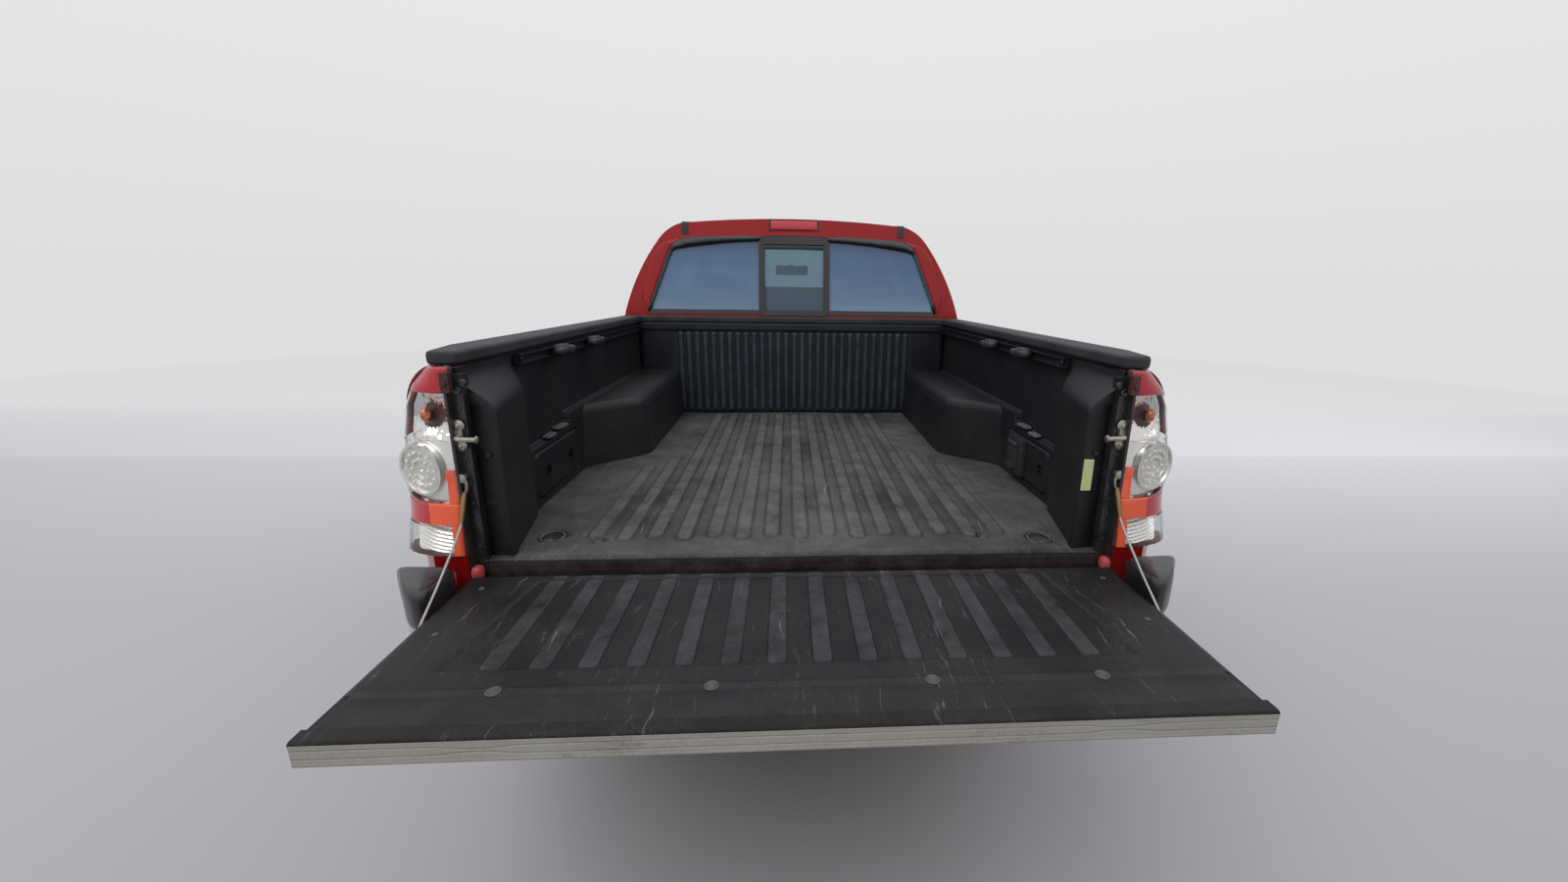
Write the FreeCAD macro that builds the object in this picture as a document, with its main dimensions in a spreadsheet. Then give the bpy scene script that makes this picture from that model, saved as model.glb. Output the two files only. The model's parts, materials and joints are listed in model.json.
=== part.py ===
import FreeCAD, Part
import math
import os
import re
from types import SimpleNamespace

import Sketcher
from FreeCAD import Placement, Rotation, Vector

# Double-cab pickup truck with a short bed, parked with its tailgate let down.
# Millimetres. +X is the truck's right side, +Y its front, +Z up. The origin lies on the
# ground under the middle of the truck's length, open tailgate included.

doc = FreeCAD.newDocument("pickup_truck")
sheet = doc.addObject("Spreadsheet::Sheet", "Sizes")

SIZES = {
    # wheels and tyres
    "rear_axle_y": -1348, "wheelbase": 3246, "track": 1605, "tyre_sides": 60,
    "tyre_radius": 388, "tyre_width": 250, "tread_width": 184, "bulge_radius": 310,
    "bead_radius": 206, "bead_lip": 12, "rim_width": 210, "rim_wall": 14, "rim_disc": 26, "rim_face": 52,
    "hub_radius": 78, "hub_bore": 34, "spoke_count": 6, "spoke_width": 52, "seat_gap": 0.3,
    # ladder frame
    "rail_centre": 400, "rail_width": 60, "rail_height": 120, "rail_top": 560, "kick_up": 120,
    "frame_rear_y": -2360, "frame_setback": 208, "cross_radius": 32,
    # running gear
    "axle_tube": 42, "diff_radius": 140, "drum_radius": 140, "drum_width": 60,
    "spring_x": 520, "spring_width": 60, "leaf_thick": 36, "spring_half": 620,
    "kingpin_inset": 110, "upright_half": 158, "upright_width": 44, "arm_thick": 24,
    "rotor_radius": 150, "spindle_radius": 45,
    # engine, gearbox, tank, exhaust, spare
    "engine_y": 1600, "engine_length": 640, "engine_width": 560, "engine_low": 380,
    "engine_height": 600, "gearbox_length": 900, "gearbox_radius": 130, "shaft_radius": 38,
    "shaft_z": 400,
    "tank_x": -330, "tank_width": 300, "tank_y": -560, "tank_length": 900,
    "tank_height": 200,
    "pipe_radius": 30, "pipe_x": 270, "muffler_radius": 95,
    "spare_y": -1875, "spare_width": 200, "spare_radius": 360,
    # lower body, seen from the front
    "waist_half": 903, "waist_z": 860, "sill_tuck": 31, "sill_z": 500, "flank_tuck": 17,
    "flank_z": 1120, "shoulder_tuck": 45, "shoulder_z": 1212, "belt_tuck": 127, "belt_z": 1268,
    "door_depth": 118, "clear_half": 1400, "floor_z": 560, "floor_thick": 40, "channel_half": 716,
    # greenhouse, seen from the front, at the middle of the roof
    "glass_low_half": 806, "glass_low_z": 1262, "glass_mid_half": 715, "glass_mid_z": 1544,
    "glass_top_half": 629, "glass_top_z": 1681, "edge_half": 585, "edge_z": 1725,
    "ditch_half": 523, "ditch_z": 1755, "roof_z": 1781, "roof_mid_y": 142, "roof_sweep": 7900,
    "cab_wall": 45, "skin_thick": 24,
    # greenhouse, seen from the side
    "cab_rear_y": -708, "roof_rear_y": -628, "rear_glass_low_z": 1307,
    "screen_low_y": 1500, "screen_low_z": 1190, "screen_top_y": 922, "screen_top_z": 1745,
    "screen_round": 2600, "cowl_y": 1524, "firewall_y": 1400,
    # doors
    "door_bottom_z": 560, "door_top_z": 1690, "rear_door_back_y": -568, "rear_door_front_y": 166,
    "front_door_back_y": 178, "front_door_front_y": 1252, "front_door_top_y": 806,
    "rear_door_top_y": -480, "door_gap": 7, "hem": 13, "pillar_hem": 48, "upper_gap": 12,
    "pillar_half": 22, "pillar_seal": 6, "pane_frame": 52, "sash_z": 1285,
    "pane_thick": 5, "pane_depth": 16,
    # nose
    "nose_tuck": 17, "nose_corner_y": 2450, "nose_corner_tuck": 73, "nose_face_half": 640,
    "nose_face_y": 2690, "nose_tip_y": 2740, "hood_rear_y": 1532, "hood_front_y": 2640,
    "hood_rear_z": 1168, "hood_front_z": 1010, "hood_edge_half": 690, "hood_front_half": 600,
    "hood_thick": 28, "fender_thick": 46, "fender_top_z": 1205,
    "hood_gap": 7,
    "arch_radius": 452, "liner_radius": 478, "liner_thick": 5, "liner_half": 455,
    "flare_half": 946, "flare_depth": 62, "flare_band": 52,
    # front end
    "lamp_low_z": 872, "lamp_high_z": 1006, "lamp_inner": 505, "lamp_depth": 150,
    "grille_half": 490, "grille_low_z": 838, "grille_high_z": 1000, "bar_count": 5,
    "grille_sweep": 30, "grille_lean": 62, "grille_rim": 20, "grille_depth": 96,
    "bumper_wrap": 90, "bumper_low_z": 470, "bumper_high_z": 826, "bumper_reach": 2808, "bumper_thick": 70,
    # load bed
    "bed_rear_y": -2308, "bed_length": 1532, "bed_floor_z": 850, "bed_half": 715,
    "bed_skin": 15, "floor_skin": 20, "bulkhead_depth": 43, "bulkhead_top": 400,
    "bed_corner_tuck": 128, "bed_round_tuck": 58, "bed_corner_y": -2336, "bed_corner_run": 190,
    "tail_lean": 38,
    "bed_low_z": 590, "rail_cap_top": 450, "cap_thick": 30, "cap_outer": 784,
    "well_inner": 522, "well_top": 205, "well_wall": 14, "well_taper_y": 848,
    "well_start_y": 651, "well_start_half": 690,
    "rib_pitch": 70, "rib_width": 34, "rib_high": 4, "rib_count": 15, "rib_run": 1380,
    "wall_rib_pitch": 37.5, "wall_rib_count": 27,
    "bench_depth": 20, "bench_low": 166, "bench_high": 210, "bench_step_y": 562, "bench_start_y": 262,
    "post_width": 83, "post_rear": 15, "post_front": 277, "post_top": 400, "post_lean_z": 325,
    "post_slot": 30, "post_slot_deep": 72, "post_shoulder": 17, "post_toe": 36,
    "deck_rail_z": 386, "deck_rail_high": 27, "deck_rail_depth": 23, "deck_rail_rear": 281,
    "deck_rail_front": 1516,
    # tail lamps, bumper, tailgate
    "tail_lamp_inner": 712, "tail_lamp_low": 872, "tail_lamp_wrap": 150,
    "brake_lamp_x": 826, "brake_lamp_y": 48, "brake_lamp_z": 1052, "brake_lamp_radius": 60,
    "brake_lamp_stand": 5, "brake_lamp_turn": 33,
    "gate_half": 703, "gate_reach": 470, "gate_up": 25, "gate_down": 35, "gate_edge_down": 18,
    "hinge_y": -2338, "hinge_z": 805, "gate_start": 8, "gate_cap": 24, "gate_liner": 9, "gate_pin": 11,
    "gate_rib_pitch": 77.5, "gate_rib_count": 14, "gate_rib_width": 40,
    "gate_rib_depth": 5, "gate_rib_run": 320, "gate_rib_start": 34,
    "rear_bumper_y": -2478, "rear_bumper_depth": 118, "step_z": 742, "rear_bumper_low": 590,
    "corner_inner": 726, "corner_outer": 872, "corner_top": 852, "corner_low": 690,
    "plate_bolt_r": 3.5, "plate_bolt_deep": 30, "plate_bolt_spacing": 180, "tow_hole_r": 12.5,
    "cable_radius": 2.5, "eye_z": 1040, "eye_thick": 3.5, "stud_reach": 190, "stud_radius": 8,
    "striker_z": 1129,
    # steering wheel
    "hoop_radius": 182, "post_length": 130, "column_lean": 62, "driver_x": 400, "steering_y": 800,
    "steering_z": 1090,
    # door mirrors
    "inner_mirror_drop": 223, "mirror_y": 1150, "mirror_z": 1340, "mirror_inner": 868, "mirror_outer": 1052,
}

for row, (name, number) in enumerate(SIZES.items(), 1):
    sheet.set(f"A{row}", name)
    sheet.set(f"B{row}", str(number))
    sheet.setAlias(f"B{row}", name)
doc.recompute()
S = SimpleNamespace(**{name: float(sheet.get(name)) for name in SIZES})

# Half widths counted in from the waist, the widest line of the body.
S.sill_half = S.waist_half - S.sill_tuck
S.flank_half = S.waist_half - S.flank_tuck
S.shoulder_half = S.waist_half - S.shoulder_tuck
S.belt_half = S.waist_half - S.belt_tuck
S.door_inner_half = S.waist_half - S.door_depth
S.nose_half = S.waist_half - S.nose_tuck
S.nose_corner_half = S.waist_half - S.nose_corner_tuck
S.bed_corner_half = S.waist_half - S.bed_corner_tuck

parts = {}


def bound(words):
    """The expression in words, with each size's name pointing at its cell."""
    return re.sub(r"[a-z_]+", lambda m: "Sizes." + m.group() if m.group() in SIZES else m.group(), words)


def value(words):
    return float(sheet.evalExpression(bound(words)))


def new_body(name):
    body = doc.addObject("PartDesign::Body", name)
    body.Label = name
    parts[name] = body
    return body


def origin_feature(body, role):
    return next(f for f in body.Origin.OriginFeatures if f.Role == role)


def sketch(body, name, plane, corners, offset="0"):
    """A closed outline of straight runs on one of the body's planes, each corner bound to the sheet."""
    outline = body.newObject("Sketcher::SketchObject", name)
    outline.AttachmentSupport = [(origin_feature(body, plane), "")]
    outline.MapMode = "FlatFace"
    outline.setExpression("AttachmentOffset.Base.z", bound(offset))
    places = [(value(across), value(up)) for across, up in corners]
    count = len(corners)
    for i in range(count):
        start, end = Vector(*places[i], 0), Vector(*places[(i + 1) % count], 0)
        outline.addGeometry(Part.LineSegment(start, end), False)
    for i in range(count):
        outline.addConstraint(Sketcher.Constraint("Coincident", i, 2, (i + 1) % count, 1))
    for i, (corner, place) in enumerate(zip(corners, places)):
        for kind, words, number in zip(("DistanceX", "DistanceY"), corner, place):
            key = outline.addConstraint(Sketcher.Constraint(kind, -1, 1, i, 1, number))
            outline.setExpression(f"Constraints[{key}]", bound(words))
    return outline


def round_sketch(body, name, plane, circles, offset="0"):
    """Circles on one of the body's planes: (across, up, radius) each, bound to the sheet."""
    outline = body.newObject("Sketcher::SketchObject", name)
    outline.AttachmentSupport = [(origin_feature(body, plane), "")]
    outline.MapMode = "FlatFace"
    outline.setExpression("AttachmentOffset.Base.z", bound(offset))
    for i, (across, up, radius) in enumerate(circles):
        centre = Vector(value(across), value(up), 0)
        outline.addGeometry(Part.Circle(centre, Vector(0, 0, 1), value(radius)), False)
        for kind, words in (("DistanceX", across), ("DistanceY", up)):
            key = outline.addConstraint(Sketcher.Constraint(kind, -1, 1, i, 3, value(words)))
            outline.setExpression(f"Constraints[{key}]", bound(words))
        key = outline.addConstraint(Sketcher.Constraint("Radius", i, value(radius)))
        outline.setExpression(f"Constraints[{key}]", bound(radius))
    return outline


def pad(body, profile, length, middle=False, back=False):
    feature = body.newObject("PartDesign::Pad", profile.Name + "_pad")
    feature.Profile = profile
    feature.setExpression("Length", bound(length))
    feature.Midplane = middle
    feature.Reversed = back
    doc.recompute()
    return feature


def pocket(body, profile, length, middle=False, back=False):
    """Cut the profile out; a pocket that removes nothing is an error."""
    before = body.Shape.Volume
    feature = body.newObject("PartDesign::Pocket", profile.Name + "_cut")
    feature.Profile = profile
    feature.setExpression("Length", bound(length))
    feature.Midplane = middle
    feature.Reversed = back
    doc.recompute()
    if feature.Shape.Volume >= before - 1e-3:
        raise RuntimeError(f"{feature.Name} cuts nothing")
    return feature


def revolve(body, profile, axis):
    feature = body.newObject("PartDesign::Revolution", profile.Name + "_turn")
    feature.Profile = profile
    feature.ReferenceAxis = (origin_feature(body, axis), [""])
    feature.Angle = 360
    doc.recompute()
    return feature


def rows(body, feature, direction, pitch, count):
    """Repeat a feature in a row along one of the body's axes."""
    pattern = body.newObject("PartDesign::LinearPattern", feature.Name + "_row")
    pattern.Originals = [feature]
    pattern.Direction = (origin_feature(body, direction), [""])
    pattern.Mode = "Spacing"
    pattern.setExpression("Offset", bound(pitch))
    pattern.setExpression("Occurrences", bound(count))
    body.Tip = pattern
    doc.recompute()
    return pattern


def round_pattern(body, feature, axis, count):
    pattern = body.newObject("PartDesign::PolarPattern", feature.Name + "_round")
    pattern.Originals = [feature]
    pattern.Axis = (origin_feature(body, axis), [""])
    pattern.Angle = 360
    pattern.setExpression("Occurrences", bound(count))
    body.Tip = pattern
    doc.recompute()
    return pattern


def mirrored(body, features):
    """Repeat features on the truck's other side."""
    pattern = body.newObject("PartDesign::Mirrored", features[0].Name + "_mirror")
    pattern.Originals = features
    pattern.MirrorPlane = (origin_feature(body, "YZ_Plane"), [""])
    body.Tip = pattern
    doc.recompute()
    return pattern


def move(body, x="0", y="0", z="0", turn=0):
    """Set a sub-part's Placement, bound to the sheet; turn is about the vertical."""
    body.Placement = Placement(Vector(), Rotation(Vector(0, 0, 1), turn))
    for axis, words in zip("xyz", (x, y, z)):
        body.setExpression(f".Placement.Base.{axis}", bound(words))


# Free shapes for the curved skins: outlines drawn in a view and carried along its normal.
VIEWS = {
    "front": (Vector(1, 0, 0), Vector(0, 0, 1), Vector(0, 1, 0)),
    "side": (Vector(0, 1, 0), Vector(0, 0, 1), Vector(1, 0, 0)),
    "top": (Vector(1, 0, 0), Vector(0, 1, 0), Vector(0, 0, 1)),
}


def wire(view, at, start, *moves):
    """A closed wire: each move is a point (straight run) or a pair of points (arc through the first)."""
    across, up, normal = VIEWS[view]

    def spot(point):
        return across * point[0] + up * point[1] + normal * at

    edges = []
    here = start
    for step in moves + (start,):
        if isinstance(step[0], tuple):
            edges.append(Part.Arc(spot(here), spot(step[0]), spot(step[1])).toShape())
            here = step[1]
        elif math.dist(here, step) > 1e-6:
            edges.append(Part.LineSegment(spot(here), spot(step)).toShape())
            here = step
    return Part.Wire(edges)


def slab(view, low, high, start, *moves):
    """The outline in a view, solid between two stations along the view's normal."""
    return Part.Face(wire(view, low, start, *moves)).extrude(VIEWS[view][2] * (high - low))


def inset_wire(outline, inset):
    """The outline moved inwards, redrawn from the ends and middles of its runs and arcs."""
    if inset == 0:
        return outline
    edges = []
    for edge in Part.sortEdges(outline.makeOffset2D(-inset).Edges)[0]:
        first, last = edge.ParameterRange
        start, end = edge.valueAt(first), edge.valueAt(last)
        if edge.Curve.TypeId == "Part::GeomLine":
            edges.append(Part.LineSegment(start, end).toShape())
        else:
            edges.append(Part.Arc(start, edge.valueAt((first + last) / 2), end).toShape())
    return Part.Wire(edges)


def block(x0, x1, y0, y1, z0, z1):
    return Part.makeBox(x1 - x0, y1 - y0, z1 - z0, Vector(x0, y0, z0))


def rod(start, end, radius):
    run = Vector(*end) - Vector(*start)
    return Part.makeCylinder(radius, run.Length, Vector(*start), run)


def drum(x0, x1, y, z, radius):
    """A cylinder across the truck."""
    return Part.makeCylinder(radius, x1 - x0, Vector(x0, y, z), Vector(1, 0, 0))


def other_side(shape):
    return shape.mirror(Vector(0, 0, 0), Vector(1, 0, 0))


def both(shape):
    return Part.makeCompound([shape, other_side(shape)])


def free_part(name, shape):
    """A sub-part whose curved shape is made directly from the sizes."""
    solids = [s for s in shape.Solids if s.Volume > 50]
    feature = doc.addObject("Part::Feature", name)
    feature.Label = name
    feature.Shape = solids[0] if len(solids) == 1 else Part.makeCompound(solids)
    parts[name] = feature
    return feature


front_axle_y = S.rear_axle_y + S.wheelbase
wheel_x = S.track / 2
axle_z = S.tyre_radius
bed_front_y = S.bed_rear_y + S.bed_length + S.bulkhead_depth
rail_z = S.bed_floor_z + S.rail_cap_top - S.cap_thick


# Ladder frame: two box rails kicked up over the rear axle, joined by cross tubes.
def make_frame():
    body = new_body("frame")
    top, low = "rail_top", "rail_top - rail_height"
    end = "bumper_reach - frame_setback"
    line = [
        ("frame_rear_y", f"{low} + kick_up"), ("rear_axle_y + 330", f"{low} + kick_up"),
        ("rear_axle_y + 610", low), ("rear_axle_y + wheelbase - 340", low),
        ("rear_axle_y + wheelbase - 220", f"{low} + kick_up / 3"), (end, f"{low} + kick_up / 3"),
        (end, f"{top} + kick_up / 3"), ("rear_axle_y + wheelbase - 240", f"{top} + kick_up / 3"),
        ("rear_axle_y + wheelbase - 360", top), ("rear_axle_y + 630", top),
        ("rear_axle_y + 350", f"{top} + kick_up"), ("frame_rear_y", f"{top} + kick_up"),
    ]
    outline = sketch(body, "frame_rail", "YZ_Plane", line, "rail_centre - rail_width / 2")
    rail = pad(body, outline, "rail_width")
    high = f"{top} - rail_height / 2 + kick_up"
    flat = f"{top} - rail_height / 2"
    raised = f"{top} - rail_height / 2 + kick_up / 3"
    circles = [
        ("frame_rear_y + 60", high, "cross_radius"), ("rear_axle_y + 260", high, "cross_radius"),
        ("rear_axle_y - 480", high, "cross_radius"),
        ("rear_axle_y + 760", flat, "cross_radius"), ("rear_axle_y + 1300", flat, "cross_radius"),
        ("rear_axle_y + 1800", flat, "cross_radius"), (f"{end} - 60", raised, "cross_radius"),
    ]
    pad(body, round_sketch(body, "frame_tubes", "YZ_Plane", circles), "rail_centre * 2", middle=True)
    mirrored(body, [rail])


# Engine: one plain block, closed inside; gearbox and shaft behind it on one line.
def make_engine():
    engine = doc.addObject("Part::Box", "engine")
    engine.Label = "engine"
    engine.setExpression("Length", bound("engine_width"))
    engine.setExpression("Width", bound("engine_length"))
    engine.setExpression("Height", bound("engine_height"))
    move(engine, "-engine_width / 2", "engine_y", "engine_low")
    parts["engine"] = engine


def make_driveline():
    body = new_body("driveline")
    rear = "rear_axle_y + diff_radius + seat_gap - engine_y"
    corners = [
        ("0", "0"), ("gearbox_radius", "0"), ("gearbox_radius", "-gearbox_length / 3"),
        ("gearbox_radius * 0.55", "-gearbox_length * 0.45"), ("gearbox_radius * 0.55", "-gearbox_length"),
        ("shaft_radius", "-gearbox_length"), ("shaft_radius", rear), ("0", rear),
    ]
    revolve(body, sketch(body, "driveline_outline", "XY_Plane", corners), "Y_Axis")
    move(body, "0", "engine_y", "shaft_z")


def make_tank():
    tank = doc.addObject("Part::Box", "tank_block")
    tank.setExpression("Length", bound("tank_width"))
    tank.setExpression("Width", bound("tank_length"))
    tank.setExpression("Height", bound("tank_height"))
    move(tank, "tank_x - tank_width / 2", "tank_y", "rail_top - rail_height - seat_gap - tank_height")
    doc.recompute()
    tank_body = doc.addObject("Part::Fillet", "fuel_tank")
    tank_body.Base = tank
    radius = 45.0
    upright = [i + 1 for i, e in enumerate(tank.Shape.Edges) if abs(e.BoundBox.ZLength - S.tank_height) < 1]
    tank_body.Edges = [(i, radius, radius) for i in upright]
    tank_body.Label = "fuel_tank"
    parts["fuel_tank"] = tank_body


# Exhaust: one pipe along the right rail, through the silencer, over the axle to the side.
def make_exhaust():
    tube_low = S.rail_top - S.rail_height / 2 - S.cross_radius
    pipe_z = tube_low - S.seat_gap - S.muffler_radius
    points = [
        (S.pipe_x, S.engine_y - 60, pipe_z), (S.pipe_x, -500, pipe_z),
        (S.pipe_x, S.rear_axle_y + 420, pipe_z),
        (S.pipe_x + 20, S.rear_axle_y + 200, pipe_z + 130),
        (S.pipe_x + 20, S.rear_axle_y - 200, pipe_z + 130),
        (S.pipe_x + 260, S.rear_axle_y - 480, pipe_z + 20),
        (S.pipe_x + 420, S.rear_axle_y - 760, pipe_z - 20),
    ]
    shape = rod(points[0], points[1], S.pipe_radius)
    for here, there in zip(points[1:], points[2:]):
        joint = Part.makeSphere(S.pipe_radius, Vector(*here))
        shape = shape.fuse(joint).fuse(rod(here, there, S.pipe_radius))
    muffler = rod((S.pipe_x, -40, pipe_z), (S.pipe_x, -640, pipe_z), S.muffler_radius)
    free_part("exhaust", shape.fuse(muffler))


def ring(name, stations):
    """A many-sided solid along the wheel's axis through (x, radius) stations, a corner at the ground."""
    outlines = []
    for i, (x, radius) in enumerate(stations):
        outline = doc.addObject("Part::RegularPolygon", f"{name}_{i}")
        outline.setExpression("Polygon", bound("tyre_sides"))
        outline.setExpression("Circumradius", bound(radius))
        outline.Placement = Placement(Vector(), Rotation(Vector(0, 1, 0), 90))
        outline.setExpression(".Placement.Base.x", bound(x))
        outlines.append(outline)
    solid = doc.addObject("Part::Loft", name)
    solid.Sections = outlines
    solid.Solid = True
    solid.Ruled = True
    return solid


def make_tyre(name, x, y):
    """Tyre on its seat: bead, leaning sidewall, bulge and flat tread, in flat facets."""
    half = [("rim_width / 2", "bead_radius + bead_lip"), ("tyre_width / 2", "bulge_radius"),
            ("tread_width / 2", "tyre_radius")]
    other = [(f"-({across})", radius) for across, radius in reversed(half)]
    tyre = doc.addObject("Part::Cut", name)
    tyre.Base = ring(name + "_form", half + other)
    tyre.Tool = ring(name + "_bore", [("tyre_width", "bead_radius"), ("-tyre_width", "bead_radius")])
    tyre.Label = name
    parts[name] = tyre
    move(tyre, x, y, "tyre_radius")


def make_rim(name, x, y, turn):
    """Alloy rim: barrel, dished disc and wide spokes between cut windows."""
    body = new_body(name)
    outer = "bead_radius - seat_gap"
    inner = "bead_radius - rim_wall"
    half = "rim_width / 2"
    face = "rim_face"
    corners = [
        (f"-{half}", outer), (half, outer), (half, inner), (face, inner),
        (face, "hub_bore"), (f"{face} - rim_disc", "hub_bore"), (f"{face} - rim_disc", inner),
        (f"-{half}", inner),
    ]
    revolve(body, sketch(body, name + "_section", "XY_Plane", corners), "X_Axis")
    window = [
        ("spoke_width * 0.7", "hub_radius"), ("spoke_width * 1.35", f"{inner} - 12"),
        ("-spoke_width * 1.35", f"{inner} - 12"), ("-spoke_width * 0.7", "hub_radius"),
    ]
    hole = pocket(body, sketch(body, name + "_window", "YZ_Plane", window, face), "rim_disc + 2")
    round_pattern(body, hole, "X_Axis", "spoke_count")
    move(body, x, y, "tyre_radius", turn)


def make_wheels():
    for end, y in (("front", "rear_axle_y + wheelbase"), ("rear", "rear_axle_y")):
        for side, x, turn in (("left", "-track / 2", 180), ("right", "track / 2", 0)):
            make_tyre(f"tyre_{end}_{side}", x, y)
            make_rim(f"rim_{end}_{side}", x, y, turn)


def make_spare():
    body = new_body("spare_wheel")
    corners = [
        ("0", "0"), ("spare_radius * 0.8", "0"), ("spare_radius", "spare_width * 0.2"),
        ("spare_radius", "spare_width * 0.8"), ("spare_radius * 0.8", "spare_width"), ("0", "spare_width"),
    ]
    revolve(body, sketch(body, "spare_section", "XZ_Plane", corners), "Z_Axis")
    tube_low = "rail_top + kick_up - rail_height / 2 - cross_radius"
    move(body, "0", "spare_y", f"{tube_low} - seat_gap - spare_width")


# Rear axle: differential in the middle, tubes, drums that end at the rims' discs.
def make_rear_axle():
    body = new_body("rear_axle")
    end = "track / 2 + rim_face - rim_disc - seat_gap"
    half = [
        ("diff_radius * 0.5", "diff_radius"), ("diff_radius * 1.4", "axle_tube"),
        (f"{end} - drum_width - 40", "axle_tube"), (f"{end} - drum_width", "drum_radius"),
        (end, "drum_radius"), (end, "0"),
    ]
    corners = [(f"-({x})", r) for x, r in reversed(half)] + half
    revolve(body, sketch(body, "rear_axle_section", "XY_Plane", corners), "X_Axis")
    move(body, "0", "rear_axle_y", "tyre_radius")


def make_rear_springs():
    """Leaf pack, axle clamp, eyes and rear shackle on each side, hung outside the frame rails."""
    seat = axle_z + S.axle_tube + S.seat_gap
    y = S.rear_axle_y
    half = S.spring_half
    eye_z = S.rail_top + S.kick_up - S.rail_height / 2 - 20
    x0, x1 = S.spring_x - S.spring_width / 2, S.spring_x + S.spring_width / 2
    t = S.leaf_thick
    front_z = S.rail_top - S.rail_height / 2 - t / 2
    pack = slab("side", x0, x1, (y - half, eye_z), ((y, seat + 6), (y + half, front_z)),
                (y + half, front_z + t), ((y, seat + 6 + t), (y - half, eye_z + t)))
    clamp = block(x0 - 8, x1 + 8, y - 60, y + 60, seat, seat + t + 30)
    shape = pack.fuse(clamp)
    outer = S.rail_centre + S.rail_width / 2 + S.seat_gap
    for end, z in ((y - half, eye_z), (y + half, front_z)):
        shape = shape.fuse(rod((outer, end, z + t / 2), (x1, end, z + t / 2), 22))
    free_part("rear_springs", both(shape))


# Knuckles: upright on the kingpin line, spindle and brake rotor; the wheel turns on the spindle.
def make_knuckle(name, x, turn):
    body = new_body(name)
    half = "upright_width / 2"
    plate = [
        ("-55", "-upright_half"), ("55", "-upright_half"), ("70", "0"), ("55", "upright_half"),
        ("-55", "upright_half"), ("-70", "0"),
    ]
    pad(body, sketch(body, name + "_plate", "YZ_Plane", plate), "upright_width", middle=True)
    reach = "kingpin_inset + rim_face - rim_disc - seat_gap"
    corners = [
        ("0", "0"), ("0", "spindle_radius"), ("kingpin_inset * 0.6", "spindle_radius"),
        ("kingpin_inset * 0.6", "rotor_radius"), ("kingpin_inset * 0.6 + 24", "rotor_radius"),
        ("kingpin_inset * 0.6 + 24", "spindle_radius"), (reach, "spindle_radius"), (reach, "0"),
    ]
    revolve(body, sketch(body, name + "_spindle", "XY_Plane", corners), "X_Axis")
    move(body, x, "rear_axle_y + wheelbase", "tyre_radius", turn)


def make_front_suspension():
    """Cross member under the engine, wishbones out to the kingpin line, and a strut each side."""
    y = front_axle_y
    pin_x = wheel_x - S.kingpin_inset
    low = axle_z - S.upright_half - S.seat_gap
    high = axle_z + S.upright_half + S.seat_gap
    root = S.rail_centre + S.rail_width / 2
    rail_low = S.rail_top - S.rail_height + S.kick_up / 3
    member = block(-root, root, y - 60, y + 60, low - 30, S.engine_low - S.seat_gap)
    shape = member
    for side in (1, -1):
        lower = slab("top", low - S.arm_thick, low, (side * (root - 40), y - 150),
                     (side * (pin_x - 4), y - 18), ((side * (pin_x + 14), y), (side * (pin_x - 4), y + 18)),
                     (side * (root - 40), y + 150))
        upper = slab("top", high, high + S.arm_thick, (side * (root + S.seat_gap), y - 110),
                     (side * (pin_x - 4), y - 18), ((side * (pin_x + 14), y), (side * (pin_x - 4), y + 18)),
                     (side * (root + S.seat_gap), y + 110))
        near, far = sorted((side * (root - 50), side * (root - 10)))
        tower = block(near, far, y - 40, y + 40, low + 40, rail_low)
        strut = rod((side * (root + 85), y, low - 10), (side * (root + 50), y, high + 10), 38)
        shape = shape.fuse([lower, upper, tower, strut])
    free_part("front_suspension", shape)


# Cab skin: barrel-sided lower body and a greenhouse swept along the roof's long arc.
def lower_section(at, inset):
    half = [
        (S.sill_half, S.sill_z), ((S.waist_half, S.waist_z), (S.flank_half, S.flank_z)),
        ((S.shoulder_half, S.shoulder_z), (S.belt_half, S.belt_z)),
    ]
    outline = wire("front", at, (-S.sill_half, S.sill_z), *half, (-S.belt_half, S.belt_z),
                   ((-S.shoulder_half, S.shoulder_z), (-S.flank_half, S.flank_z)),
                   ((-S.waist_half, S.waist_z), (-S.sill_half, S.sill_z)))
    return inset_wire(outline, inset)


def lower_body(y0, y1, inset=0):
    return Part.Face(lower_section(y0, inset)).extrude(Vector(0, y1 - y0, 0))


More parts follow.
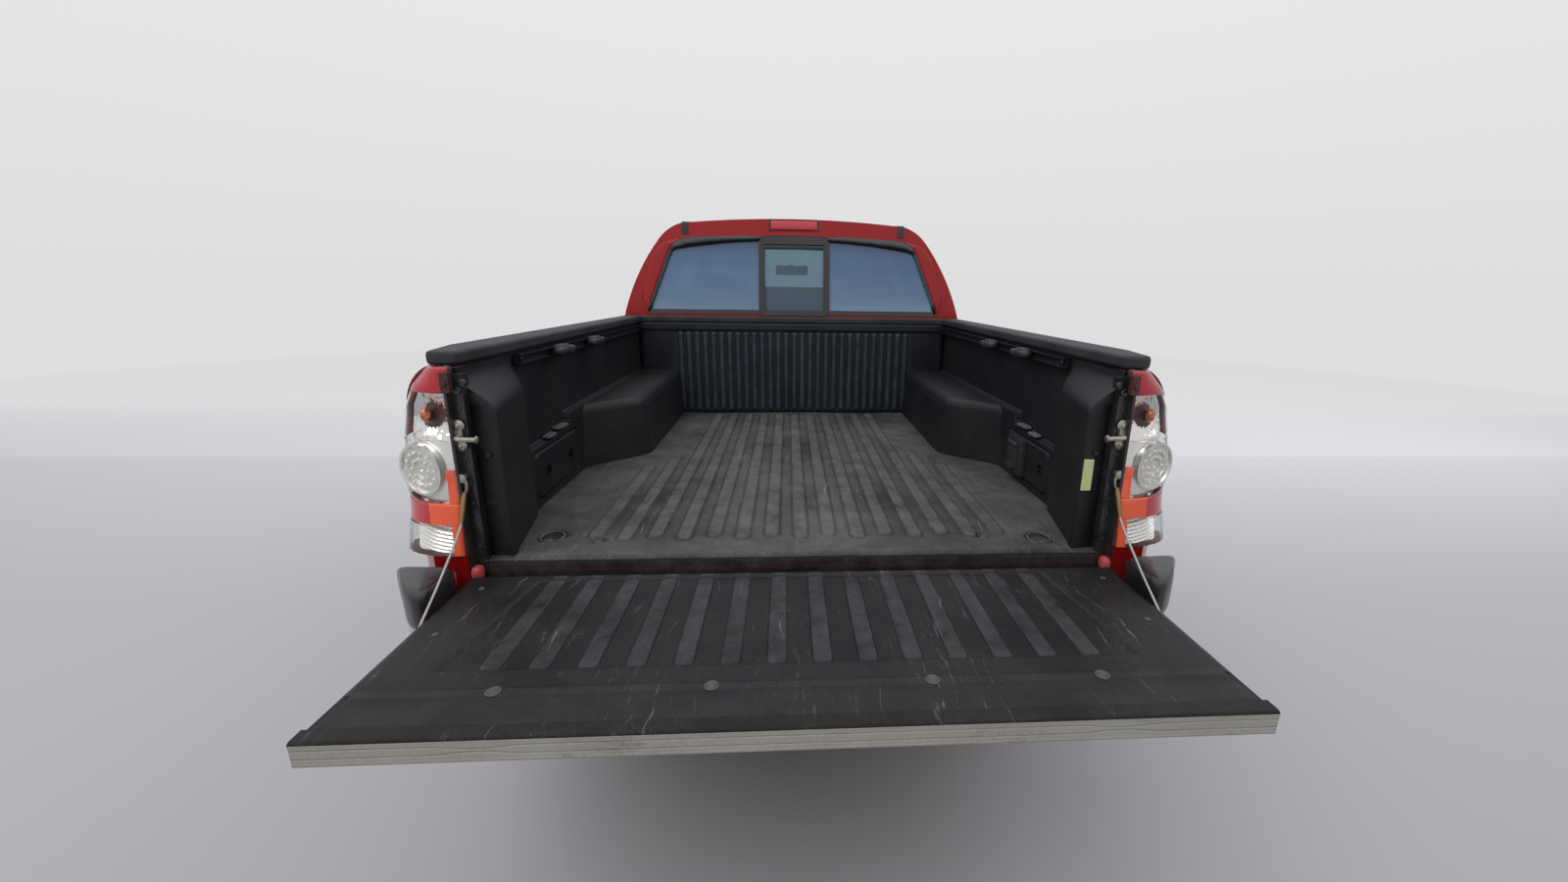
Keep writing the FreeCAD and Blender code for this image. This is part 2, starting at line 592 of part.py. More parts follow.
def greenhouse(inset=0):
    bottom = S.belt_z - 120
    at = S.roof_mid_y
    outline = wire("front", at, (-S.glass_low_half, bottom), (S.glass_low_half, bottom),
                   (S.glass_low_half, S.glass_low_z),
                   ((S.glass_mid_half, S.glass_mid_z), (S.glass_top_half, S.glass_top_z)),
                   ((S.edge_half, S.edge_z), (S.ditch_half, S.ditch_z)),
                   ((0, S.roof_z), (-S.ditch_half, S.ditch_z)),
                   ((-S.edge_half, S.edge_z), (-S.glass_top_half, S.glass_top_z)),
                   ((-S.glass_mid_half, S.glass_mid_z), (-S.glass_low_half, S.glass_low_z)))
    face = Part.Face(inset_wire(outline, inset))
    centre = Vector(0, at, S.roof_z - S.roof_sweep)
    face.rotate(centre, Vector(1, 0, 0), -12)
    swept = face.revolve(centre, Vector(1, 0, 0), 20)
    slope = Vector(0, S.screen_top_y - S.screen_low_y, S.screen_top_z - S.screen_low_z)
    slope.normalize()
    out = Vector(0, slope.z, -slope.y)
    foot = Vector(0, S.screen_low_y, S.screen_low_z) - out * S.screen_round - slope * 1500
    screen = Part.makeCylinder(S.screen_round - inset, 5000, foot, slope)
    top = S.roof_z + 100
    lean = (S.roof_rear_y - S.cab_rear_y) / (S.screen_top_z - S.rear_glass_low_z)
    rear = slab("side", -1000, 1000, (S.cab_rear_y + inset, bottom - 50),
                (S.cab_rear_y + inset, S.rear_glass_low_z),
                (S.cab_rear_y + inset + lean * (top - S.rear_glass_low_z), top),
                (S.cowl_y, top), (S.cowl_y, bottom - 50))
    return swept.common(screen).common(rear)


def cab_solid(inset=0):
    cowl = slab("side", -1000, 1000, (S.cab_rear_y + inset, S.sill_z - 10),
                (S.cab_rear_y + inset, S.belt_z + 10), (S.front_door_front_y + 60, S.belt_z + 10),
                (S.firewall_y + 20, S.screen_low_z - 4), (S.cowl_y, S.hood_rear_z - 6),
                (S.cowl_y, S.sill_z - 10))
    base = lower_body(S.cab_rear_y, S.cowl_y, inset).common(cowl)
    return base.fuse(greenhouse(inset))


def cabin_space():
    """The room inside: doors' inner faces, floor, firewall, and the glass house inside its frames."""
    low = S.floor_z + S.floor_thick
    room = slab("front", S.cab_rear_y + S.cab_wall, S.firewall_y, (-S.door_inner_half, low),
                (S.door_inner_half, low), (S.door_inner_half, S.flank_z),
                (S.glass_low_half - S.cab_wall, S.belt_z), (-S.glass_low_half + S.cab_wall, S.belt_z),
                (-S.door_inner_half, S.flank_z))
    top = slab("side", -1000, 1000, (S.cab_rear_y, low), (S.cab_rear_y, S.belt_z + 10),
               (S.front_door_front_y + 40, S.belt_z + 10), (S.firewall_y, S.screen_low_z - 50),
               (S.firewall_y, low))
    return room.common(top).fuse(greenhouse(S.cab_wall))


def front_door_line(grow, hem=0):
    """The front door's outline; hem keeps the thick inner body back from the middle pillar."""
    back = S.front_door_back_y - grow + hem
    return [
        (back, S.door_bottom_z - grow),
        (S.front_door_front_y + grow, S.door_bottom_z - grow),
        (S.front_door_front_y + grow, S.glass_low_z + grow * 0.4),
        (S.front_door_top_y + grow * 0.4, S.door_top_z + grow),
        (back, S.door_top_z + grow),
    ]


def rear_door_line(grow, hem=0, upper=0):
    """The rear door's outline; upper widens the opening where the glass house leans in."""
    front = S.rear_door_front_y + grow - hem
    return [
        (S.rear_door_back_y - grow, S.door_bottom_z + 120),
        (S.rear_door_back_y + 60 - grow * 0.4, S.door_bottom_z - grow),
        (front, S.door_bottom_z - grow),
        (front, S.door_top_z + grow),
        (S.rear_door_top_y - grow - upper, S.door_top_z + grow),
        (S.rear_door_back_y - grow - upper * 0.5, S.glass_low_z + 40),
        (S.rear_door_back_y - grow, S.glass_low_z - 30),
    ]


def window_line(door, grow):
    rim, sash = S.pane_frame - grow, S.sash_z - grow
    if door == "front":
        back, top = S.front_door_back_y + rim, S.door_top_z - rim
        return [(back, sash), (S.front_door_front_y - rim * 1.5, sash),
                (S.front_door_top_y - rim * 0.45, top), (back, top)]
    front, top = S.rear_door_front_y - rim, S.door_top_z - rim
    return [(S.rear_door_back_y + rim, sash), (front, sash), (front, top),
            (S.rear_door_top_y + rim, top), (S.rear_door_back_y + rim, S.glass_low_z + 44)]


def right_side(line):
    return slab("side", 400, S.clear_half, *line)


def rear_window(grow):
    """The opening in the cab's rear wall, as seen from behind."""
    low, side, top = S.rear_glass_low_z - grow, 686 + grow, 1668 + grow
    return slab("front", S.cab_rear_y - 60, S.cab_rear_y + 160, (-side, low), (side, low),
                (side - 14, low + 70), ((592 + grow, 1612 + grow), (520 + grow, 1632 + grow)),
                ((0, top), (-520 - grow, 1632 + grow)),
                ((-592 - grow, 1612 + grow), (-side + 14, low + 70)))


def windscreen_opening(grow):
    return slab("front", 700, S.screen_low_y + 100, (-690 - grow, 1226 - grow), (690 + grow, 1226 - grow),
                (606 + grow, 1560), ((560 + grow, 1668 + grow * 0.5), (500 + grow, 1684 + grow)),
                ((0, 1704 + grow), (-500 - grow, 1684 + grow)),
                ((-560 - grow, 1668 + grow * 0.5), (-606 - grow, 1560)))


def make_cab():
    solid = cab_solid()
    inside = cabin_space()
    shell = solid.cut(inside)
    walls = shell.copy()
    channel = block(-S.channel_half, S.channel_half, S.cab_rear_y - 10, S.cowl_y + 10,
                    S.sill_z - 20, S.floor_z)
    tools = [channel, rear_window(0), windscreen_opening(0)]
    gap, far = S.door_gap, S.clear_half
    floor_top = S.floor_z + S.floor_thick
    floor = block(0, S.door_inner_half - gap, -far * 2, far * 2, 0, floor_top)
    for line in (front_door_line(gap), rear_door_line(gap, 0, S.upper_gap)):
        opening = right_side(line).cut(floor)
        tools += [opening, other_side(opening)]
    house = drum(S.liner_half, far, front_axle_y, axle_z, S.liner_radius + S.liner_thick + S.seat_gap)
    post_x, post_y = fender_post()
    nook = block(post_x, far, S.front_door_front_y + 4, post_y, S.sill_z - 20, S.glass_low_z)
    nook = nook.fuse(block(S.belt_half + 24, far, post_y, S.cowl_y + 10, S.sill_z - 20, S.glass_low_z))
    tools += [house, other_side(house), nook, other_side(nook)]
    shell = shell.cut(tools)
    middle = (S.front_door_back_y + S.rear_door_front_y) / 2
    y0, y1 = middle - S.pillar_half, middle + S.pillar_half
    behind = cab_solid(S.skin_thick + S.pillar_seal).cut(inside)
    pillar = behind.common(block(590, far, y0, y1, S.floor_z, S.door_top_z + gap + 1))
    shell = shell.fuse([pillar, other_side(pillar)])
    below = block(-far, far, S.cab_rear_y + S.cab_wall, S.cowl_y + 20, 0, floor_top)
    ahead = block(-far, far, S.firewall_y, S.cowl_y + 20, floor_top, S.belt_z - 120)
    free_part("cab_shell", shell.cut([below, ahead]))
    free_part("floor_pan", shell.common(below))
    free_part("firewall", shell.common(ahead))
    skin = solid.cut(cab_solid(S.skin_thick))
    pane = greenhouse(S.pane_depth).cut(greenhouse(S.pane_depth + S.pane_thick))
    under_door = block(0, S.door_inner_half, -far * 2, far * 2, 0, floor_top)
    for end, line in (("front", front_door_line), ("rear", rear_door_line)):
        inner = walls.common(right_side(line(-S.hem, S.pillar_hem - S.hem))).cut(under_door)
        outer = skin.common(right_side(line(0)))
        opening = right_side(window_line(end, 0))
        hinge_end = S.front_door_front_y + gap if end == "front" else y0
        leaf_x = S.door_inner_half + 6
        leaves = [block(leaf_x, leaf_x + 40, hinge_end - 40, hinge_end - S.seat_gap, z, z + 60)
                  for z in (S.door_bottom_z + 140, S.door_bottom_z + 480)]
        door = inner.fuse([outer] + leaves).cut(opening)
        glass = pane.common(opening).cut(door)
        for side, turn in (("right", lambda form: form), ("left", other_side)):
            free_part(f"door_{end}_{side}", turn(door))
            free_part(f"glass_{end}_{side}", turn(glass))
    screen = greenhouse(6).cut(greenhouse(12)).common(windscreen_opening(0))
    high = S.roof_z + 100
    free_part("windshield", screen.common(block(-far, far, S.roof_mid_y, S.screen_low_y + 200, 0, high)))
    zone = block(-far, far, S.cab_rear_y - 60, S.roof_rear_y + 60, 0, high)
    ring = greenhouse(3).cut(greenhouse(21)).common(rear_window(0)).common(zone)
    panes = rear_panes()
    ring = ring.cut(panes)
    free_part("rear_window_frame", ring)
    free_part("rear_window_glass", greenhouse(9).cut(greenhouse(14)).common(zone).common(panes))


def fender_post():
    """Outer face and front face of the post that carries the front door's hinges."""
    return S.nose_half - S.fender_thick - 4, S.front_door_front_y + S.door_gap + 50


def rear_panes():
    """Two fixed side panes and the sliding pane between two bars."""
    inner = rear_window(-22)
    bar, slide = 14, 152
    gaps = [block(side * slide - bar, side * slide + bar, -1000, 0, 1000, 1900) for side in (-1, 1)]
    trim = block(-slide, slide, -1000, 0, 1616, 1900)
    return inner.cut(gaps + [trim])


# Inside the cab.
def make_cabin():
    back = S.firewall_y - 0.3
    low = S.floor_z + S.floor_thick
    half = S.door_inner_half - 60
    dash = slab("side", -half, half, (back, 800), (back, 1120), (back - 60, 1160),
                ((back - 260, 1185), (back - 400, 1130)), (back - 420, 1010), (back - 330, 860))
    tunnel = slab("side", -130, 130, (back - 0.0, low), (back, 820), (back - 330, 860), (back - 700, 800),
                  (back - 1150, 790), (back - 1150, low))
    lean = math.radians(S.column_lean)
    along = Vector(0, math.sin(lean), -math.cos(lean))
    wheel = Vector(-S.driver_x, S.steering_y, S.steering_z)
    shroud = rod(wheel + along * (S.post_length + S.seat_gap), wheel + along * (S.post_length + 150), 34)
    free_part("dashboard", dash.fuse([tunnel, shroud]))
    free_part("front_seats", both(seat(160, 660, 470)))
    free_part("rear_seat", seat(-640, 640, -400))
    stalk_y = S.roof_mid_y + 860
    middle = S.roof_z - S.inner_mirror_drop
    stalk = rod((0, stalk_y - 26, middle + 8), (0, stalk_y + 90, middle + 66), 8)
    mirror = block(-118, 118, stalk_y - 46, stalk_y - 22, middle - 33, middle + 34)
    free_part("interior_mirror", mirror.fuse(stalk.common(greenhouse(12 + S.seat_gap))))
    make_steering_wheel()


def make_steering_wheel():
    """Hoop, two spokes, hub and the end of the column, turned on its own axis and leant back."""
    body = new_body("steering_wheel")
    bar = [("-hoop_radius", "-17"), ("hoop_radius", "-17"), ("hoop_radius", "17"), ("-hoop_radius", "17")]
    pad(body, sketch(body, "steering_bar", "XY_Plane", bar), "14", middle=True)
    pad(body, round_sketch(body, "steering_hub", "XY_Plane", [("0", "0", "60")], "-24"), "48")
    post = round_sketch(body, "steering_post", "XY_Plane", [("0", "0", "24")], "-post_length")
    pad(body, post, "post_length")
    hoop = [("hoop_radius - 15", "0"), ("hoop_radius", "-15"), ("hoop_radius + 15", "0"),
            ("hoop_radius", "15")]
    revolve(body, sketch(body, "steering_hoop", "XZ_Plane", hoop), "Z_Axis")
    body.Placement = Placement(Vector(), Rotation(Vector(1, 0, 0), S.column_lean))
    for axis, words in zip("xyz", ("-driver_x", "steering_y", "steering_z")):
        body.setExpression(f".Placement.Base.{axis}", bound(words))


def seat(x0, x1, y):
    """Cushion, leaning back and head restraint as one simple closed form on its base."""
    low = S.floor_z + S.floor_thick + 0.3
    form = slab("side", x0, x1, (y + 60, low), (y + 480, low), (y + 500, low + 190),
                ((y + 530, low + 290), (y + 480, low + 310)), (y + 120, low + 280),
                (y - 40, low + 860), (y - 140, low + 850), (y - 20, low + 240))
    return form


# Nose: fenders, hood and lamps share one outer form.
def nose_solid(inset=0):
    y0, y1 = S.front_door_front_y + S.door_gap, S.nose_tip_y - inset
    body = lower_body(y0, y1, inset)
    plan = slab("top", 400, 1400, (-1000, y0), (1000, y0), (1000, front_axle_y),
                (S.nose_half - inset, front_axle_y),
                ((S.nose_half - inset - 12, (front_axle_y + S.nose_corner_y) / 2),
                 (S.nose_corner_half - inset, S.nose_corner_y - inset)),
                ((S.nose_corner_half - inset - 70, S.nose_corner_y - inset + 150),
                 (S.nose_face_half - inset, S.nose_face_y - inset)),
                ((0, S.nose_tip_y - inset), (-S.nose_face_half + inset, S.nose_face_y - inset)),
                ((-S.nose_corner_half + inset + 70, S.nose_corner_y - inset + 150),
                 (-S.nose_corner_half + inset, S.nose_corner_y - inset)),
                ((-S.nose_half + inset + 12, (front_axle_y + S.nose_corner_y) / 2),
                 (-S.nose_half + inset, front_axle_y)),
                (-1000, front_axle_y))
    profile = slab("side", -1000, 1000, (y0 - 5, S.sill_z - 20), (y0 - 5, S.fender_top_z - inset),
                   ((S.hood_rear_y + 500, S.hood_rear_z - 30 - inset),
                    (S.hood_front_y, S.hood_front_z - inset)),
                   ((S.nose_tip_y - 22 - inset, S.hood_front_z - 50 - inset), (S.nose_tip_y - inset, 900)),
                   (S.nose_tip_y - inset, S.sill_z - 20))
    crown_z = S.hood_rear_z + 37 - inset
    crown = slab("front", y0, y1, (-1000, S.sill_z - 20), (1000, S.sill_z - 20), (1000, crown_z - 110),
                 ((0, crown_z), (-1000, crown_z - 110)))
    return body.common(plan).common(profile).common(crown)


def hood_line(grow):
    rear, front = S.hood_rear_y - grow, S.hood_front_y + grow
    return slab("top", 700, 1300, (-S.hood_edge_half - grow, rear), (S.hood_edge_half + grow, rear),
                (S.hood_edge_half + grow, rear + 200), (S.hood_front_half + grow, front - 70),
                ((S.hood_front_half - 30, front - 14), (480, front)), (-480, front),
                ((-S.hood_front_half + 30, front - 14), (-S.hood_front_half - grow, front - 70)),
                (-S.hood_edge_half - grow, rear + 200))


def hood_room():
    """All that the closed hood and the gap round it take up."""
    under = nose_solid()
    under.translate(Vector(0, 0, -S.hood_thick - S.hood_gap))
    return hood_line(S.hood_gap).cut(under)


def front_arch(radius):
    wheel = drum(300, S.clear_half, front_axle_y, axle_z, radius)
    return [wheel, other_side(wheel)]


def make_nose():
    nose = nose_solid()
    lowered = nose.copy()
    lowered.translate(Vector(0, 0, -S.hood_thick))
    leaf = block(540, 600, S.cowl_y + S.seat_gap, S.hood_rear_y + 60, S.hood_rear_z - 90, S.hood_rear_z - 10)
    leaf = leaf.common(nose)
    hood = nose.cut(lowered).common(hood_line(0))
    free_part("hood", hood.fuse([leaf, other_side(leaf)]))
    shell = nose.cut(nose_solid(S.fender_thick))
    cavity = block(-700, 700, S.front_door_front_y, S.hood_front_y, 0, S.fender_top_z - 20)
    grille_box = block(-S.grille_half, S.grille_half, S.nose_face_y - 200, S.nose_tip_y + 20,
                       S.grille_low_z, S.grille_high_z)
    wrap_y = S.nose_corner_y - S.bumper_wrap - S.seat_gap
    under_bumper = block(-S.clear_half, S.clear_half, wrap_y, S.nose_tip_y + 20, 0, S.bumper_high_z + 6)
    lamp = block(S.lamp_inner, 1000, S.nose_corner_y - 20, S.nose_tip_y + 20, S.lamp_low_z, S.lamp_high_z)
    post_x, post_y = fender_post()
    post = block(-post_x - S.seat_gap, post_x + S.seat_gap, 0, post_y + S.seat_gap, 0, 1400)
    inner = S.belt_half + 24 + S.seat_gap
    cowl = post.fuse(block(-inner, inner, 0, S.cowl_y + 2, 0, 1400))
    tools = [hood_line(S.hood_gap), grille_box, under_bumper, cowl, lamp, other_side(lamp), cavity]
    fenders = shell.cut(tools + front_arch(S.arch_radius))
    free_part("front_fenders", fenders)
    gap = S.seat_gap
    core = block(S.lamp_inner + gap, 1000, S.nose_corner_y - 20 + gap, S.nose_tip_y + 20,
                 S.lamp_low_z + gap, S.lamp_high_z - gap)
    lamp_form = nose_solid(2).cut(nose_solid(S.lamp_depth - 60)).common(core)
    free_part("headlamps", both(lamp_form.cut(hood_room())))


def make_grille():
    """Surround and level bars in front of a closed backing, following the nose's curve in plan."""
    gap, half = S.seat_gap, S.grille_half - S.seat_gap
    low, high = S.grille_low_z + gap, S.grille_high_z - gap

    def layer(front, back, z0, z1):
        tip, edge = S.nose_tip_y, S.nose_tip_y - S.grille_sweep
        return slab("top", z0, z1, (-half, edge - back), (-half, edge - front),
                    ((0, tip - front), (half, edge - front)), (half, edge - back),
                    ((0, tip - back), (-half, edge - back)))

    lean = slab("side", -half - 1, half + 1, (S.nose_tip_y - 300, low - 1), (S.nose_tip_y + 5, low - 1),
                (S.nose_tip_y + 5, low + 50), (S.nose_tip_y - S.grille_lean, high + 1),
                (S.nose_tip_y - 300, high + 1))
    rim = S.grille_rim
    pitch = (high - low - rim) / S.bar_count
    mouths = [block(-half + rim, half - rim, S.nose_tip_y - 120, S.nose_tip_y + 10, low + rim + pitch * i,
                    low + pitch * (i + 1)) for i in range(int(S.bar_count))]
    face = layer(2, S.grille_depth, low, high).common(lean).cut(mouths)
    backing = layer(S.grille_depth - 1, S.grille_depth + 4, low, high)
    free_part("grille", face.fuse(backing).cut(hood_room()))


def bumper_plan(inset, z0, z1):
    r, y = S.bumper_reach - inset, S.nose_corner_y
    wide = S.nose_corner_half + 48 - inset
    return slab("top", z0, z1, (-wide, y - S.bumper_wrap), (-wide, y),
                ((-wide + 52, y + 178), (-560, r - 52)), ((0, r), (560, r - 52)),
                ((wide - 52, y + 178), (wide, y)), (wide, y - S.bumper_wrap))


def make_front_bumper():
    shell = bumper_plan(0, S.bumper_low_z, S.bumper_high_z).cut(
        bumper_plan(S.bumper_thick, S.bumper_low_z - 5, S.bumper_high_z + 5))
    y0, y1 = S.bumper_reach - 400, S.bumper_reach + 100
    mouth = block(-420, 420, y0, y1, S.bumper_low_z + 70, S.bumper_low_z + 190)
    fog = rod((640, y0, S.bumper_low_z + 150), (640, y1, S.bumper_low_z + 150), 52)
    bumper = shell.cut([mouth, fog, other_side(fog)] + front_arch(S.arch_radius + 6))
    top = S.rail_top + S.kick_up / 3
    horn = block(S.rail_centre - S.rail_width / 2, S.rail_centre + S.rail_width / 2,
                 S.bumper_reach - S.frame_setback + S.seat_gap, S.bumper_reach - S.bumper_thick - 20,
                 top - 100, top - 20)
    free_part("front_bumper", bumper.fuse([horn, other_side(horn)]))


def make_liners():
    """Inner wheel arches: half shells between the engine bay and the fenders."""
    outer, inner = S.liner_radius + S.liner_thick, S.liner_radius
    x0, x1 = S.liner_half, S.nose_half - S.fender_thick + 10
    ring = drum(x0, x1, front_axle_y, axle_z, outer).cut(drum(x0, x1, front_axle_y, axle_z, inner))
    low = block(x0 - 5, x1 + 5, front_axle_y - 700, front_axle_y + 700, -200, axle_z + 160)
    panels = [parts[name].Shape for name in ("front_fenders", "cab_shell", "floor_pan", "firewall")]
    free_part("wheel_liners", both(ring.cut([low] + panels)))


# Load bed.
def bed_outer():
    y0, y1 = S.bed_corner_y - 40, bed_front_y
    skin = lower_body(y0, y1)
    yc, run = S.bed_corner_y, S.bed_corner_run
    plan = slab("top", 400, 1400, (0, y1 + 1), (S.waist_half + 5, y1 + 1), (S.waist_half + 5, yc + run + 160),
                (S.waist_half, yc + run + 160),
                ((S.waist_half - S.bed_round_tuck, yc + run * 0.42), (S.bed_corner_half, yc - 4)),
                (S.bed_corner_half - 10, yc - 30), (0, yc - 30))
    low = S.tail_lamp_low
    lean = slab("side", 0, 1000, (yc, low), (yc + S.tail_lean, rail_z), (yc + S.tail_lean, 1400),
                (y1, 1400), (y1, S.bed_low_z), (S.rear_axle_y, S.bed_low_z), (yc + 40, S.bed_low_z + 20),
                (yc, S.bed_low_z + 60))
    return skin.common(plan).common(lean)


def tail_lamp_box(grow):
    yc = S.bed_corner_y
    low = S.tail_lamp_low
    return slab("side", S.tail_lamp_inner - 1 - grow, 1000, (yc - 20, low - grow),
                (yc + S.tail_lamp_wrap * 0.6 + grow, low - grow),
                ((yc + S.tail_lamp_wrap + 14 + grow, low + 180),
                 (yc + S.tail_lamp_wrap * 0.7 + grow, rail_z)),
                (yc - 20, rail_z))


def make_bed_sides():
    outer = bed_outer().common(block(0, 1000, -3000, bed_front_y, 0, rail_z))
    tub = block(-1, S.bed_half + S.bed_skin + S.seat_gap, S.bed_rear_y - S.seat_gap, bed_front_y + 1, 0, 1400)
    pillar = block(-1, S.tail_lamp_inner, -3000, S.bed_rear_y, 0, 1400)
    arch = drum(0, 1000, S.rear_axle_y, axle_z, S.arch_radius)
    side = outer.cut([tub, pillar, arch, tail_lamp_box(S.seat_gap)] + bed_hollow())
    free_part("bed_sides", both(side))
    turn = math.radians(S.brake_lamp_turn)
    out = Vector(math.sin(turn), -math.cos(turn), 0)
    middle = Vector(S.brake_lamp_x, S.bed_corner_y + S.brake_lamp_y, S.brake_lamp_z)
    radius = S.brake_lamp_radius
    brake = rod(middle - out * (radius / 2), middle + out * S.brake_lamp_stand, radius)
    lamp = outer.cut([tub, pillar]).common(tail_lamp_box(0)).fuse(brake)
    keep = block(0, 1000, -3000, S.bed_corner_y + S.tail_lamp_wrap + 40, 0, rail_z - S.seat_gap)
    high_stop = stop_lamp()
    free_part("rear_lamps", Part.makeCompound(lamp.common(keep).Solids + other_side(lamp.common(keep)).Solids
                                              + [high_stop]))


def stop_lamp():
    """High stop lamp on the roof's rear edge, seated on the roof."""
    zone = slab("front", S.roof_rear_y - 40, S.roof_rear_y + 40, (-107, 1685), (107, 1685), (107, 1712),
                (-107, 1712))
    outer = greenhouse(-9).cut(greenhouse(-S.seat_gap))
    return outer.common(zone)


def bed_hollow():
    """Room between the bed's outer skin and the tub, ahead of and behind the wheel arch."""
    x0 = S.bed_half + S.bed_skin + 16
    x1 = S.flank_half - 44
    low = S.bed_low_z - 5
    ahead = block(x0, x1, S.rear_axle_y + S.arch_radius + 30, bed_front_y - 30, low, rail_z - 90)
    behind = block(x0, x1 - 60, S.bed_corner_y + S.tail_lamp_wrap + 30, S.rear_axle_y - S.arch_radius - 30,
                   low, rail_z - 90)
    return [ahead, behind]


def make_bed_tub():
    body = new_body("bed_tub")
    top = "bed_floor_z + rail_cap_top - cap_thick"
    outer = "bed_half + bed_skin"
    depth = "bed_length + bulkhead_depth"
    trough = [
        (f"-({outer})", "bed_floor_z - floor_skin"), (outer, "bed_floor_z - floor_skin"), (outer, top),
        ("bed_half", top), ("bed_half", "bed_floor_z"), ("-bed_half", "bed_floor_z"), ("-bed_half", top),
        (f"-({outer})", top),
    ]
    pad(body, sketch(body, "tub_trough", "XZ_Plane", trough, "-bed_rear_y"), depth, back=True)
    front = "bed_rear_y + bed_length"
    wall = [
        (f"-({outer})", "bed_floor_z - floor_skin"), (outer, "bed_floor_z - floor_skin"), (outer, top),
        (f"-({outer})", top),
    ]
    pad(body, sketch(body, "tub_bulkhead", "XZ_Plane", wall, f"-({front})"), "bulkhead_depth", back=True)
    start, full = "bed_rear_y + well_start_y", "bed_rear_y + well_taper_y"
    well = [
        ("well_inner", full), ("well_inner", f"{front} + 5"), (f"{outer} - 2", f"{front} + 5"),
        (f"{outer} - 2", start), ("well_start_half", start),
    ]
    low = "bed_floor_z - floor_skin"
    hump = pad(body, sketch(body, "tub_well", "XY_Plane", well, low), "floor_skin + well_top")
    skin = "well_wall"
    house = [
        (f"well_inner + {skin}", f"{full} + {skin} / 2"), (f"well_inner + {skin}", f"{front} - {skin}"),
        (f"{outer} + 1", f"{front} - {skin}"), (f"{outer} + 1", f"{start} + {skin} * 2"),
        (f"well_start_half + {skin}", f"{start} + {skin} * 2"),
    ]
    cavity = pocket(body, sketch(body, "tub_house", "XY_Plane", house, f"{low} - 1"),
                    f"floor_skin + well_top - {skin} + 1", back=True)
    mirrored(body, [hump, cavity])
    mirrored(body, tub_fittings(body, outer))
    top_rail = "rail_top + kick_up"
    bars = [("bed_rear_y + 40", "bed_rear_y + 110"), ("rear_axle_y - 60", "rear_axle_y + 20"),
            ("rear_axle_y + 240", "rear_axle_y + 320")]
    for i, (y0, y1) in enumerate(bars):
        outline = [("-480", y0), ("480", y0), ("480", y1), ("-480", y1)]
        pad(body, sketch(body, f"tub_bar_{i}", "XY_Plane", outline, top_rail),
            f"bed_floor_z - floor_skin - ({top_rail}) + 1")
    rib = [
        ("-rib_width / 2 - rib_pitch * (rib_count - 1) / 2", "bed_floor_z - 1"),
        ("rib_width / 2 - rib_pitch * (rib_count - 1) / 2", "bed_floor_z - 1"),
        ("rib_width / 2 - rib_pitch * (rib_count - 1) / 2", "bed_floor_z + rib_high"),
        ("-rib_width / 2 - rib_pitch * (rib_count - 1) / 2", "bed_floor_z + rib_high"),
    ]
    first = pad(body, sketch(body, "tub_rib", "XZ_Plane", rib, "-(bed_rear_y + 100)"), "rib_run", back=True)
    rows(body, first, "X_Axis", "rib_pitch", "rib_count")
    slat = [
        ("-wall_rib_pitch * (wall_rib_count - 1) / 2 - 7", f"{front} - 5"),
        ("-wall_rib_pitch * (wall_rib_count - 1) / 2 + 7", f"{front} - 5"),
        ("-wall_rib_pitch * (wall_rib_count - 1) / 2 + 7", f"{front} + 1"),
        ("-wall_rib_pitch * (wall_rib_count - 1) / 2 - 7", f"{front} + 1"),
    ]
    first = pad(body, sketch(body, "tub_slat", "XY_Plane", slat, "bed_floor_z + 20"), "bulkhead_top - 40")
    rows(body, first, "X_Axis", "wall_rib_pitch", "wall_rib_count")


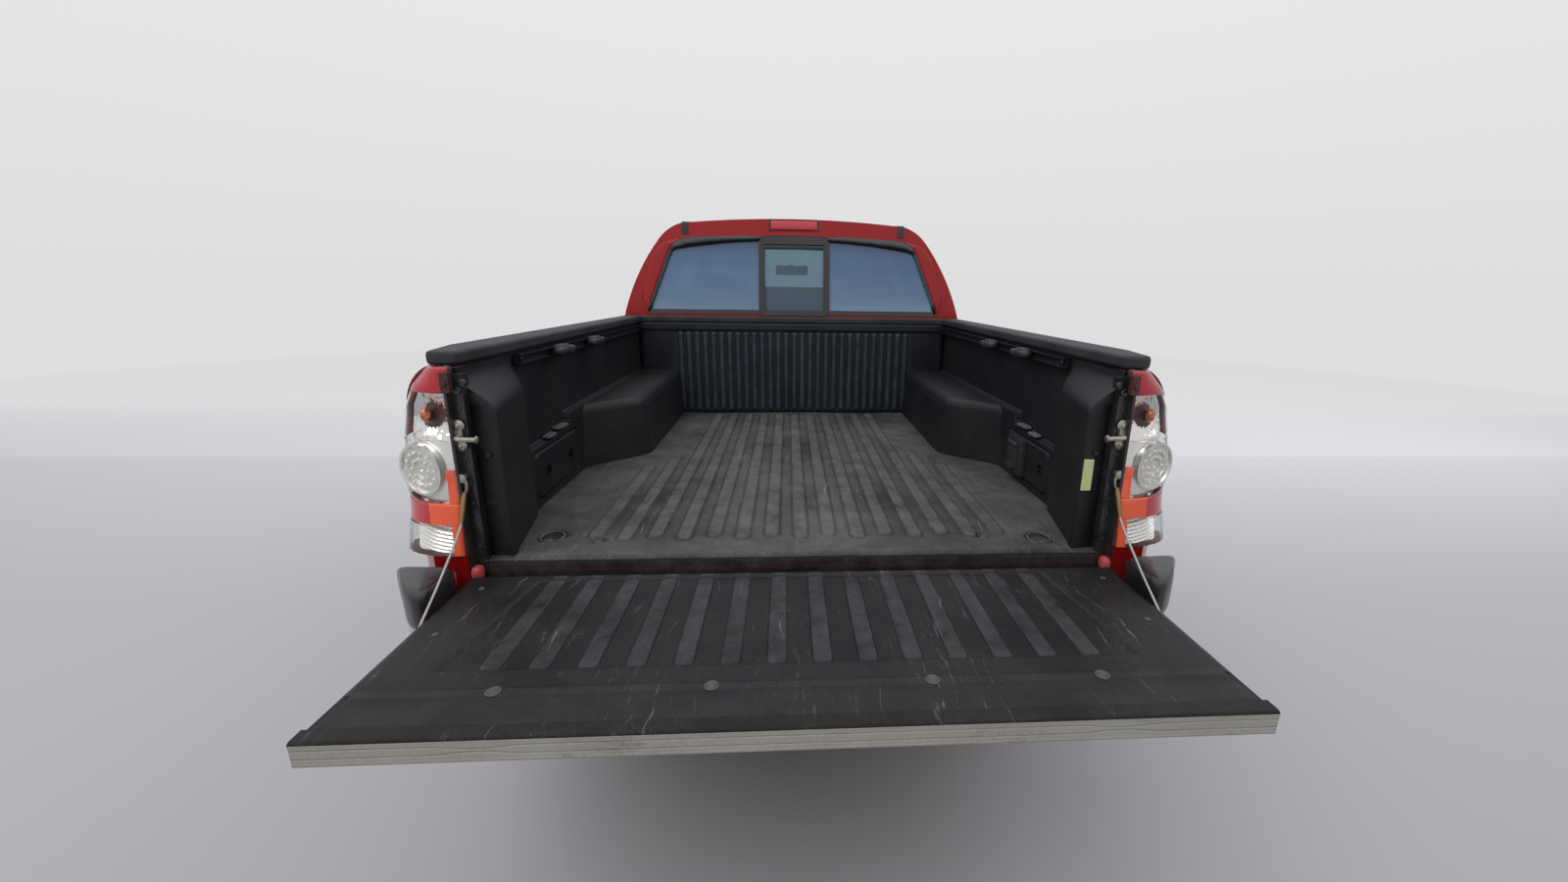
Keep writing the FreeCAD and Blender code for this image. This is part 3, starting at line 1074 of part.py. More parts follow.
def tub_fittings(body, outer):
    """Bench along the wall, the post at its rear end with its head leaning out, and the deck rail."""
    rear, floor = "bed_rear_y", "bed_floor_z"
    inner, wall = "bed_half - bench_depth", f"{outer} - 2"
    bench = [
        (f"{rear} + bench_start_y", floor), (f"{rear} + well_start_y + well_wall", floor),
        (f"{rear} + well_start_y + well_wall", f"{floor} + bench_high"),
        (f"{rear} + bench_step_y", f"{floor} + bench_high"),
        (f"{rear} + bench_step_y", f"{floor} + bench_low"),
        (f"{rear} + bench_start_y", f"{floor} + bench_low"),
    ]
    bench = pad(body, sketch(body, "tub_bench", "YZ_Plane", bench, inner), "bench_depth + bed_skin - 2")
    slot = "bed_half - post_slot"
    plan = [
        (wall, f"{rear} + post_front"), (wall, f"{rear} + post_slot_deep"),
        (slot, f"{rear} + post_slot_deep"),
        (slot, f"{rear} + post_rear + 4"), ("bed_half - post_width + 8", f"{rear} + post_rear"),
        ("bed_half - post_width", f"{rear} + post_rear + 8"),
        ("bed_half - post_toe", f"{rear} + post_front - 32"),
        ("bed_half - post_toe / 3", f"{rear} + post_front"),
    ]
    post = pad(body, sketch(body, "tub_post", "XY_Plane", plan, f"{floor} - 1"), "post_top + 1")
    head = [
        ("bed_half - post_width - 1", f"{floor} + post_lean_z"),
        ("bed_half - post_shoulder", f"{floor} + post_top + 1"),
        ("bed_half - post_width - 1", f"{floor} + post_top + 1"),
    ]
    head = sketch(body, "tub_post_head", "XZ_Plane", head, f"-({rear} + post_rear - 1)")
    lean = pocket(body, head, "post_front - post_rear + 2")
    rail = [
        ("bed_half - deck_rail_depth", f"{floor} + deck_rail_z"), ("bed_half + 1", f"{floor} + deck_rail_z"),
        ("bed_half + 1", f"{floor} + deck_rail_z + deck_rail_high"),
        ("bed_half - deck_rail_depth", f"{floor} + deck_rail_z + deck_rail_high"),
    ]
    rail = sketch(body, "tub_rail", "XZ_Plane", rail, f"-({rear} + deck_rail_rear)")
    rail = pad(body, rail, "deck_rail_front - deck_rail_rear", back=True)
    return [bench, post, lean, rail]


def make_rail_caps():
    """Textured caps on both walls and the bulkhead, one loop open at the tailgate."""
    low, high = rail_z + S.seat_gap, S.bed_floor_z + S.rail_cap_top
    rear, front = S.bed_corner_y + S.tail_lean + 2, bed_front_y
    inner = S.bed_half - 18
    loop = slab("top", low, high, (inner, rear), (S.cap_outer - 28, rear), (S.cap_outer, rear + 130),
                (S.cap_outer - 4, front), (-S.cap_outer + 4, front), (-S.cap_outer, rear + 130),
                (-S.cap_outer + 28, rear), (-inner, rear), (-inner, front - S.bulkhead_depth),
                (inner, front - S.bulkhead_depth))
    return free_part("bed_rail_caps", loop)


def make_fender_flares():
    """Painted over-fenders: a band round each arch, standing proud of the side."""
    solids = []
    for y in (front_axle_y, S.rear_axle_y):
        band = drum(S.nose_half - S.flare_depth, S.flare_half, y, axle_z, S.arch_radius + S.flare_band)
        band = band.cut(drum(0, 1000, y, axle_z, S.arch_radius))
        band = band.cut(block(0, 1000, y - 600, y + 600, 0, S.sill_z + 40))
        slope = slab("front", y - 600, y + 600, (S.nose_half - S.flare_depth, 0), (S.flare_half, 0),
                     (S.flare_half, axle_z + S.arch_radius + 4),
                     (S.nose_half - 20, axle_z + S.arch_radius + 70),
                     (S.nose_half - S.flare_depth, axle_z + S.arch_radius + 70))
        piece = band.common(slope).cut(lower_body(y - 700, y + 700))
        big = max(piece.Solids, key=lambda solid: solid.Volume)
        solids += [big, other_side(big)]
    free_part("fender_flares", Part.makeCompound(solids))


def make_rear_bumper():
    body = new_body("rear_bumper")
    y0, y1 = "rear_bumper_y", "rear_bumper_y + rear_bumper_depth"
    step = [
        (f"{y0} + 12", "rear_bumper_low"), (y1, "rear_bumper_low"), (y1, "step_z"), (y0, "step_z"),
        (y0, "rear_bumper_low + 40"),
    ]
    pad(body, sketch(body, "bumper_step", "YZ_Plane", step), "(corner_inner + 20) * 2", middle=True)
    corner = [
        ("corner_inner", "corner_low"), ("corner_outer - 60", "corner_low - 20"),
        ("corner_outer - 10", "corner_low + 20"), ("corner_outer", "corner_top - 60"),
        ("corner_outer - 66", "corner_top"), ("corner_inner", "corner_top"),
    ]
    horn = pad(body, sketch(body, "bumper_corner", "XZ_Plane", corner, "-(rear_bumper_y + 10)"),
               "rear_bumper_depth - 10", back=True)
    mirrored(body, [horn])
    bolts = [
        ("-plate_bolt_spacing / 2", "step_z - 60", "plate_bolt_r"),
        ("plate_bolt_spacing / 2", "step_z - 60", "plate_bolt_r"),
    ]
    pocket(body, round_sketch(body, "plate_bolts", "XZ_Plane", bolts, f"-({y0} - 1)"), "plate_bolt_deep + 1")
    hole = [("0", f"{y0} + 45", "tow_hole_r")]
    pocket(body, round_sketch(body, "tow_hole", "XY_Plane", hole, "step_z + 1"),
           "step_z - rear_bumper_low + 2")


def make_tailgate():
    """Shell, ribbed liner and far-edge cap, modelled let down."""
    body = new_body("tailgate_shell")
    near, far = "hinge_y - gate_start", "hinge_y - gate_reach + gate_cap"
    top, low = "hinge_z + gate_up - gate_liner", "hinge_z - gate_down"
    outline = [(near, low), (near, top), (far, top), (far, "hinge_z - gate_edge_down"),
               ("hinge_y - gate_reach * 0.7", low)]
    pad(body, sketch(body, "gate_outline", "YZ_Plane", outline), "gate_half * 2", middle=True)
    stud = [("hinge_y - stud_reach", "hinge_z + 4", "stud_radius")]
    pad(body, round_sketch(body, "gate_stud", "YZ_Plane", stud), "(gate_half + 6) * 2", middle=True)
    pin = [("hinge_y", "hinge_z", "gate_pin")]
    pin = round_sketch(body, "gate_pin", "YZ_Plane", pin)
    pad(body, pin, "(tail_lamp_inner - seat_gap) * 2", middle=True)
    body = new_body("tailgate_liner")
    outline = [("-gate_half", near), ("gate_half", near), ("gate_half", far), ("-gate_half", far)]
    pad(body, sketch(body, "liner_plate", "XY_Plane", outline, top), "gate_liner")
    x = "-gate_rib_pitch * (gate_rib_count - 1) / 2"
    y = "hinge_y - gate_start - gate_rib_start"
    groove = [(f"{x} - gate_rib_width / 2", y), (f"{x} + gate_rib_width / 2", y),
              (f"{x} + gate_rib_width / 2", f"{y} - gate_rib_run"),
              (f"{x} - gate_rib_width / 2", f"{y} - gate_rib_run")]
    groove = sketch(body, "liner_groove", "XY_Plane", groove, "hinge_z + gate_up")
    cut = pocket(body, groove, "gate_rib_depth")
    rows(body, cut, "X_Axis", "gate_rib_pitch", "gate_rib_count")
    body = new_body("tailgate_cap")
    lip = [(far, "hinge_z - gate_edge_down"), (far, "hinge_z + gate_up"),
           ("hinge_y - gate_reach", "hinge_z + gate_up"),
           ("hinge_y - gate_reach - 2", "hinge_z - gate_edge_down + 4")]
    pad(body, sketch(body, "cap_lip", "YZ_Plane", lip), "gate_half * 2 + 4", middle=True)


def make_strikers_and_cables():
    """Striker posts on the pillars, and the two stay cables from pillar to tailgate edge."""
    outer = S.bed_half - S.seat_gap
    inner = outer - S.eye_thick
    rear = S.bed_rear_y + 8
    plate = block(inner, outer, rear, rear + 60, S.striker_z - 40, S.striker_z + 40)
    eye = block(inner, outer, rear, rear + 46, S.eye_z - 26, S.eye_z + 26)
    free_part("tailgate_strikers", both(Part.makeCompound([plate, eye])))
    x = inner - S.cable_radius - S.seat_gap
    top = Vector(x, rear + 6, S.eye_z - 26)
    low = Vector(x, S.hinge_y - S.stud_reach, S.hinge_z + 4)
    run = (low - top).normalize()
    start = top + run * (S.cable_radius + S.seat_gap)
    end = low - run * (S.stud_radius + S.seat_gap)
    free_part("stay_cables", both(rod(start, end, S.cable_radius)))


def make_mirrors():
    """Door mirrors: a rounded housing on a foot that sits on the front door's shoulder."""
    y, z = S.mirror_y, S.mirror_z
    x0, x1 = S.mirror_inner, S.mirror_outer
    middle = (x0 + x1) / 2

    def outline(at, share):
        def spot(across, up):
            return middle + (across - middle) * share, z + up * share
        return wire("front", at, spot(x0, -66), spot(x1 - 30, -74), (spot(x1, -60), spot(x1 + 4, 0)),
                    (spot(x1 - 10, 62), spot(x1 - 40, 70)), spot(x0 + 20, 62),
                    (spot(x0 - 6, 40), spot(x0 - 8, 0)))

    housing = Part.makeLoft([outline(y - 46, 1), outline(y + 18, 1), outline(y + 38, 0.84)], True, True)
    foot = slab("front", y - 26, y + 26, (S.belt_half, S.belt_z - 40), (S.glass_low_half + 30, S.belt_z - 12),
                (x0 + 30, z - 58), (x0 + 30, z - 20), (S.belt_half, S.belt_z + 20))
    door = parts["door_front_right"].Shape
    glass = parts["glass_front_right"].Shape
    mirror = housing.fuse(foot).cut([door, glass, block(0, S.belt_half + 14, 0, 2000, 0, 2000)])
    mirror = max(mirror.Solids, key=lambda piece: piece.Volume)
    free_part("mirror_right", mirror)
    free_part("mirror_left", other_side(mirror))


make_frame()
make_engine()
make_driveline()
make_tank()
make_exhaust()
make_wheels()
make_spare()
make_rear_axle()
make_rear_springs()
make_knuckle("knuckle_right", "track / 2 - kingpin_inset", 0)
make_knuckle("knuckle_left", "-(track / 2 - kingpin_inset)", 180)
make_front_suspension()
make_cab()
make_cabin()
make_nose()
make_grille()
make_front_bumper()
make_liners()
make_bed_sides()
make_bed_tub()
make_rail_caps()
make_fender_flares()
make_rear_bumper()
make_tailgate()
make_strikers_and_cables()
make_mirrors()

doc.recompute()
faults = [o.Name for o in doc.Objects if {"Invalid", "Error"} & set(o.State)]
for name, part in parts.items():
    shape = part.Shape
    if shape.isNull() or not shape.isValid() or not shape.Solids:
        faults.append(name + " shape")
if faults:
    raise RuntimeError("failed: " + ", ".join(faults))

os.makedirs("parts", exist_ok=True)
for name, part in parts.items():
    part.Shape.exportStep(f"parts/{name}.step")
print(len(parts), "sub-parts written")
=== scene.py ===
import json
import math

import bmesh
import bpy
import numpy as np
from mathutils import Matrix, Vector
from mathutils.bvhtree import BVHTree

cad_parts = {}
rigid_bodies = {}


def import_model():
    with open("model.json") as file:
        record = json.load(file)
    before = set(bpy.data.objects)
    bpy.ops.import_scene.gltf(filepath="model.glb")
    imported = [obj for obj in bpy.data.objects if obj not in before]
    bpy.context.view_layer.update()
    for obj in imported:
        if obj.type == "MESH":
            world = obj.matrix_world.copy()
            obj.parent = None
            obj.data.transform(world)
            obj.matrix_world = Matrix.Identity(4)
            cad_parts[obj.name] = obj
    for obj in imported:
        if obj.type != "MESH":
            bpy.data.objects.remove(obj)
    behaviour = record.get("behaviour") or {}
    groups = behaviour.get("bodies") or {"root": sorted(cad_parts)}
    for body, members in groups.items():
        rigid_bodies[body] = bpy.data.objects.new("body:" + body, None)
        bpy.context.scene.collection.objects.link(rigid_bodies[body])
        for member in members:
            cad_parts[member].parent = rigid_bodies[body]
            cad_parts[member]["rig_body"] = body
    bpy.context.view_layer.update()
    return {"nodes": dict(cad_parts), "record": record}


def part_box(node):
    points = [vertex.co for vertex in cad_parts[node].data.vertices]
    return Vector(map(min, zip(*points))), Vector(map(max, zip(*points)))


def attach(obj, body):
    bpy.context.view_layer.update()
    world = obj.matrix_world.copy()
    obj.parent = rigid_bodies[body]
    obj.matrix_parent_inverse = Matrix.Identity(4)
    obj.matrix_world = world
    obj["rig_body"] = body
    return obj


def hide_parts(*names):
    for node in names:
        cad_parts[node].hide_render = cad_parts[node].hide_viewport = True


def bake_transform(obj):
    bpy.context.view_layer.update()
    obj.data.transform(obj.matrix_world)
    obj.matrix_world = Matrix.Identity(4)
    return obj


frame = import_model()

# The photographer stood about a metre behind the open tailgate, at eye height, a little left of the
# middle, with a wide lens turned down and slightly to the right.
eye = Vector((-0.03, -3.488, 1.431))
yaw, pitch, roll = (math.radians(a) for a in (3.64, 14.94, 0.83))
focal, picture_width, picture_centre, picture_middle, principal = 583, 1600, 800, 450, 840
level_right = Vector((math.cos(yaw), -math.sin(yaw), 0))
ahead = Vector((math.sin(yaw) * math.cos(pitch), math.cos(yaw) * math.cos(pitch), -math.sin(pitch)))
above = level_right.cross(ahead)
right = level_right * math.cos(roll) + above * math.sin(roll)
upward = above * math.cos(roll) - level_right * math.sin(roll)
optics = bpy.data.cameras.new("photo_camera")
optics.sensor_width = 36
optics.lens = focal / picture_width * optics.sensor_width
optics.shift_x = (picture_centre - principal) / picture_width
optics.clip_start = 0.02
camera = bpy.data.objects.new("photo_camera", optics)
camera.matrix_world = Matrix.Translation(eye) @ Matrix((right, upward, -ahead)).transposed().to_4x4()
bpy.context.scene.collection.objects.link(camera)
bpy.context.scene.camera = camera
bpy.context.scene.view_settings.view_transform = "Standard"


# The studio: a wide pale floor, painted with shade that darkens it towards the camera, lost in an even glow far off,
# under an even pale sky, with two big soft lamps: one above the photographer and one high on the right.
def add(tree, kind, settings=None, **inputs):
    """A new node; each input is a number, a colour or another node's output, by name or as i and its place."""
    made = tree.nodes.new("ShaderNode" + kind)
    for key, value in (settings or {}).items():
        setattr(made, key, value)
    for key, value in inputs.items():
        socket = made.inputs[int(key[1:])] if key[1:].isdigit() else made.inputs[key.replace("_", " ")]
        if isinstance(value, bpy.types.NodeSocket):
            tree.links.new(value, socket)
        else:
            socket.default_value = value
    return made


def between(tree, value, low, high, **to):
    """The share of the way from low to high, 0 to 1 or as to says."""
    return add(tree, "MapRange", Value=value, From_Min=low, From_Max=high, **to).outputs["Result"]


def sums(tree, operation, one, other, clamp=False):
    """A sum, product or other result of two numbers."""
    return add(tree, "Math", {"operation": operation, "use_clamp": clamp}, i0=one, i1=other).outputs["Value"]


def blended(tree, share, one, other):
    """A colour between two."""
    return add(tree, "Mix", {"data_type": "RGBA"}, Factor=share, i6=one, i7=other).outputs[2]


def own_place(tree):
    """Where a point lies on its piece, in metres."""
    return add(tree, "TexCoord").outputs["Object"]


def ramp(tree, source, *stops):
    """A colour ramp through (place, colour) stops."""
    made = add(tree, "ValToRGB", Fac=source)
    while len(made.color_ramp.elements) < len(stops):
        made.color_ramp.elements.new(0.5)
    for element, (place, colour) in zip(made.color_ramp.elements, stops):
        element.position = place
        element.color = (*colour, 1)
    return made.outputs["Color"]


def on_floor(across, down):
    """Where the sight line through a place in the 1600 x 900 picture meets the floor."""
    sight = ahead * focal + right * (across - principal) + upward * (picture_middle - down)
    return eye - sight * (eye.z / sight.z)


# The picture's floor turns to a paler wall at this height; the floor changes tone along the same line.
wall_down = 465
wall_left, wall_right = on_floor(0, wall_down), on_floor(picture_width, wall_down)
wall_turn = -math.atan2(wall_right.y - wall_left.y, wall_right.x - wall_left.x)
wall_line = wall_left.y * math.cos(wall_turn) + wall_left.x * math.sin(wall_turn)
floor_mesh = bpy.data.meshes.new("studio_floor")
reach = 60
floor_mesh.from_pydata([(-reach, -reach, 0), (reach, -reach, 0), (reach, reach, 0), (-reach, reach, 0)], [],
                       [(0, 1, 2, 3)])
studio_floor = bpy.data.objects.new("studio_floor", floor_mesh)
bpy.context.scene.collection.objects.link(studio_floor)
floor_paint = bpy.data.materials.new("pale_floor")
floor_paint.use_nodes = True
tree = floor_paint.node_tree
place = own_place(tree)
turned_place = add(tree, "VectorRotate", {"rotation_type": "Z_AXIS"}, Vector=place,
                   Angle=wall_turn).outputs["Vector"]
along = add(tree, "SeparateXYZ", Vector=turned_place).outputs["Y"]
# Painted shade: the floor's colour darkens steadily from the wall line towards the camera.
tone = ramp(tree, between(tree, along, -4.0, wall_line), (0.0, (0.28, 0.28, 0.29)), (0.55, (0.37, 0.37, 0.38)),
            (0.985, (0.52, 0.52, 0.53)), (1.0, (0.57, 0.57, 0.58)))
shader = tree.nodes["Principled BSDF"]
tree.links.new(tone, shader.inputs["Base Color"])
shader.inputs["Roughness"].default_value = 0.75
shader.inputs["Specular IOR Level"].default_value = 0.15
# Past the wall line, and far off on every side, the floor glows as evenly as the air above it.
from_middle = add(tree, "VectorMath", {"operation": "LENGTH"}, i0=place).outputs["Value"]
glow_run, fade_start, fade_end = 2.2, 7.5, 13.0
faded = sums(tree, "MAXIMUM", between(tree, along, wall_line, wall_line + glow_run, To_Max=0.85),
             between(tree, from_middle, fade_start, fade_end))
even = add(tree, "Emission", Color=(0.73, 0.73, 0.74, 1), Strength=1.0)
either = add(tree, "MixShader", Fac=faded, i1=shader.outputs["BSDF"], i2=even.outputs["Emission"])
tree.links.new(either.outputs["Shader"], tree.nodes["Material Output"].inputs["Surface"])
studio_floor.data.materials.append(floor_paint)

world = bpy.data.worlds.new("studio_air")
bpy.context.scene.world = world
world.use_nodes = True
tree = world.node_tree
tree.nodes.clear()
sight = add(tree, "TexCoord").outputs["Generated"]
height = between(tree, add(tree, "SeparateXYZ", Vector=sight).outputs["Z"], -0.05, 0.8)
sky = ramp(tree, height, (0.0, (0.2, 0.2, 0.205)), (0.12, (0.34, 0.35, 0.365)), (0.35, (0.62, 0.635, 0.66)),
           (1.0, (1.0, 1.02, 1.06)))
path = add(tree, "LightPath").outputs
seen = sums(tree, "MAXIMUM", path["Is Camera Ray"], path["Is Transmission Ray"])
back = ramp(tree, height, (0.0, (0.72, 0.72, 0.73)), (0.5, (0.81, 0.81, 0.82)))
glow = add(tree, "Background", Color=blended(tree, seen, sky, back), Strength=1.0)
add(tree, "OutputWorld", Surface=glow.outputs["Background"])
for name, spot, size, power, aim in (("lamp_above", (-2.5, -4.5, 6.0), 5.0, 260, (0, -1.2, 0.8)),
                                     ("lamp_side", (6.5, 1.5, 6.0), 6.0, 185, (0, 0.5, 0.8))):
    light = bpy.data.lights.new(name, "AREA")
    light.size = size
    light.energy = power
    lamp = bpy.data.objects.new(name, light)
    turn = (Vector(aim) - Vector(spot)).to_track_quat("-Z", "Y").to_matrix().to_4x4()
    lamp.matrix_world = Matrix.Translation(spot) @ turn
    lamp.visible_glossy = False
    bpy.context.scene.collection.objects.link(lamp)


# Chassis and running gear: black painted rails, cast axle parts and a plain steel exhaust, all with a
# film of road dust. These CAD solids are right as they are and get their finish here.
def group(name, ins, outs):
    """An empty node group with named inputs (kind, name, value) and outputs; returns it with its two ends."""
    made = bpy.data.node_groups.new(name, "ShaderNodeTree")
    for kind, label, value in ins:
        made.interface.new_socket(label, in_out="INPUT", socket_type="NodeSocket" + kind).default_value = value
    for kind, label in outs:
        made.interface.new_socket(label, in_out="OUTPUT", socket_type="NodeSocket" + kind)
    return made, made.nodes.new("NodeGroupInput").outputs, made.nodes.new("NodeGroupOutput").inputs


# dust_film: clouds of dust that dull the colour, heavier in patches.
dust_film, given, put = group("dust_film", [
    ("Color", "Colour", (0.1, 0.1, 0.1, 1)), ("Float", "Roughness", 0.5), ("Color", "Dust", (0.3, 0.28, 0.25, 1)),
    ("Float", "Amount", 0.3), ("Float", "Scale", 4.0)], [("Color", "Colour"), ("Float", "Roughness")])
place = own_place(dust_film)
cloud = add(dust_film, "TexNoise", Vector=place, Scale=given["Scale"], Detail=8.0, Roughness=0.65).outputs["Fac"]
speck = add(dust_film, "TexNoise", Vector=place, Scale=260.0, Detail=3.0).outputs["Fac"]
mask = sums(dust_film, "MULTIPLY", between(dust_film, cloud, 0.35, 0.72), between(dust_film, speck, 0.3, 0.75))
mask = sums(dust_film, "MULTIPLY", mask, given["Amount"], True)
duller = add(dust_film, "Mix", {"data_type": "FLOAT"}, Factor=mask, i2=given["Roughness"], i3=0.85)
dust_film.links.new(blended(dust_film, mask, given["Colour"], given["Dust"]), put["Colour"])
dust_film.links.new(duller.outputs[0], put["Roughness"])

# grain: a moulded pebble grain as a height.
grain, given, put = group("grain", [("Float", "Scale", 500.0)], [("Float", "Height")])
place = own_place(grain)
cells = add(grain, "TexVoronoi", {"feature": "SMOOTH_F1"}, Vector=place, Scale=given["Scale"]).outputs["Distance"]
fine = add(grain, "TexNoise", Vector=place, Scale=given["Scale"], Detail=3.0).outputs["Fac"]
grain.links.new(sums(grain, "ADD", cells, fine), put["Height"])

# scuffs: fine pale scratches, stretched along one way and broken up in patches.
scuffs, given, put = group("scuffs", [("Vector", "Stretch", (60.0, 3.0, 60.0)), ("Float", "Amount", 0.4)],
                           [("Float", "Mask")])
place = own_place(scuffs)
bent = add(scuffs, "TexNoise", Vector=place, Scale=5.0, Detail=2.0).outputs["Color"]
bent = add(scuffs, "VectorMath", {"operation": "SCALE"}, i0=bent, Scale=0.08).outputs["Vector"]
bowed = add(scuffs, "VectorMath", {"operation": "ADD"}, i0=place, i1=bent).outputs["Vector"]
long_way = add(scuffs, "VectorMath", {"operation": "MULTIPLY"}, i0=bowed, i1=given["Stretch"]).outputs["Vector"]
streak = add(scuffs, "TexNoise", Vector=long_way, Scale=1.0, Detail=4.0, Roughness=0.7).outputs["Fac"]
blotch = add(scuffs, "TexNoise", Vector=place, Scale=6.0, Detail=5.0).outputs["Fac"]
scratch = sums(scuffs, "MULTIPLY", between(scuffs, streak, 0.6, 0.72), between(scuffs, blotch, 0.42, 0.62))
scuffs.links.new(sums(scuffs, "MULTIPLY", scratch, given["Amount"], True), put["Mask"])


def finish(name, colour, rough, metal=0.0, worn=None, dust=None, scuff=None, pebble=None, splash=None,
           **plain):
    """A material: base colour and roughness, then the colour that the piece's worn attribute brings out
    (wear on raised and rubbed parts; on the bed floor the attribute also falls to nothing in the grooves and cups,
    which keep the dark base colour as painted shade), dust (colour, amount, scale), scuffs (colour, amount,
    stretch) and moulded grain (scale, depth in metres). splash (low, high, amount) makes the dust heavier below
    a height. Other named inputs are set on the shader itself."""
    made = bpy.data.materials.new(name)
    made.use_nodes = True
    tree = made.node_tree
    shader = tree.nodes["Principled BSDF"]
    shader.inputs["Base Color"].default_value = (*colour, 1)
    shader.inputs["Roughness"].default_value = rough
    shader.inputs["Metallic"].default_value = metal
    for key, value in plain.items():
        shader.inputs[key.replace("_", " ")].default_value = value
    shade = (*colour, 1)
    if worn:
        rubbed_and_shaded = add(tree, "Attribute", {"attribute_name": "worn"}).outputs["Fac"]
        uneven = add(tree, "TexNoise", Vector=own_place(tree), Scale=14.0, Detail=8.0, Roughness=0.7).outputs["Fac"]
        share = sums(tree, "MULTIPLY", rubbed_and_shaded, between(tree, uneven, 0.3, 0.62))
        shade = blended(tree, share, shade, (*worn, 1))
    if dust:
        amount = dust[1]
        if splash:
            level = add(tree, "SeparateXYZ", Vector=own_place(tree)).outputs["Z"]
            amount = add(tree, "MapRange", {"interpolation_type": "SMOOTHSTEP"}, Value=level, From_Min=splash[0],
                         From_Max=splash[1], To_Min=splash[2], To_Max=amount).outputs["Result"]
        film = add(tree, "Group", {"node_tree": dust_film}, Colour=shade, Roughness=rough, Dust=(*dust[0], 1),
                   Amount=amount, Scale=dust[2])
        shade = film.outputs["Colour"]
        tree.links.new(film.outputs["Roughness"], shader.inputs["Roughness"])
    if scuff:
        mask = add(tree, "Group", {"node_tree": scuffs}, Amount=scuff[1], Stretch=scuff[2]).outputs["Mask"]
        shade = blended(tree, mask, shade, (*scuff[0], 1))
    if isinstance(shade, bpy.types.NodeSocket):
        tree.links.new(shade, shader.inputs["Base Color"])
    if pebble:
        pebbles = add(tree, "Group", {"node_tree": grain}, Scale=pebble[0]).outputs["Height"]
        bump = add(tree, "Bump", Height=pebbles, Strength=0.6, Distance=pebble[1])
        tree.links.new(bump.outputs["Normal"], shader.inputs["Normal"])
    return made


road_dust = (0.27, 0.25, 0.22)
chassis_black = finish("chassis_black", (0.018, 0.018, 0.02), 0.5, dust=(road_dust, 0.7, 5.0),
                       pebble=(240.0, 0.0006))
cast_metal = finish("cast_metal", (0.16, 0.16, 0.165), 0.55, 0.8, dust=(road_dust, 0.8, 6.0), pebble=(300.0, 0.0009))
exhaust_steel = finish("exhaust_steel", (0.3, 0.27, 0.24), 0.42, 0.9, dust=((0.2, 0.13, 0.08), 0.8, 9.0))
tank_plastic = finish("tank_plastic", (0.02, 0.02, 0.022), 0.55, dust=(road_dust, 0.6, 5.0), pebble=(420.0, 0.0004))


def placed(name, mesh, materials, crease, ease, rounds, wall=0.0):
    """The mesh as an object: smooth up to the crease angle, given a wall, its sharp edges bevelled by ease."""
    for material in materials:
        mesh.materials.append(material)
    mesh.shade_smooth()
    mesh.set_sharp_from_angle(angle=math.radians(crease))
    made = bpy.data.objects.new(name, mesh)
    bpy.context.scene.collection.objects.link(made)
    if wall:
        made.modifiers.new("wall", "SOLIDIFY").thickness = wall
    if ease:
        bevel = made.modifiers.new("eased", "BEVEL")
        bevel.width = ease
        bevel.segments = rounds
        bevel.limit_method = "ANGLE"
        bevel.angle_limit = math.radians(crease)
        bevel.harden_normals = True
    return made


def dressed(nodes, materials, ease=0.0, crease=32, pick=None, cuts=(), warp=None):
    """A copy of each CAD node's skin: doubles merged, flat runs joined, smooth up to the crease angle, and
    its edges eased by the bevel's width. cuts are (axis, place) planes at which faces are split, warp moves
    the corners, an array, and pick gives a face's material number. The copy stands for the node and rides
    on the node's body."""
    for name in nodes.split():
        source = frame["nodes"][name]
        mesh = source.data.copy()
        work = bmesh.new()
        work.from_mesh(mesh)
        bmesh.ops.remove_doubles(work, verts=work.verts, dist=2e-5)
        bmesh.ops.dissolve_limit(work, angle_limit=math.radians(0.6), verts=work.verts, edges=work.edges)
        for axis, place in cuts:
            across_cut = [float(i == axis) for i in range(3)]
            bmesh.ops.bisect_plane(work, geom=work.verts[:] + work.edges[:] + work.faces[:],
                                   plane_co=[place * i for i in across_cut], plane_no=across_cut)
        if warp:
            for corner in work.verts:
                corner.co = warp(np.array(corner.co)[None])[0]
        work.to_mesh(mesh)
        work.free()
        mesh.materials.clear()
        mesh.polygons.foreach_set("material_index", [pick(face) if pick else 0 for face in mesh.polygons])
        skin = placed(name + "_skin", mesh, materials, crease, ease, 2)
        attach(skin, source["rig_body"])
        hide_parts(name)


dressed("frame rear_springs front_suspension", [chassis_black], 0.003)
dressed("rear_axle driveline knuckle_left knuckle_right engine", [cast_metal], 0.002)
dressed("exhaust", [exhaust_steel])
dressed("fuel_tank wheel_liners", [tank_plastic])

# The load bed's liner is one moulding of black composite: ribbed floor and front wall, plain side walls
# with a moulded bench, and a skin round each wheel well. It lies on the steel tub and is bolted to it.
def grid(points):
    """A surface sampled in rows and columns: its corners as a list, and a quad between each four of them."""
    rows, columns = points.shape[:2]
    index = np.arange(rows * columns).reshape(rows, columns)
    quads = np.stack([index[:-1, :-1], index[1:, :-1], index[1:, 1:], index[:-1, 1:]], axis=-1)
    return points.reshape(-1, 3), quads.reshape(-1, 4).tolist()


def sheet(x, y, z):
    """A surface from its corners' places along each axis."""
    return grid(np.stack([x, y, z], axis=-1))


def rise(value, low, high):
    """0 below low, 1 above high and 3t^2 - 2t^3 between, t being the share of the way from low to high."""
    share = np.clip((value - low) / (high - low), 0, 1)
    return share * share * (3 - 2 * share)


def stations(*runs):
    """Places along a line: each run is (start, end, count), ends shared, doubles left out."""
    return np.unique(np.round(np.concatenate([np.linspace(*run) for run in runs]), 6))


def both_ways(low, high, count):
    """Places from low to high, and the same on the other side of the middle."""
    run = np.linspace(low, high, count)
    return np.concatenate([run, -run])


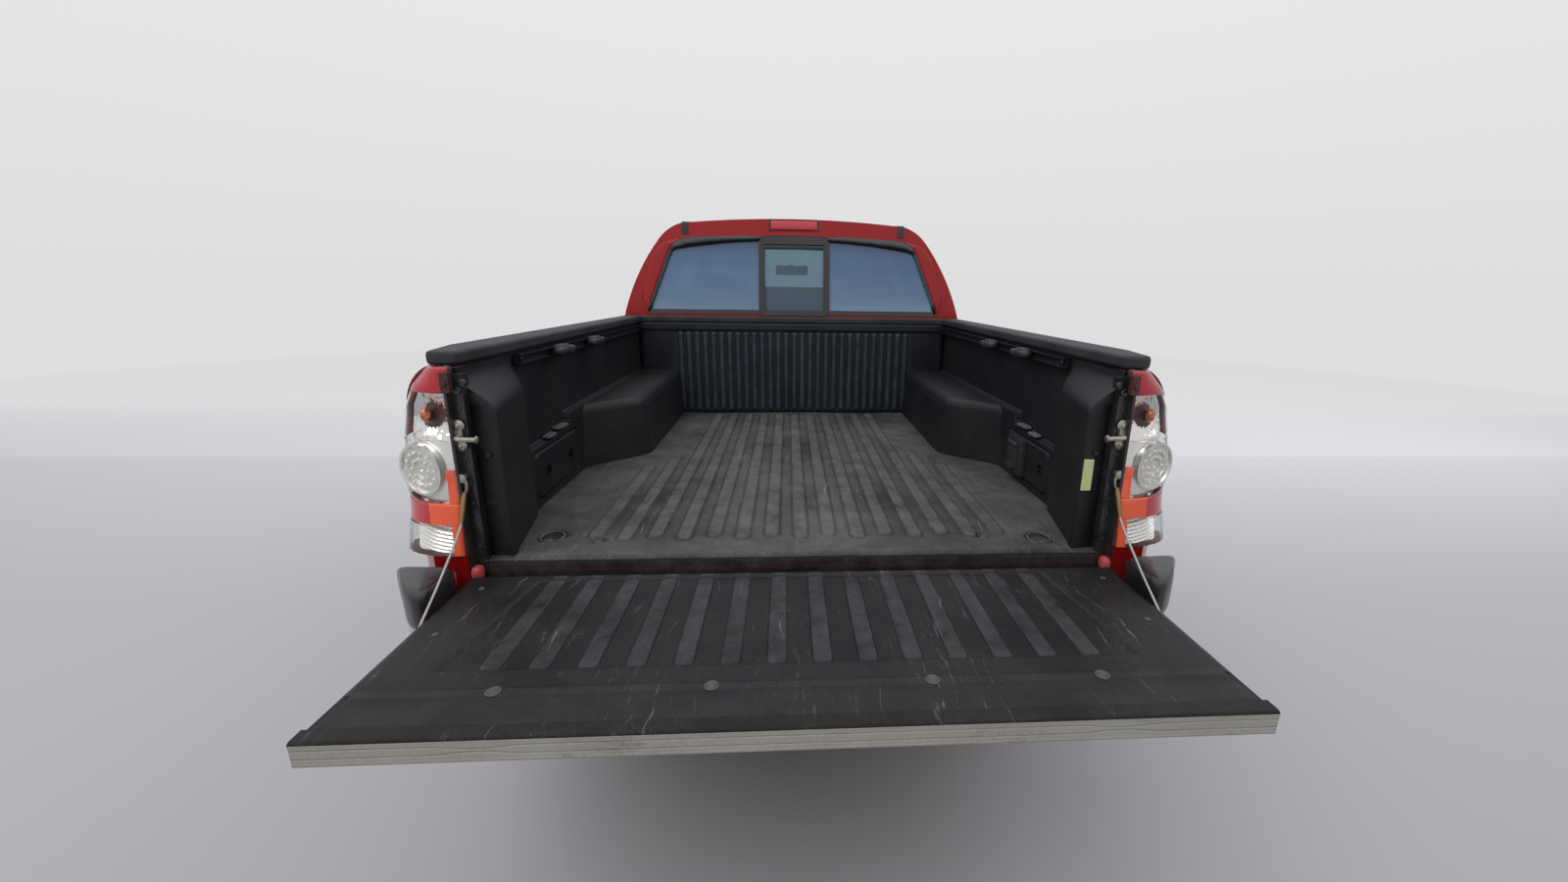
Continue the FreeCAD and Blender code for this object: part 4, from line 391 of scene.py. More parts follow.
def piece(name, node, shapes, materials, body="chassis", ease=0.0, crease=38, wall=0.0, facing=None,
          worn=None, twin=False):
    """One object, standing for a CAD node, from (corners, faces) or (corners, faces, material number) shapes.
    twin adds their mirror images. facing turns an open skin towards a direction; closed shapes get their
    normals outwards. wall is the skin's thickness, inwards; ease is the width of the bevel on sharp edges."""
    shapes = [(np.asarray(shape[0], float), shape[1], shape[2] if len(shape) > 2 else 0) for shape in shapes]
    if twin:
        shapes += [(corners * (-1, 1, 1), [face[::-1] for face in faces], number)
                   for corners, faces, number in shapes]
    starts = np.cumsum([0] + [len(corners) for corners, _, _ in shapes])
    mesh = bpy.data.meshes.new(name)
    mesh.from_pydata(np.concatenate([corners for corners, _, _ in shapes]).tolist(), [],
                     [[int(start + i) for i in face] for start, (_, faces, _) in zip(starts, shapes)
                      for face in faces])
    mesh.polygons.foreach_set("material_index", np.concatenate(
        [np.broadcast_to(np.asarray(number, np.int32), len(faces)) for _, faces, number in shapes]))
    work = bmesh.new()
    work.from_mesh(mesh)
    if worn is None:
        bmesh.ops.remove_doubles(work, verts=work.verts, dist=1e-5)
        bmesh.ops.dissolve_degenerate(work, edges=work.edges, dist=1e-6)
    if facing is None:
        bmesh.ops.recalc_face_normals(work, faces=work.faces)
    elif sum((face.normal * face.calc_area() for face in work.faces), Vector()).dot(Vector(facing)) < 0:
        bmesh.ops.reverse_faces(work, faces=work.faces)
    work.to_mesh(mesh)
    work.free()
    if worn is not None:
        mesh.attributes.new("worn", "FLOAT", "POINT").data.foreach_set("value", np.ravel(worn).astype(np.float32))
    made = placed(name, mesh, materials, crease, ease, 3, wall)
    if body:
        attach(made, body)
    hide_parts(node)
    return made


def corners_of(node):
    """The lowest and the highest corner of a CAD node's box."""
    return [Vector(corner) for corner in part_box(node)]


tub_low, tub_high = corners_of("bed_tub")
deck = frame["record"]["mounts"][2]["pos_m"][2] - 0.004
both_sides = (("left", -1), ("right", 1))
bed_rear, bed_front = tub_low.y, tub_high.y - 0.043
bed_half, rail_top = 0.715, tub_high.z

floor_rubber = finish("bed_floor", (0.011, 0.011, 0.012), 0.7, dust=((0.155, 0.145, 0.135), 0.72, 5.5),
                      scuff=((0.27, 0.26, 0.25), 0.42, (120.0, 3.0, 70.0)), pebble=(380.0, 0.0007),
                      worn=(0.068, 0.065, 0.062))
liner_black = finish("bed_liner", (0.003, 0.0036, 0.0058), 0.5, dust=((0.03, 0.028, 0.025), 0.6, 4.0),
                     scuff=((0.12, 0.12, 0.125), 0.2, (6.0, 40.0, 60.0)), pebble=(420.0, 0.0006))
wall_blue_black = finish("front_wall", (0.0035, 0.0045, 0.0075), 0.42, dust=((0.04, 0.045, 0.055), 0.4, 5.0),
                         pebble=(420.0, 0.0004), worn=(0.03, 0.037, 0.052))

# Floor: fifteen ribs with rounded ends, a small groove along each and cups for the tie-down rings; grooves and cups
# are painted dark as shade, and the rib tops lighter with wear.
rib_pitch, rib_half, rib_high, groove_deep = 0.07, 0.0178, 0.0045, 0.002
ring_places = ((-0.594, 0.119), (0.584, 0.079), (-0.48, 0.095), (0.45, 0.095))
ring_cup, small_cup, cup_deep = 0.036, 0.02, 0.01


def ribbed(across, along, runs, half, high, groove):
    """Height over a plane of round-ended ribs: with d the distance from a rib's middle line, it falls from
    high to nothing about d = half and dips to -groove just outside."""
    height = np.zeros(np.broadcast(across, along).shape)
    top = np.zeros_like(height)
    for centre, start, stop in runs:
        apart = np.hypot(across - centre, along - np.clip(along, start + half, stop - half))
        crown = 1 - rise(apart, half - 0.0025, half + 0.0005)
        gutter = rise(apart, half, half + 0.002) * (1 - rise(apart, half + 0.0045, half + 0.0075))
        height += high * crown - groove * gutter
        top = np.maximum(top, crown)
    return height, top


def around(centre, half):
    """Places across one rib, close together over its two edges."""
    steps = np.array([0, 0.5 * half, half - 0.0025, half - 0.001, half + 0.0005, half + 0.002, half + 0.0045,
                      half + 0.0075])
    return np.concatenate([centre - steps, centre + steps])


def floor_runs():
    """Each floor rib's middle line and where it starts and stops; the outer ones stop at the wheel wells."""
    for i in range(-7, 8):
        stop = {7: 0.683, 6: 0.8}.get(abs(i), 1.496)
        yield i * rib_pitch, 0.088 + 0.014 * (i % 2), stop


across = np.concatenate([around(i * rib_pitch, rib_half) for i in range(-7, 8)] + [both_ways(0.53, bed_half, 24)])
across = np.unique(np.round(np.append(across, [-0.438, 0.408, -0.522, 0.492]), 5))
along = stations((0, 0.04, 5), (0.04, 0.16, 34), (0.16, 0.66, 14), (0.66, 0.7, 9), (0.7, 0.78, 4),
                 (0.78, 0.82, 9), (0.82, 1.46, 16), (1.46, 1.51, 9), (1.51, 1.532, 3))
x, y = np.meshgrid(across, along, indexing="ij")
height, top = ribbed(x, y, floor_runs(), rib_half, rib_high, groove_deep)
for cup_x, cup_y in ring_places:
    size = ring_cup if abs(cup_x) > 0.5 else small_cup
    height -= cup_deep * (1 - rise(np.hypot(x - cup_x, y - cup_y), size - 0.006, size))
height -= 0.003 * (1 - rise(y, 0.01, 0.018))
height += 0.0008 * np.sin(9 * x + 2) * np.sin(5 * y)
# Share of the wear colour: most on the rib tops, less on the flats. Wherever the floor dips below its plane it gets
# less: the grooves, the cups and the strip at the rear edge keep the dark base colour as painted shade, and the
# gentle waves leave broad patches a little darker.
rubbed_and_shaded = np.clip(0.62 + 0.38 * top + np.minimum(height, 0) / 0.0012, 0, 1)
piece("bed_floor", "bed_tub", [sheet(x, bed_rear + y, deck + height)], [floor_rubber], wall=0.004,
      facing=(0, 0, 1), worn=rubbed_and_shaded, crease=60)

# Front wall: upright slats and a plain header with a lip above them.
slat_pitch, slat_half, slat_high, header = 0.0375, 0.0108, 0.005, 0.385
slat_count = 29
across = np.concatenate([around((i - slat_count // 2) * slat_pitch, slat_half) for i in range(slat_count)]
                        + [both_ways(0.54, bed_half, 8)])
up = stations((0, 0.02, 3), (0.02, 0.04, 5), (0.04, 0.36, 5), (0.36, 0.4, 12), (0.4, rail_top - deck, 4))
x, z = np.meshgrid(np.unique(np.round(across, 5)), up, indexing="ij")
slats = [((i - slat_count // 2) * slat_pitch, 0.012, header - 0.006) for i in range(slat_count)]
height, top = ribbed(x, z, slats, slat_half, slat_high, 0.001)
height += 0.006 * rise(z, header, header + 0.005)
piece("bed_front_wall", "bed_tub", [sheet(x, bed_front - height, deck + z)], [wall_blue_black],
      wall=0.004, facing=(0, -1, 0), worn=top, crease=60)

# Side walls: plain above, a bench below whose top steps up towards the cab, and in the bench's face the
# lid of a storage box, its edge a narrow groove.
bench = 0.02
lid_y, lid_z, lid_round = (0.305, 0.61), (0.022, 0.148), 0.016


def lid_edge(y, z):
    """Distance inside (+) or outside (-) a rounded rectangle: lid_round less the distance from its core."""
    core_y = np.clip(y, lid_y[0] + lid_round, lid_y[1] - lid_round)
    core_z = np.clip(z, lid_z[0] + lid_round, lid_z[1] - lid_round)
    return lid_round - np.hypot(y - core_y, z - core_z)


def bench_top(y):
    """The bench's height over the deck: it steps up twice on its way to the cab."""
    return 0.166 + 0.008 * rise(y, 0.452, 0.46) + 0.036 * rise(y, 0.556, 0.568)


def wall_face(y, z):
    """How far the wall's face stands in from the tub's: the bench below its top, the lid's groove cut in."""
    height = bench * (1 - rise(z, bench_top(y) - 0.006, bench_top(y) + 0.002)) * rise(y, 0.262, 0.276)
    inside = lid_edge(y, z)
    groove = rise(inside, -0.003, -0.001) * (1 - rise(inside, 0.001, 0.003))
    return height - 0.006 * groove + 0.003 * rise(inside, 0.003, 0.006) + 0.004 * rise(z, 0.392, 0.398)


along = stations((0.02, 0.25, 10), (0.25, 0.29, 8), (0.29, 0.33, 22), (0.33, 0.59, 40), (0.59, 0.63, 22),
                 (0.63, 1.532, 40), (0.45, 0.464, 6), (0.552, 0.572, 8))
up = stations((-0.004, 0.014, 4), (0.014, 0.048, 20), (0.048, 0.12, 12), (0.12, 0.222, 54),
              (0.222, rail_top - deck, 10), (0.388, 0.402, 6))
y, z = np.meshgrid(along, up, indexing="ij")
x = bed_half - wall_face(y, z)
piece("bed_side_walls", "bed_tub", [sheet(x, bed_rear + y, deck + z)], [liner_black], crease=40,
      twin=True)

# Wheel wells: each is a round-shouldered box that tapers in behind the wheel.
well_corner, well_top, well_lean = 0.032, 0.205, 0.016


def well_inner(y):
    """The inner face's distance from the middle: wide at the taper's start, narrow from its end on."""
    return 0.695 - 0.173 * rise(y, 0.64, 0.852)


turn = np.linspace(0, 1, 10) * np.pi / 2
upright = np.linspace(-0.004, well_top - well_corner, 8)
rail = np.concatenate([np.stack([upright * well_lean / well_top, upright], axis=1),
                       np.stack([well_lean + well_corner * (1 - np.cos(turn)),
                                 well_top - well_corner + well_corner * np.sin(turn)], axis=1)])
along = stations((0.628, 0.87, 40), (0.87, 1.532, 12))
y = np.repeat(along[:, None], len(rail) + 1, axis=1)
inner = well_inner(along)[:, None] + rail[None, :, 0]
x = np.concatenate([np.minimum(inner, bed_half), np.full((len(along), 1), bed_half)], axis=1)
z = np.concatenate([np.repeat(rail[None, :, 1], len(along), axis=0), np.full((len(along), 1), well_top)], axis=1)
piece("wheel_wells", "bed_tub", [sheet(x, bed_rear + y, deck + z)], [liner_black], crease=40, twin=True)

# Deck rails: an aluminium channel under each rail cap, painted black, with two sliding cleats that lock
# into it; one bolt shows at each end.
def bar(outline, low, high, axis):
    """A solid with a closed outline, drawn in the two other axes in their order, between two places along
    the axis (0 across, 1 along, 2 up). low and high may be lists, one place for each corner."""
    outline = np.asarray(outline, float)
    count = len(outline)
    ends = np.zeros((2, count, 3))
    ends[:, :, [i for i in range(3) if i != axis]] = outline
    ends[0, :, axis], ends[1, :, axis] = low, high
    sides = [(i, (i + 1) % count, (i + 1) % count + count, i + count) for i in range(count)]
    return ends.reshape(-1, 3), sides + [tuple(range(count)), tuple(range(2 * count - 1, count - 1, -1))]


def in_bed(across, along, up):
    """A place in the bed, counted from its rear edge and its floor."""
    return across, bed_rear + along, deck + up


def box(low, high):
    """A solid box between two opposite corners."""
    return bar([(low[0], low[1]), (high[0], low[1]), (high[0], high[1]), (low[0], high[1])], low[2], high[2], 2)


def pillow(centre, half, power=4.0, steps=18):
    """A rounded block: on each axis half its size times a sine or cosine raised, sign kept, to 2 / power."""
    around_it, over = np.meshgrid(np.linspace(-np.pi, np.pi, 2 * steps + 1),
                                  np.linspace(-np.pi / 2, np.pi / 2, steps + 1), indexing="ij")

    def soft(value):
        return np.sign(value) * np.abs(value) ** (2 / power)

    unit = np.stack([soft(np.cos(over)) * soft(np.cos(around_it)), soft(np.cos(over)) * soft(np.sin(around_it)),
                     soft(np.sin(over))], axis=-1)
    return grid(np.asarray(centre) + unit * np.asarray(half))


def turned(profile, centre, axis, steps=36):
    """A turned solid: (along, radius) pairs carried round the axis through the centre."""
    axis = np.asarray(axis, float) / np.linalg.norm(axis)
    side = np.cross(axis, (0.36, 0.48, 0.8) if abs(axis[0]) < 0.9 else (0, 0, 1.0))
    side /= np.linalg.norm(side)
    angle = np.linspace(0, 2 * np.pi, steps + 1)[:, None, None]
    along, radius = np.asarray(profile, float).T
    ring = np.cos(angle) * side + np.sin(angle) * np.cross(axis, side)
    return grid(np.asarray(centre, float) + along[None, :, None] * axis + radius[None, :, None] * ring)


def disc(radius, low, high, centre, axis, steps=36, edge=0.15):
    """A flat-ended round solid between two places on its axis, its corners rounded by a share of the radius."""
    soft = radius * edge
    profile = [(low, 0), (low, radius - soft), (low + soft, radius), (high - soft, radius), (high, radius - soft),
               (high, 0)]
    return turned(profile, centre, axis, steps)


def tube(path, radius, sides=10):
    """A round bar along a path: at each of its points a ring at right angles to the path, ends closed."""
    path = np.asarray(path, float)
    along = np.gradient(path, axis=0)
    along /= np.linalg.norm(along, axis=1)[:, None]
    side = np.cross(along, (0.577, 0.211, 0.789))
    side /= np.linalg.norm(side, axis=1)[:, None]
    other = np.cross(along, side)
    angle = np.linspace(0, 2 * np.pi, sides + 1)[:, None]
    radius = np.broadcast_to(np.asarray(radius, float), len(path))[:, None, None]
    rings = path[:, None] + radius * (np.cos(angle) * side[:, None] + np.sin(angle) * other[:, None])
    ends = [np.repeat(path[i][None, None], sides + 1, axis=1) for i in (0, -1)]
    return grid(np.concatenate([ends[0], rings, ends[1]]))


def bend(points, steps=24):
    """A smooth line through the points: cubic runs whose slope at a point is that of its two neighbours."""
    points = np.asarray(points, float)
    reach = np.concatenate([[2 * points[0] - points[1]], points, [2 * points[-1] - points[-2]]])
    slope = (reach[2:] - reach[:-2]) / 2
    t = np.linspace(0, 1, steps, endpoint=False)[:, None]
    runs = [points[i] * (2 * t**3 - 3 * t**2 + 1) + slope[i] * (t**3 - 2 * t**2 + t)
            + points[i + 1] * (3 * t**2 - 2 * t**3) + slope[i + 1] * (t**3 - t**2) for i in range(len(points) - 1)]
    return np.concatenate(runs + [points[-1:]])


rail_black = finish("rail_black", (0.012, 0.013, 0.016), 0.38, 0.3,
                    scuff=((0.22, 0.23, 0.25), 0.5, (60.0, 5.0, 60.0)), pebble=(500.0, 0.0002))
dull_black = finish("dull_black", (0.01, 0.011, 0.014), 0.55, dust=((0.12, 0.12, 0.12), 0.5, 8.0),
                    pebble=(500.0, 0.0004))
rail_low, rail_x = deck + 0.386, bed_half - 0.003
channel = [(rail_x, rail_low), (rail_x - 0.02, rail_low), (rail_x - 0.02, rail_low + 0.006),
           (rail_x - 0.013, rail_low + 0.006), (rail_x - 0.013, rail_low + 0.022), (rail_x - 0.02, rail_low + 0.022),
           (rail_x - 0.02, rail_low + 0.027), (rail_x, rail_low + 0.027)]
shapes = [bar(channel, bed_rear + 0.281, bed_rear + 1.516, 1)]
shapes += [disc(0.007, 0.0, 0.006, (rail_x - 0.016, bed_rear + end, rail_low + 0.0135), (-1, 0, 0), 20)
           for end in (0.292, 1.505)]
piece("deck_rails", "bed_tub", shapes, [rail_black], ease=0.0008, twin=True)
shapes = []
for spot in (0.519, 0.804):
    middle = np.array([rail_x - 0.032, bed_rear + spot, rail_low + 0.014])
    shapes.append(pillow(middle, (0.016, 0.034, 0.017), 5))
    shapes += [pillow(middle + (-0.01, back, 0.0), (0.014, 0.024, 0.011), 3) for back in (-0.03, 0.034)]
    shapes += [disc(size, 0.0, high, middle + (-0.014, 0, 0), (-1, 0, 0), steps)
               for size, high, steps in ((0.012, 0.01, 24), (0.0045, 0.014, 16))]
piece("deck_cleats", "bed_tub", shapes, [dull_black], twin=True)

# Storage lids: two turn latches in each lid's recess; the right side has a power outlet with its own cover
# instead of the rear latch. Below the rail the bench carries two rubber pads.
lid_x = bed_half - bench - 0.002
latch = [(0, 0), (0, 0.019), (0.003, 0.019), (0.003, 0.014), (0.001, 0.012), (0.001, 0)]
shapes = []
for side, spots in ((-1, (0.375, 0.54)), (1, (0.35,))):
    for spot in spots:
        centre = in_bed(side * lid_x, spot, 0.088)
        shapes += [turned(latch, centre, (-side, 0, 0), 28),
                   box((side * lid_x - 0.009 * (side > 0), centre[1] - 0.003, centre[2] - 0.012),
                       (side * lid_x + 0.009 * (side < 0), centre[1] + 0.003, centre[2] + 0.012))]
piece("lid_latches", "bed_tub", shapes, [rail_black])
outlet = [box(in_bed(lid_x - 0.012, 0.455, 0.028), in_bed(lid_x + 0.004, 0.57, 0.14)),
          box(in_bed(lid_x - 0.02, 0.478, 0.046), in_bed(lid_x - 0.01, 0.548, 0.118)),
          disc(0.006, -0.032, 0.032, in_bed(lid_x - 0.018, 0.513, 0.121), (0, 1, 0), 16),
          box(in_bed(lid_x - 0.024, 0.5, 0.04), in_bed(lid_x - 0.016, 0.526, 0.052))]
piece("power_outlet", "bed_tub", outlet, [dull_black], ease=0.003)
pads = [pillow(in_bed(bed_half - 0.013, spot, height), (0.012, half, 0.004), 5)
        for spot, half, height in ((0.425, 0.028, 0.17), (0.505, 0.036, 0.178))]
piece("bench_pads", "bed_tub", pads,
      [finish("worn_rubber", (0.055, 0.056, 0.058), 0.75, dust=((0.2, 0.19, 0.18), 0.8, 30.0),
              pebble=(300.0, 0.0008))], twin=True)

# Tie-down rings: a zinc-plated ring folded down in each of the floor's cups.
zinc = finish("zinc_plate", (0.52, 0.49, 0.42), 0.34, 0.9, dust=((0.25, 0.2, 0.14), 0.9, 60.0),
              pebble=(260.0, 0.0004))
dark_zinc = finish("dark_zinc", (0.1, 0.1, 0.095), 0.5, 0.7, dust=((0.16, 0.14, 0.12), 0.8, 40.0))
shapes = []
for cup_x, cup_y in ring_places[:2]:
    angle = np.linspace(0, 2 * np.pi, 41)
    loop = np.stack([cup_x + 0.027 * np.cos(angle), bed_rear + cup_y + 0.024 * np.sin(angle),
                     deck - 0.004 + 0.004 * np.sin(angle)], axis=1)
    shapes += [tube(loop, 0.0035, 8), pillow(in_bed(cup_x, cup_y - 0.024, -0.004), (0.011, 0.008, 0.005))]
for cup_x, cup_y in ring_places[2:]:
    shapes.append(disc(0.01, -0.009, -0.004, (cup_x, bed_rear + cup_y, deck), (0, 0, 1), 24))
piece("tie_down_rings", "bed_tub", shapes, [dark_zinc])

# Corner pillars: at the bed's rear the liner wraps a box post; its face looks backwards, and above the
# post it leans out to the wall. Beside the face a black channel holds the striker and the cable's eye.
post_plan = np.array([(0.7125, 0.03), (0.685, 0.03), (0.6838, 0.022), (0.6815, 0.019), (0.6385, 0.015),
                      (0.634, 0.0165), (0.6322, 0.021), (0.6335, 0.028), (0.642, 0.06), (0.66, 0.15),
                      (0.679, 0.245), (0.688, 0.268), (0.702, 0.276), (0.7148, 0.277)])
post_up = stations((-0.002, 0.3, 8), (0.3, 0.4, 16), (0.4, 0.415, 3))
lean = 1 - 0.8 * rise(post_up, 0.325, 0.402)
x = bed_half - (bed_half - post_plan[None, :, 0]) * lean[:, None]
y = np.repeat(bed_rear + post_plan[None, :, 1], len(post_up), axis=0)
z = np.repeat(deck + post_up[:, None], len(post_plan), axis=1)
piece("corner_posts", "bed_tub", [sheet(x, y, z)], [liner_black], crease=50, twin=True)
# The channels are painted black; the same black on the rear sill is painted shade.
black_paint_and_shade = finish("channel_black", (0.008, 0.008, 0.01), 0.3, dust=((0.1, 0.09, 0.08), 0.6, 20.0),
                     Coat_Weight=0.5)
channel_y = bed_rear - 0.002
shapes = [box((0.6845, channel_y, deck - 0.03), (0.7118, channel_y + 0.03, deck + 0.405)),
          bar([(0.7118, deck - 0.06), (0.7118, deck + 0.41), (0.7065, deck + 0.41), (0.7065, deck - 0.06)],
              bed_rear - 0.02, bed_rear + 0.01, 1)]
shapes += [disc(0.0055, 0.0, 0.002, (0.6975, channel_y, deck + height), (0, -1, 0), 18)
           for height in (0.335, 0.232, 0.128, 0.092, 0.03)]
shapes += [disc(0.008, 0.0, 0.005, (0.693 - back, channel_y - 0.001, deck + height), (0, -1, 0), 18)
           for height, back in ((0.372, 0.0), (0.388, 0.012))]
piece("corner_channels", "bed_tub", shapes, [black_paint_and_shade], ease=0.001, twin=True)
screw = disc(0.0065, 0, 0.003, in_bed(0.66, 0.0155, 0.232), (0, -1, 0), 20)
piece("post_screws", "bed_tub", [screw], [rail_black], twin=True)
sticker = box(in_bed(0.6365, 0.011, 0.144), in_bed(0.658, 0.0168, 0.217))
piece("blank_sticker", "bed_tub", [sticker],
      [finish("pale_green", (0.52, 0.56, 0.26), 0.5, dust=((0.3, 0.3, 0.24), 0.6, 60.0))], ease=0.001)

# Strikers: a cast two-lobed plate with a thick headed bolt that the tailgate's latch grips.
striker_y, striker_z = channel_y - 0.002, deck + 0.279
lobes = [(0.7, striker_y, striker_z + height) for height in (-0.02, 0.022)]
shapes = [disc(*form, lobe, (0, -1, 0), steps, edge=0.3) for lobe in lobes
          for form, steps in (((0.0125, 0.0, 0.007), 28), ((0.005, 0.006, 0.01), 12))]
bolt = bend([(0.7, striker_y, striker_z), (0.699, striker_y - 0.016, striker_z - 0.001),
             (0.69, striker_y - 0.022, striker_z - 0.002), (0.66, striker_y - 0.022, striker_z - 0.003)], 8)
shapes += [box((0.6935, striker_y - 0.006, striker_z - 0.02), (0.7065, striker_y, striker_z + 0.022)),
           tube(bolt, 0.0052, 14),
           disc(0.0085, 0.0, 0.005, (0.6605, striker_y - 0.022, striker_z - 0.003), (-1, 0, -0.03), 20, edge=0.3)]
piece("tailgate_striker_bolts", "tailgate_strikers", shapes, [zinc], twin=True, crease=50)

# Stay cables: a plated eye on the channel's stud, a brass sleeve crimped round the cable's fold, and the
# sleeved steel cable down to the stud on the tailgate's edge.
brass = finish("brass", (0.42, 0.26, 0.11), 0.38, 0.9, dust=((0.25, 0.18, 0.1), 0.6, 60.0))
sleeved = finish("cable_sleeve", (0.42, 0.41, 0.39), 0.35, 0.75, pebble=(900.0, 0.0006))
cable_high = corners_of("stay_cables")[1]
gate_hinge = Vector(next(joint["pos_m"] for joint in frame["record"]["behaviour"]["joints"]
                         if joint["name"] == "tailgate_hinge"))
cable_x = cable_high.x - 0.0026
stud = Vector((0, gate_hinge.y - 0.19, gate_hinge.z + 0.004))
for word, side in both_sides:
    eye_x = side * (cable_x - 0.003)
    eye_y = channel_y - 0.012
    angle = np.linspace(0, 2 * np.pi, 33)
    loop = np.stack([np.full(33, eye_x) + 0.008 * np.sin(angle), np.full(33, eye_y),
                     deck + 0.176 + 0.019 * np.cos(angle)], axis=1)
    knob = turned([(0, 0), (0, 0.006), (0.012, 0.006), (0.012, 0.01), (0.015, 0.01), (0.017, 0.006), (0.017, 0)],
                  (eye_x, channel_y, deck + 0.19), (0, -1, 0), 20)
    piece(f"cable_eye_{word}", "stay_cables", [tube(loop, 0.0032, 10), knob], [zinc])
    start = Vector((eye_x, eye_y, deck + 0.156))
    sleeve_end = Vector((eye_x + side * 0.002, eye_y - 0.022, deck + 0.098))
    foot = Vector((side * cable_x, stud.y + 0.006, stud.z + 0.006))
    sag = (sleeve_end + foot) / 2 + Vector((0, 0.004, -0.003))
    line = bend([start, sleeve_end, sag, foot], 10)
    cable = piece(f"stay_cable_{word}", "stay_cables", [tube(line, 0.0026, 10)], [sleeved], None)
    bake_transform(cable)
    piece(f"cable_sleeve_{word}", "stay_cables",
          [tube(bend([start, sleeve_end], 6), [0.005, 0.0055, 0.005, 0.005, 0.0045, 0.004, 0.003])], [brass])
    ring = turned([(-0.003, 0.0035), (-0.003, 0.01), (0.003, 0.01), (0.003, 0.0035)],
                  (side * (cable_x - 0.0015), stud.y, stud.z), (1, 0, 0), 20)
    piece(f"stud_ring_{word}", "stay_cables", [ring], [zinc], "tailgate")

# Body paint: deep red metallic under clear coat, with a film of road dust that thickens towards the sills.
# The cab, doors, hood, fenders, bed sides and the tailgate's outer shell are pressed sheet in this finish.
red = finish("red_paint", (0.27, 0.003, 0.005), 0.34, 0.4, dust=((0.2, 0.15, 0.12), 0.05, 3.0),
             splash=(0.45, 0.95, 0.75), Coat_Weight=0.7, Coat_Roughness=0.03, Specular_IOR_Level=0.12)
underbody = finish("underbody_paint", (0.03, 0.014, 0.013), 0.7, dust=(road_dust, 0.8, 4.0), pebble=(160.0, 0.0008))
cabin_trim = finish("cabin_trim", (0.05, 0.051, 0.054), 0.62, dust=((0.14, 0.13, 0.12), 0.25, 6.0),
                    pebble=(620.0, 0.0004))
headliner = finish("headliner", (0.3, 0.29, 0.27), 0.95, pebble=(900.0, 0.0006), Sheen_Weight=0.3)
seal_black = finish("door_seal", (0.01, 0.01, 0.011), 0.7)
cab_middle = Vector((0, 0.25, 1.15))


def cab_side(face):
    """0 paint outside, 1 headliner and 2 trim inside: a face that looks at the cab's middle is inside."""
    if (cab_middle - face.center).dot(face.normal) < 0.15:
        return 0
    return 1 if face.center.z > 1.6 else 2


def door_side(face):
    """0 paint, 1 trim on the face towards the seats, 2 the black seal round the window and the sash's edge."""
    inwards = -face.normal.x * math.copysign(1, face.center.x)
    return 1 if inwards > 0.5 else 2 if face.center.z > 1.285 and inwards > -0.45 else 0


def panel_side(face):
    """0 paint outside, 1 bare undercoat on faces that look inwards or down."""
    return int(face.normal.x * math.copysign(1, face.center.x) < -0.35 or face.normal.z < -0.35)


dressed("cab_shell", [red, headliner, cabin_trim], 0.003, pick=cab_side)
dressed("door_front_left door_front_right door_rear_left door_rear_right", [red, cabin_trim, seal_black], 0.003,
        pick=door_side)
dressed("front_fenders hood", [red, underbody], 0.003, pick=panel_side)
dressed("bed_sides fender_flares tailgate_shell", [red], 0.003)
dressed("floor_pan firewall", [underbody], 0.002)

# Tail lamps: a clear moulded lens wrapped round the body's corner over a bright bowl. From the top: a red
# block, a clear turn lamp with a faceted reflector, a round LED brake lamp, a red and orange reflector and
# a ribbed reversing lamp. A dark housing closes it behind; two screws hold it from the tailgate's side.
lamp_in, lamp_low, lamp_high = 0.712, 0.8725, 1.269
gate_plane = bed_rear - 0.028
LED = np.array([0.36, 1.052])


def lens(u, z, inset=0.0, bulge=0.0):
    """A corner in plan: a superellipse of power 2.3 from the inner edge round to the body's side, its reach
    set by the height; a dome of the given height stands out round the brake lamp."""
    wrap = np.interp(z, (0.872, 0.96, 1.052, 1.16, 1.27), (0.09, 0.142, 0.164, 0.15, 0.105))
    side = np.interp(z, (0.872, 1.05, 1.12, 1.18, 1.225, 1.27), (0.868, 0.872, 0.866, 0.85, 0.822, 0.772))
    rear = gate_plane - 0.0045 + 0.038 * (z - 0.872) / 0.398
    dome = np.clip(1 - ((u - LED[0]) * 0.2 / 0.062) ** 2 - ((z - LED[1]) / 0.064) ** 2, 0, 1) ** 0.5
    turn = u * np.pi / 2
    out = bulge * dome - inset
    x = lamp_in + (side - lamp_in + out) * np.sin(turn) ** (2 / 2.3)
    y = gate_plane + wrap - (gate_plane + wrap - rear + out) * np.cos(turn) ** (2 / 2.3)
    return np.stack([x, y, z + 0 * u], axis=-1)


lamp_red = finish("lens_red", (0.36, 0.004, 0.012), 0.12, Coat_Weight=1.0, Coat_Roughness=0.02,
                  pebble=(900.0, 0.0002))
lamp_orange = finish("lens_orange", (0.72, 0.085, 0.025), 0.14, Coat_Weight=1.0, pebble=(500.0, 0.0003))
lamp_clear = finish("lens_clear", (0.93, 0.93, 0.93), 0.02, Transmission_Weight=1.0, IOR=1.12)
prisms = finish("lens_prisms", (0.42, 0.006, 0.014), 0.16, Coat_Weight=1.0, pebble=(380.0, 0.0012))
bowl_chrome = finish("bowl_chrome", (0.86, 0.84, 0.82), 0.12, 1.0, pebble=(90.0, 0.003))
ring_silver = finish("ring_silver", (0.88, 0.87, 0.83), 0.24, 0.7)
led_white = finish("led_white", (0.88, 0.86, 0.8), 0.35, Coat_Weight=1.0)
housing = finish("lamp_housing", (0.045, 0.006, 0.008), 0.35, dust=((0.15, 0.1, 0.08), 0.5, 12.0))
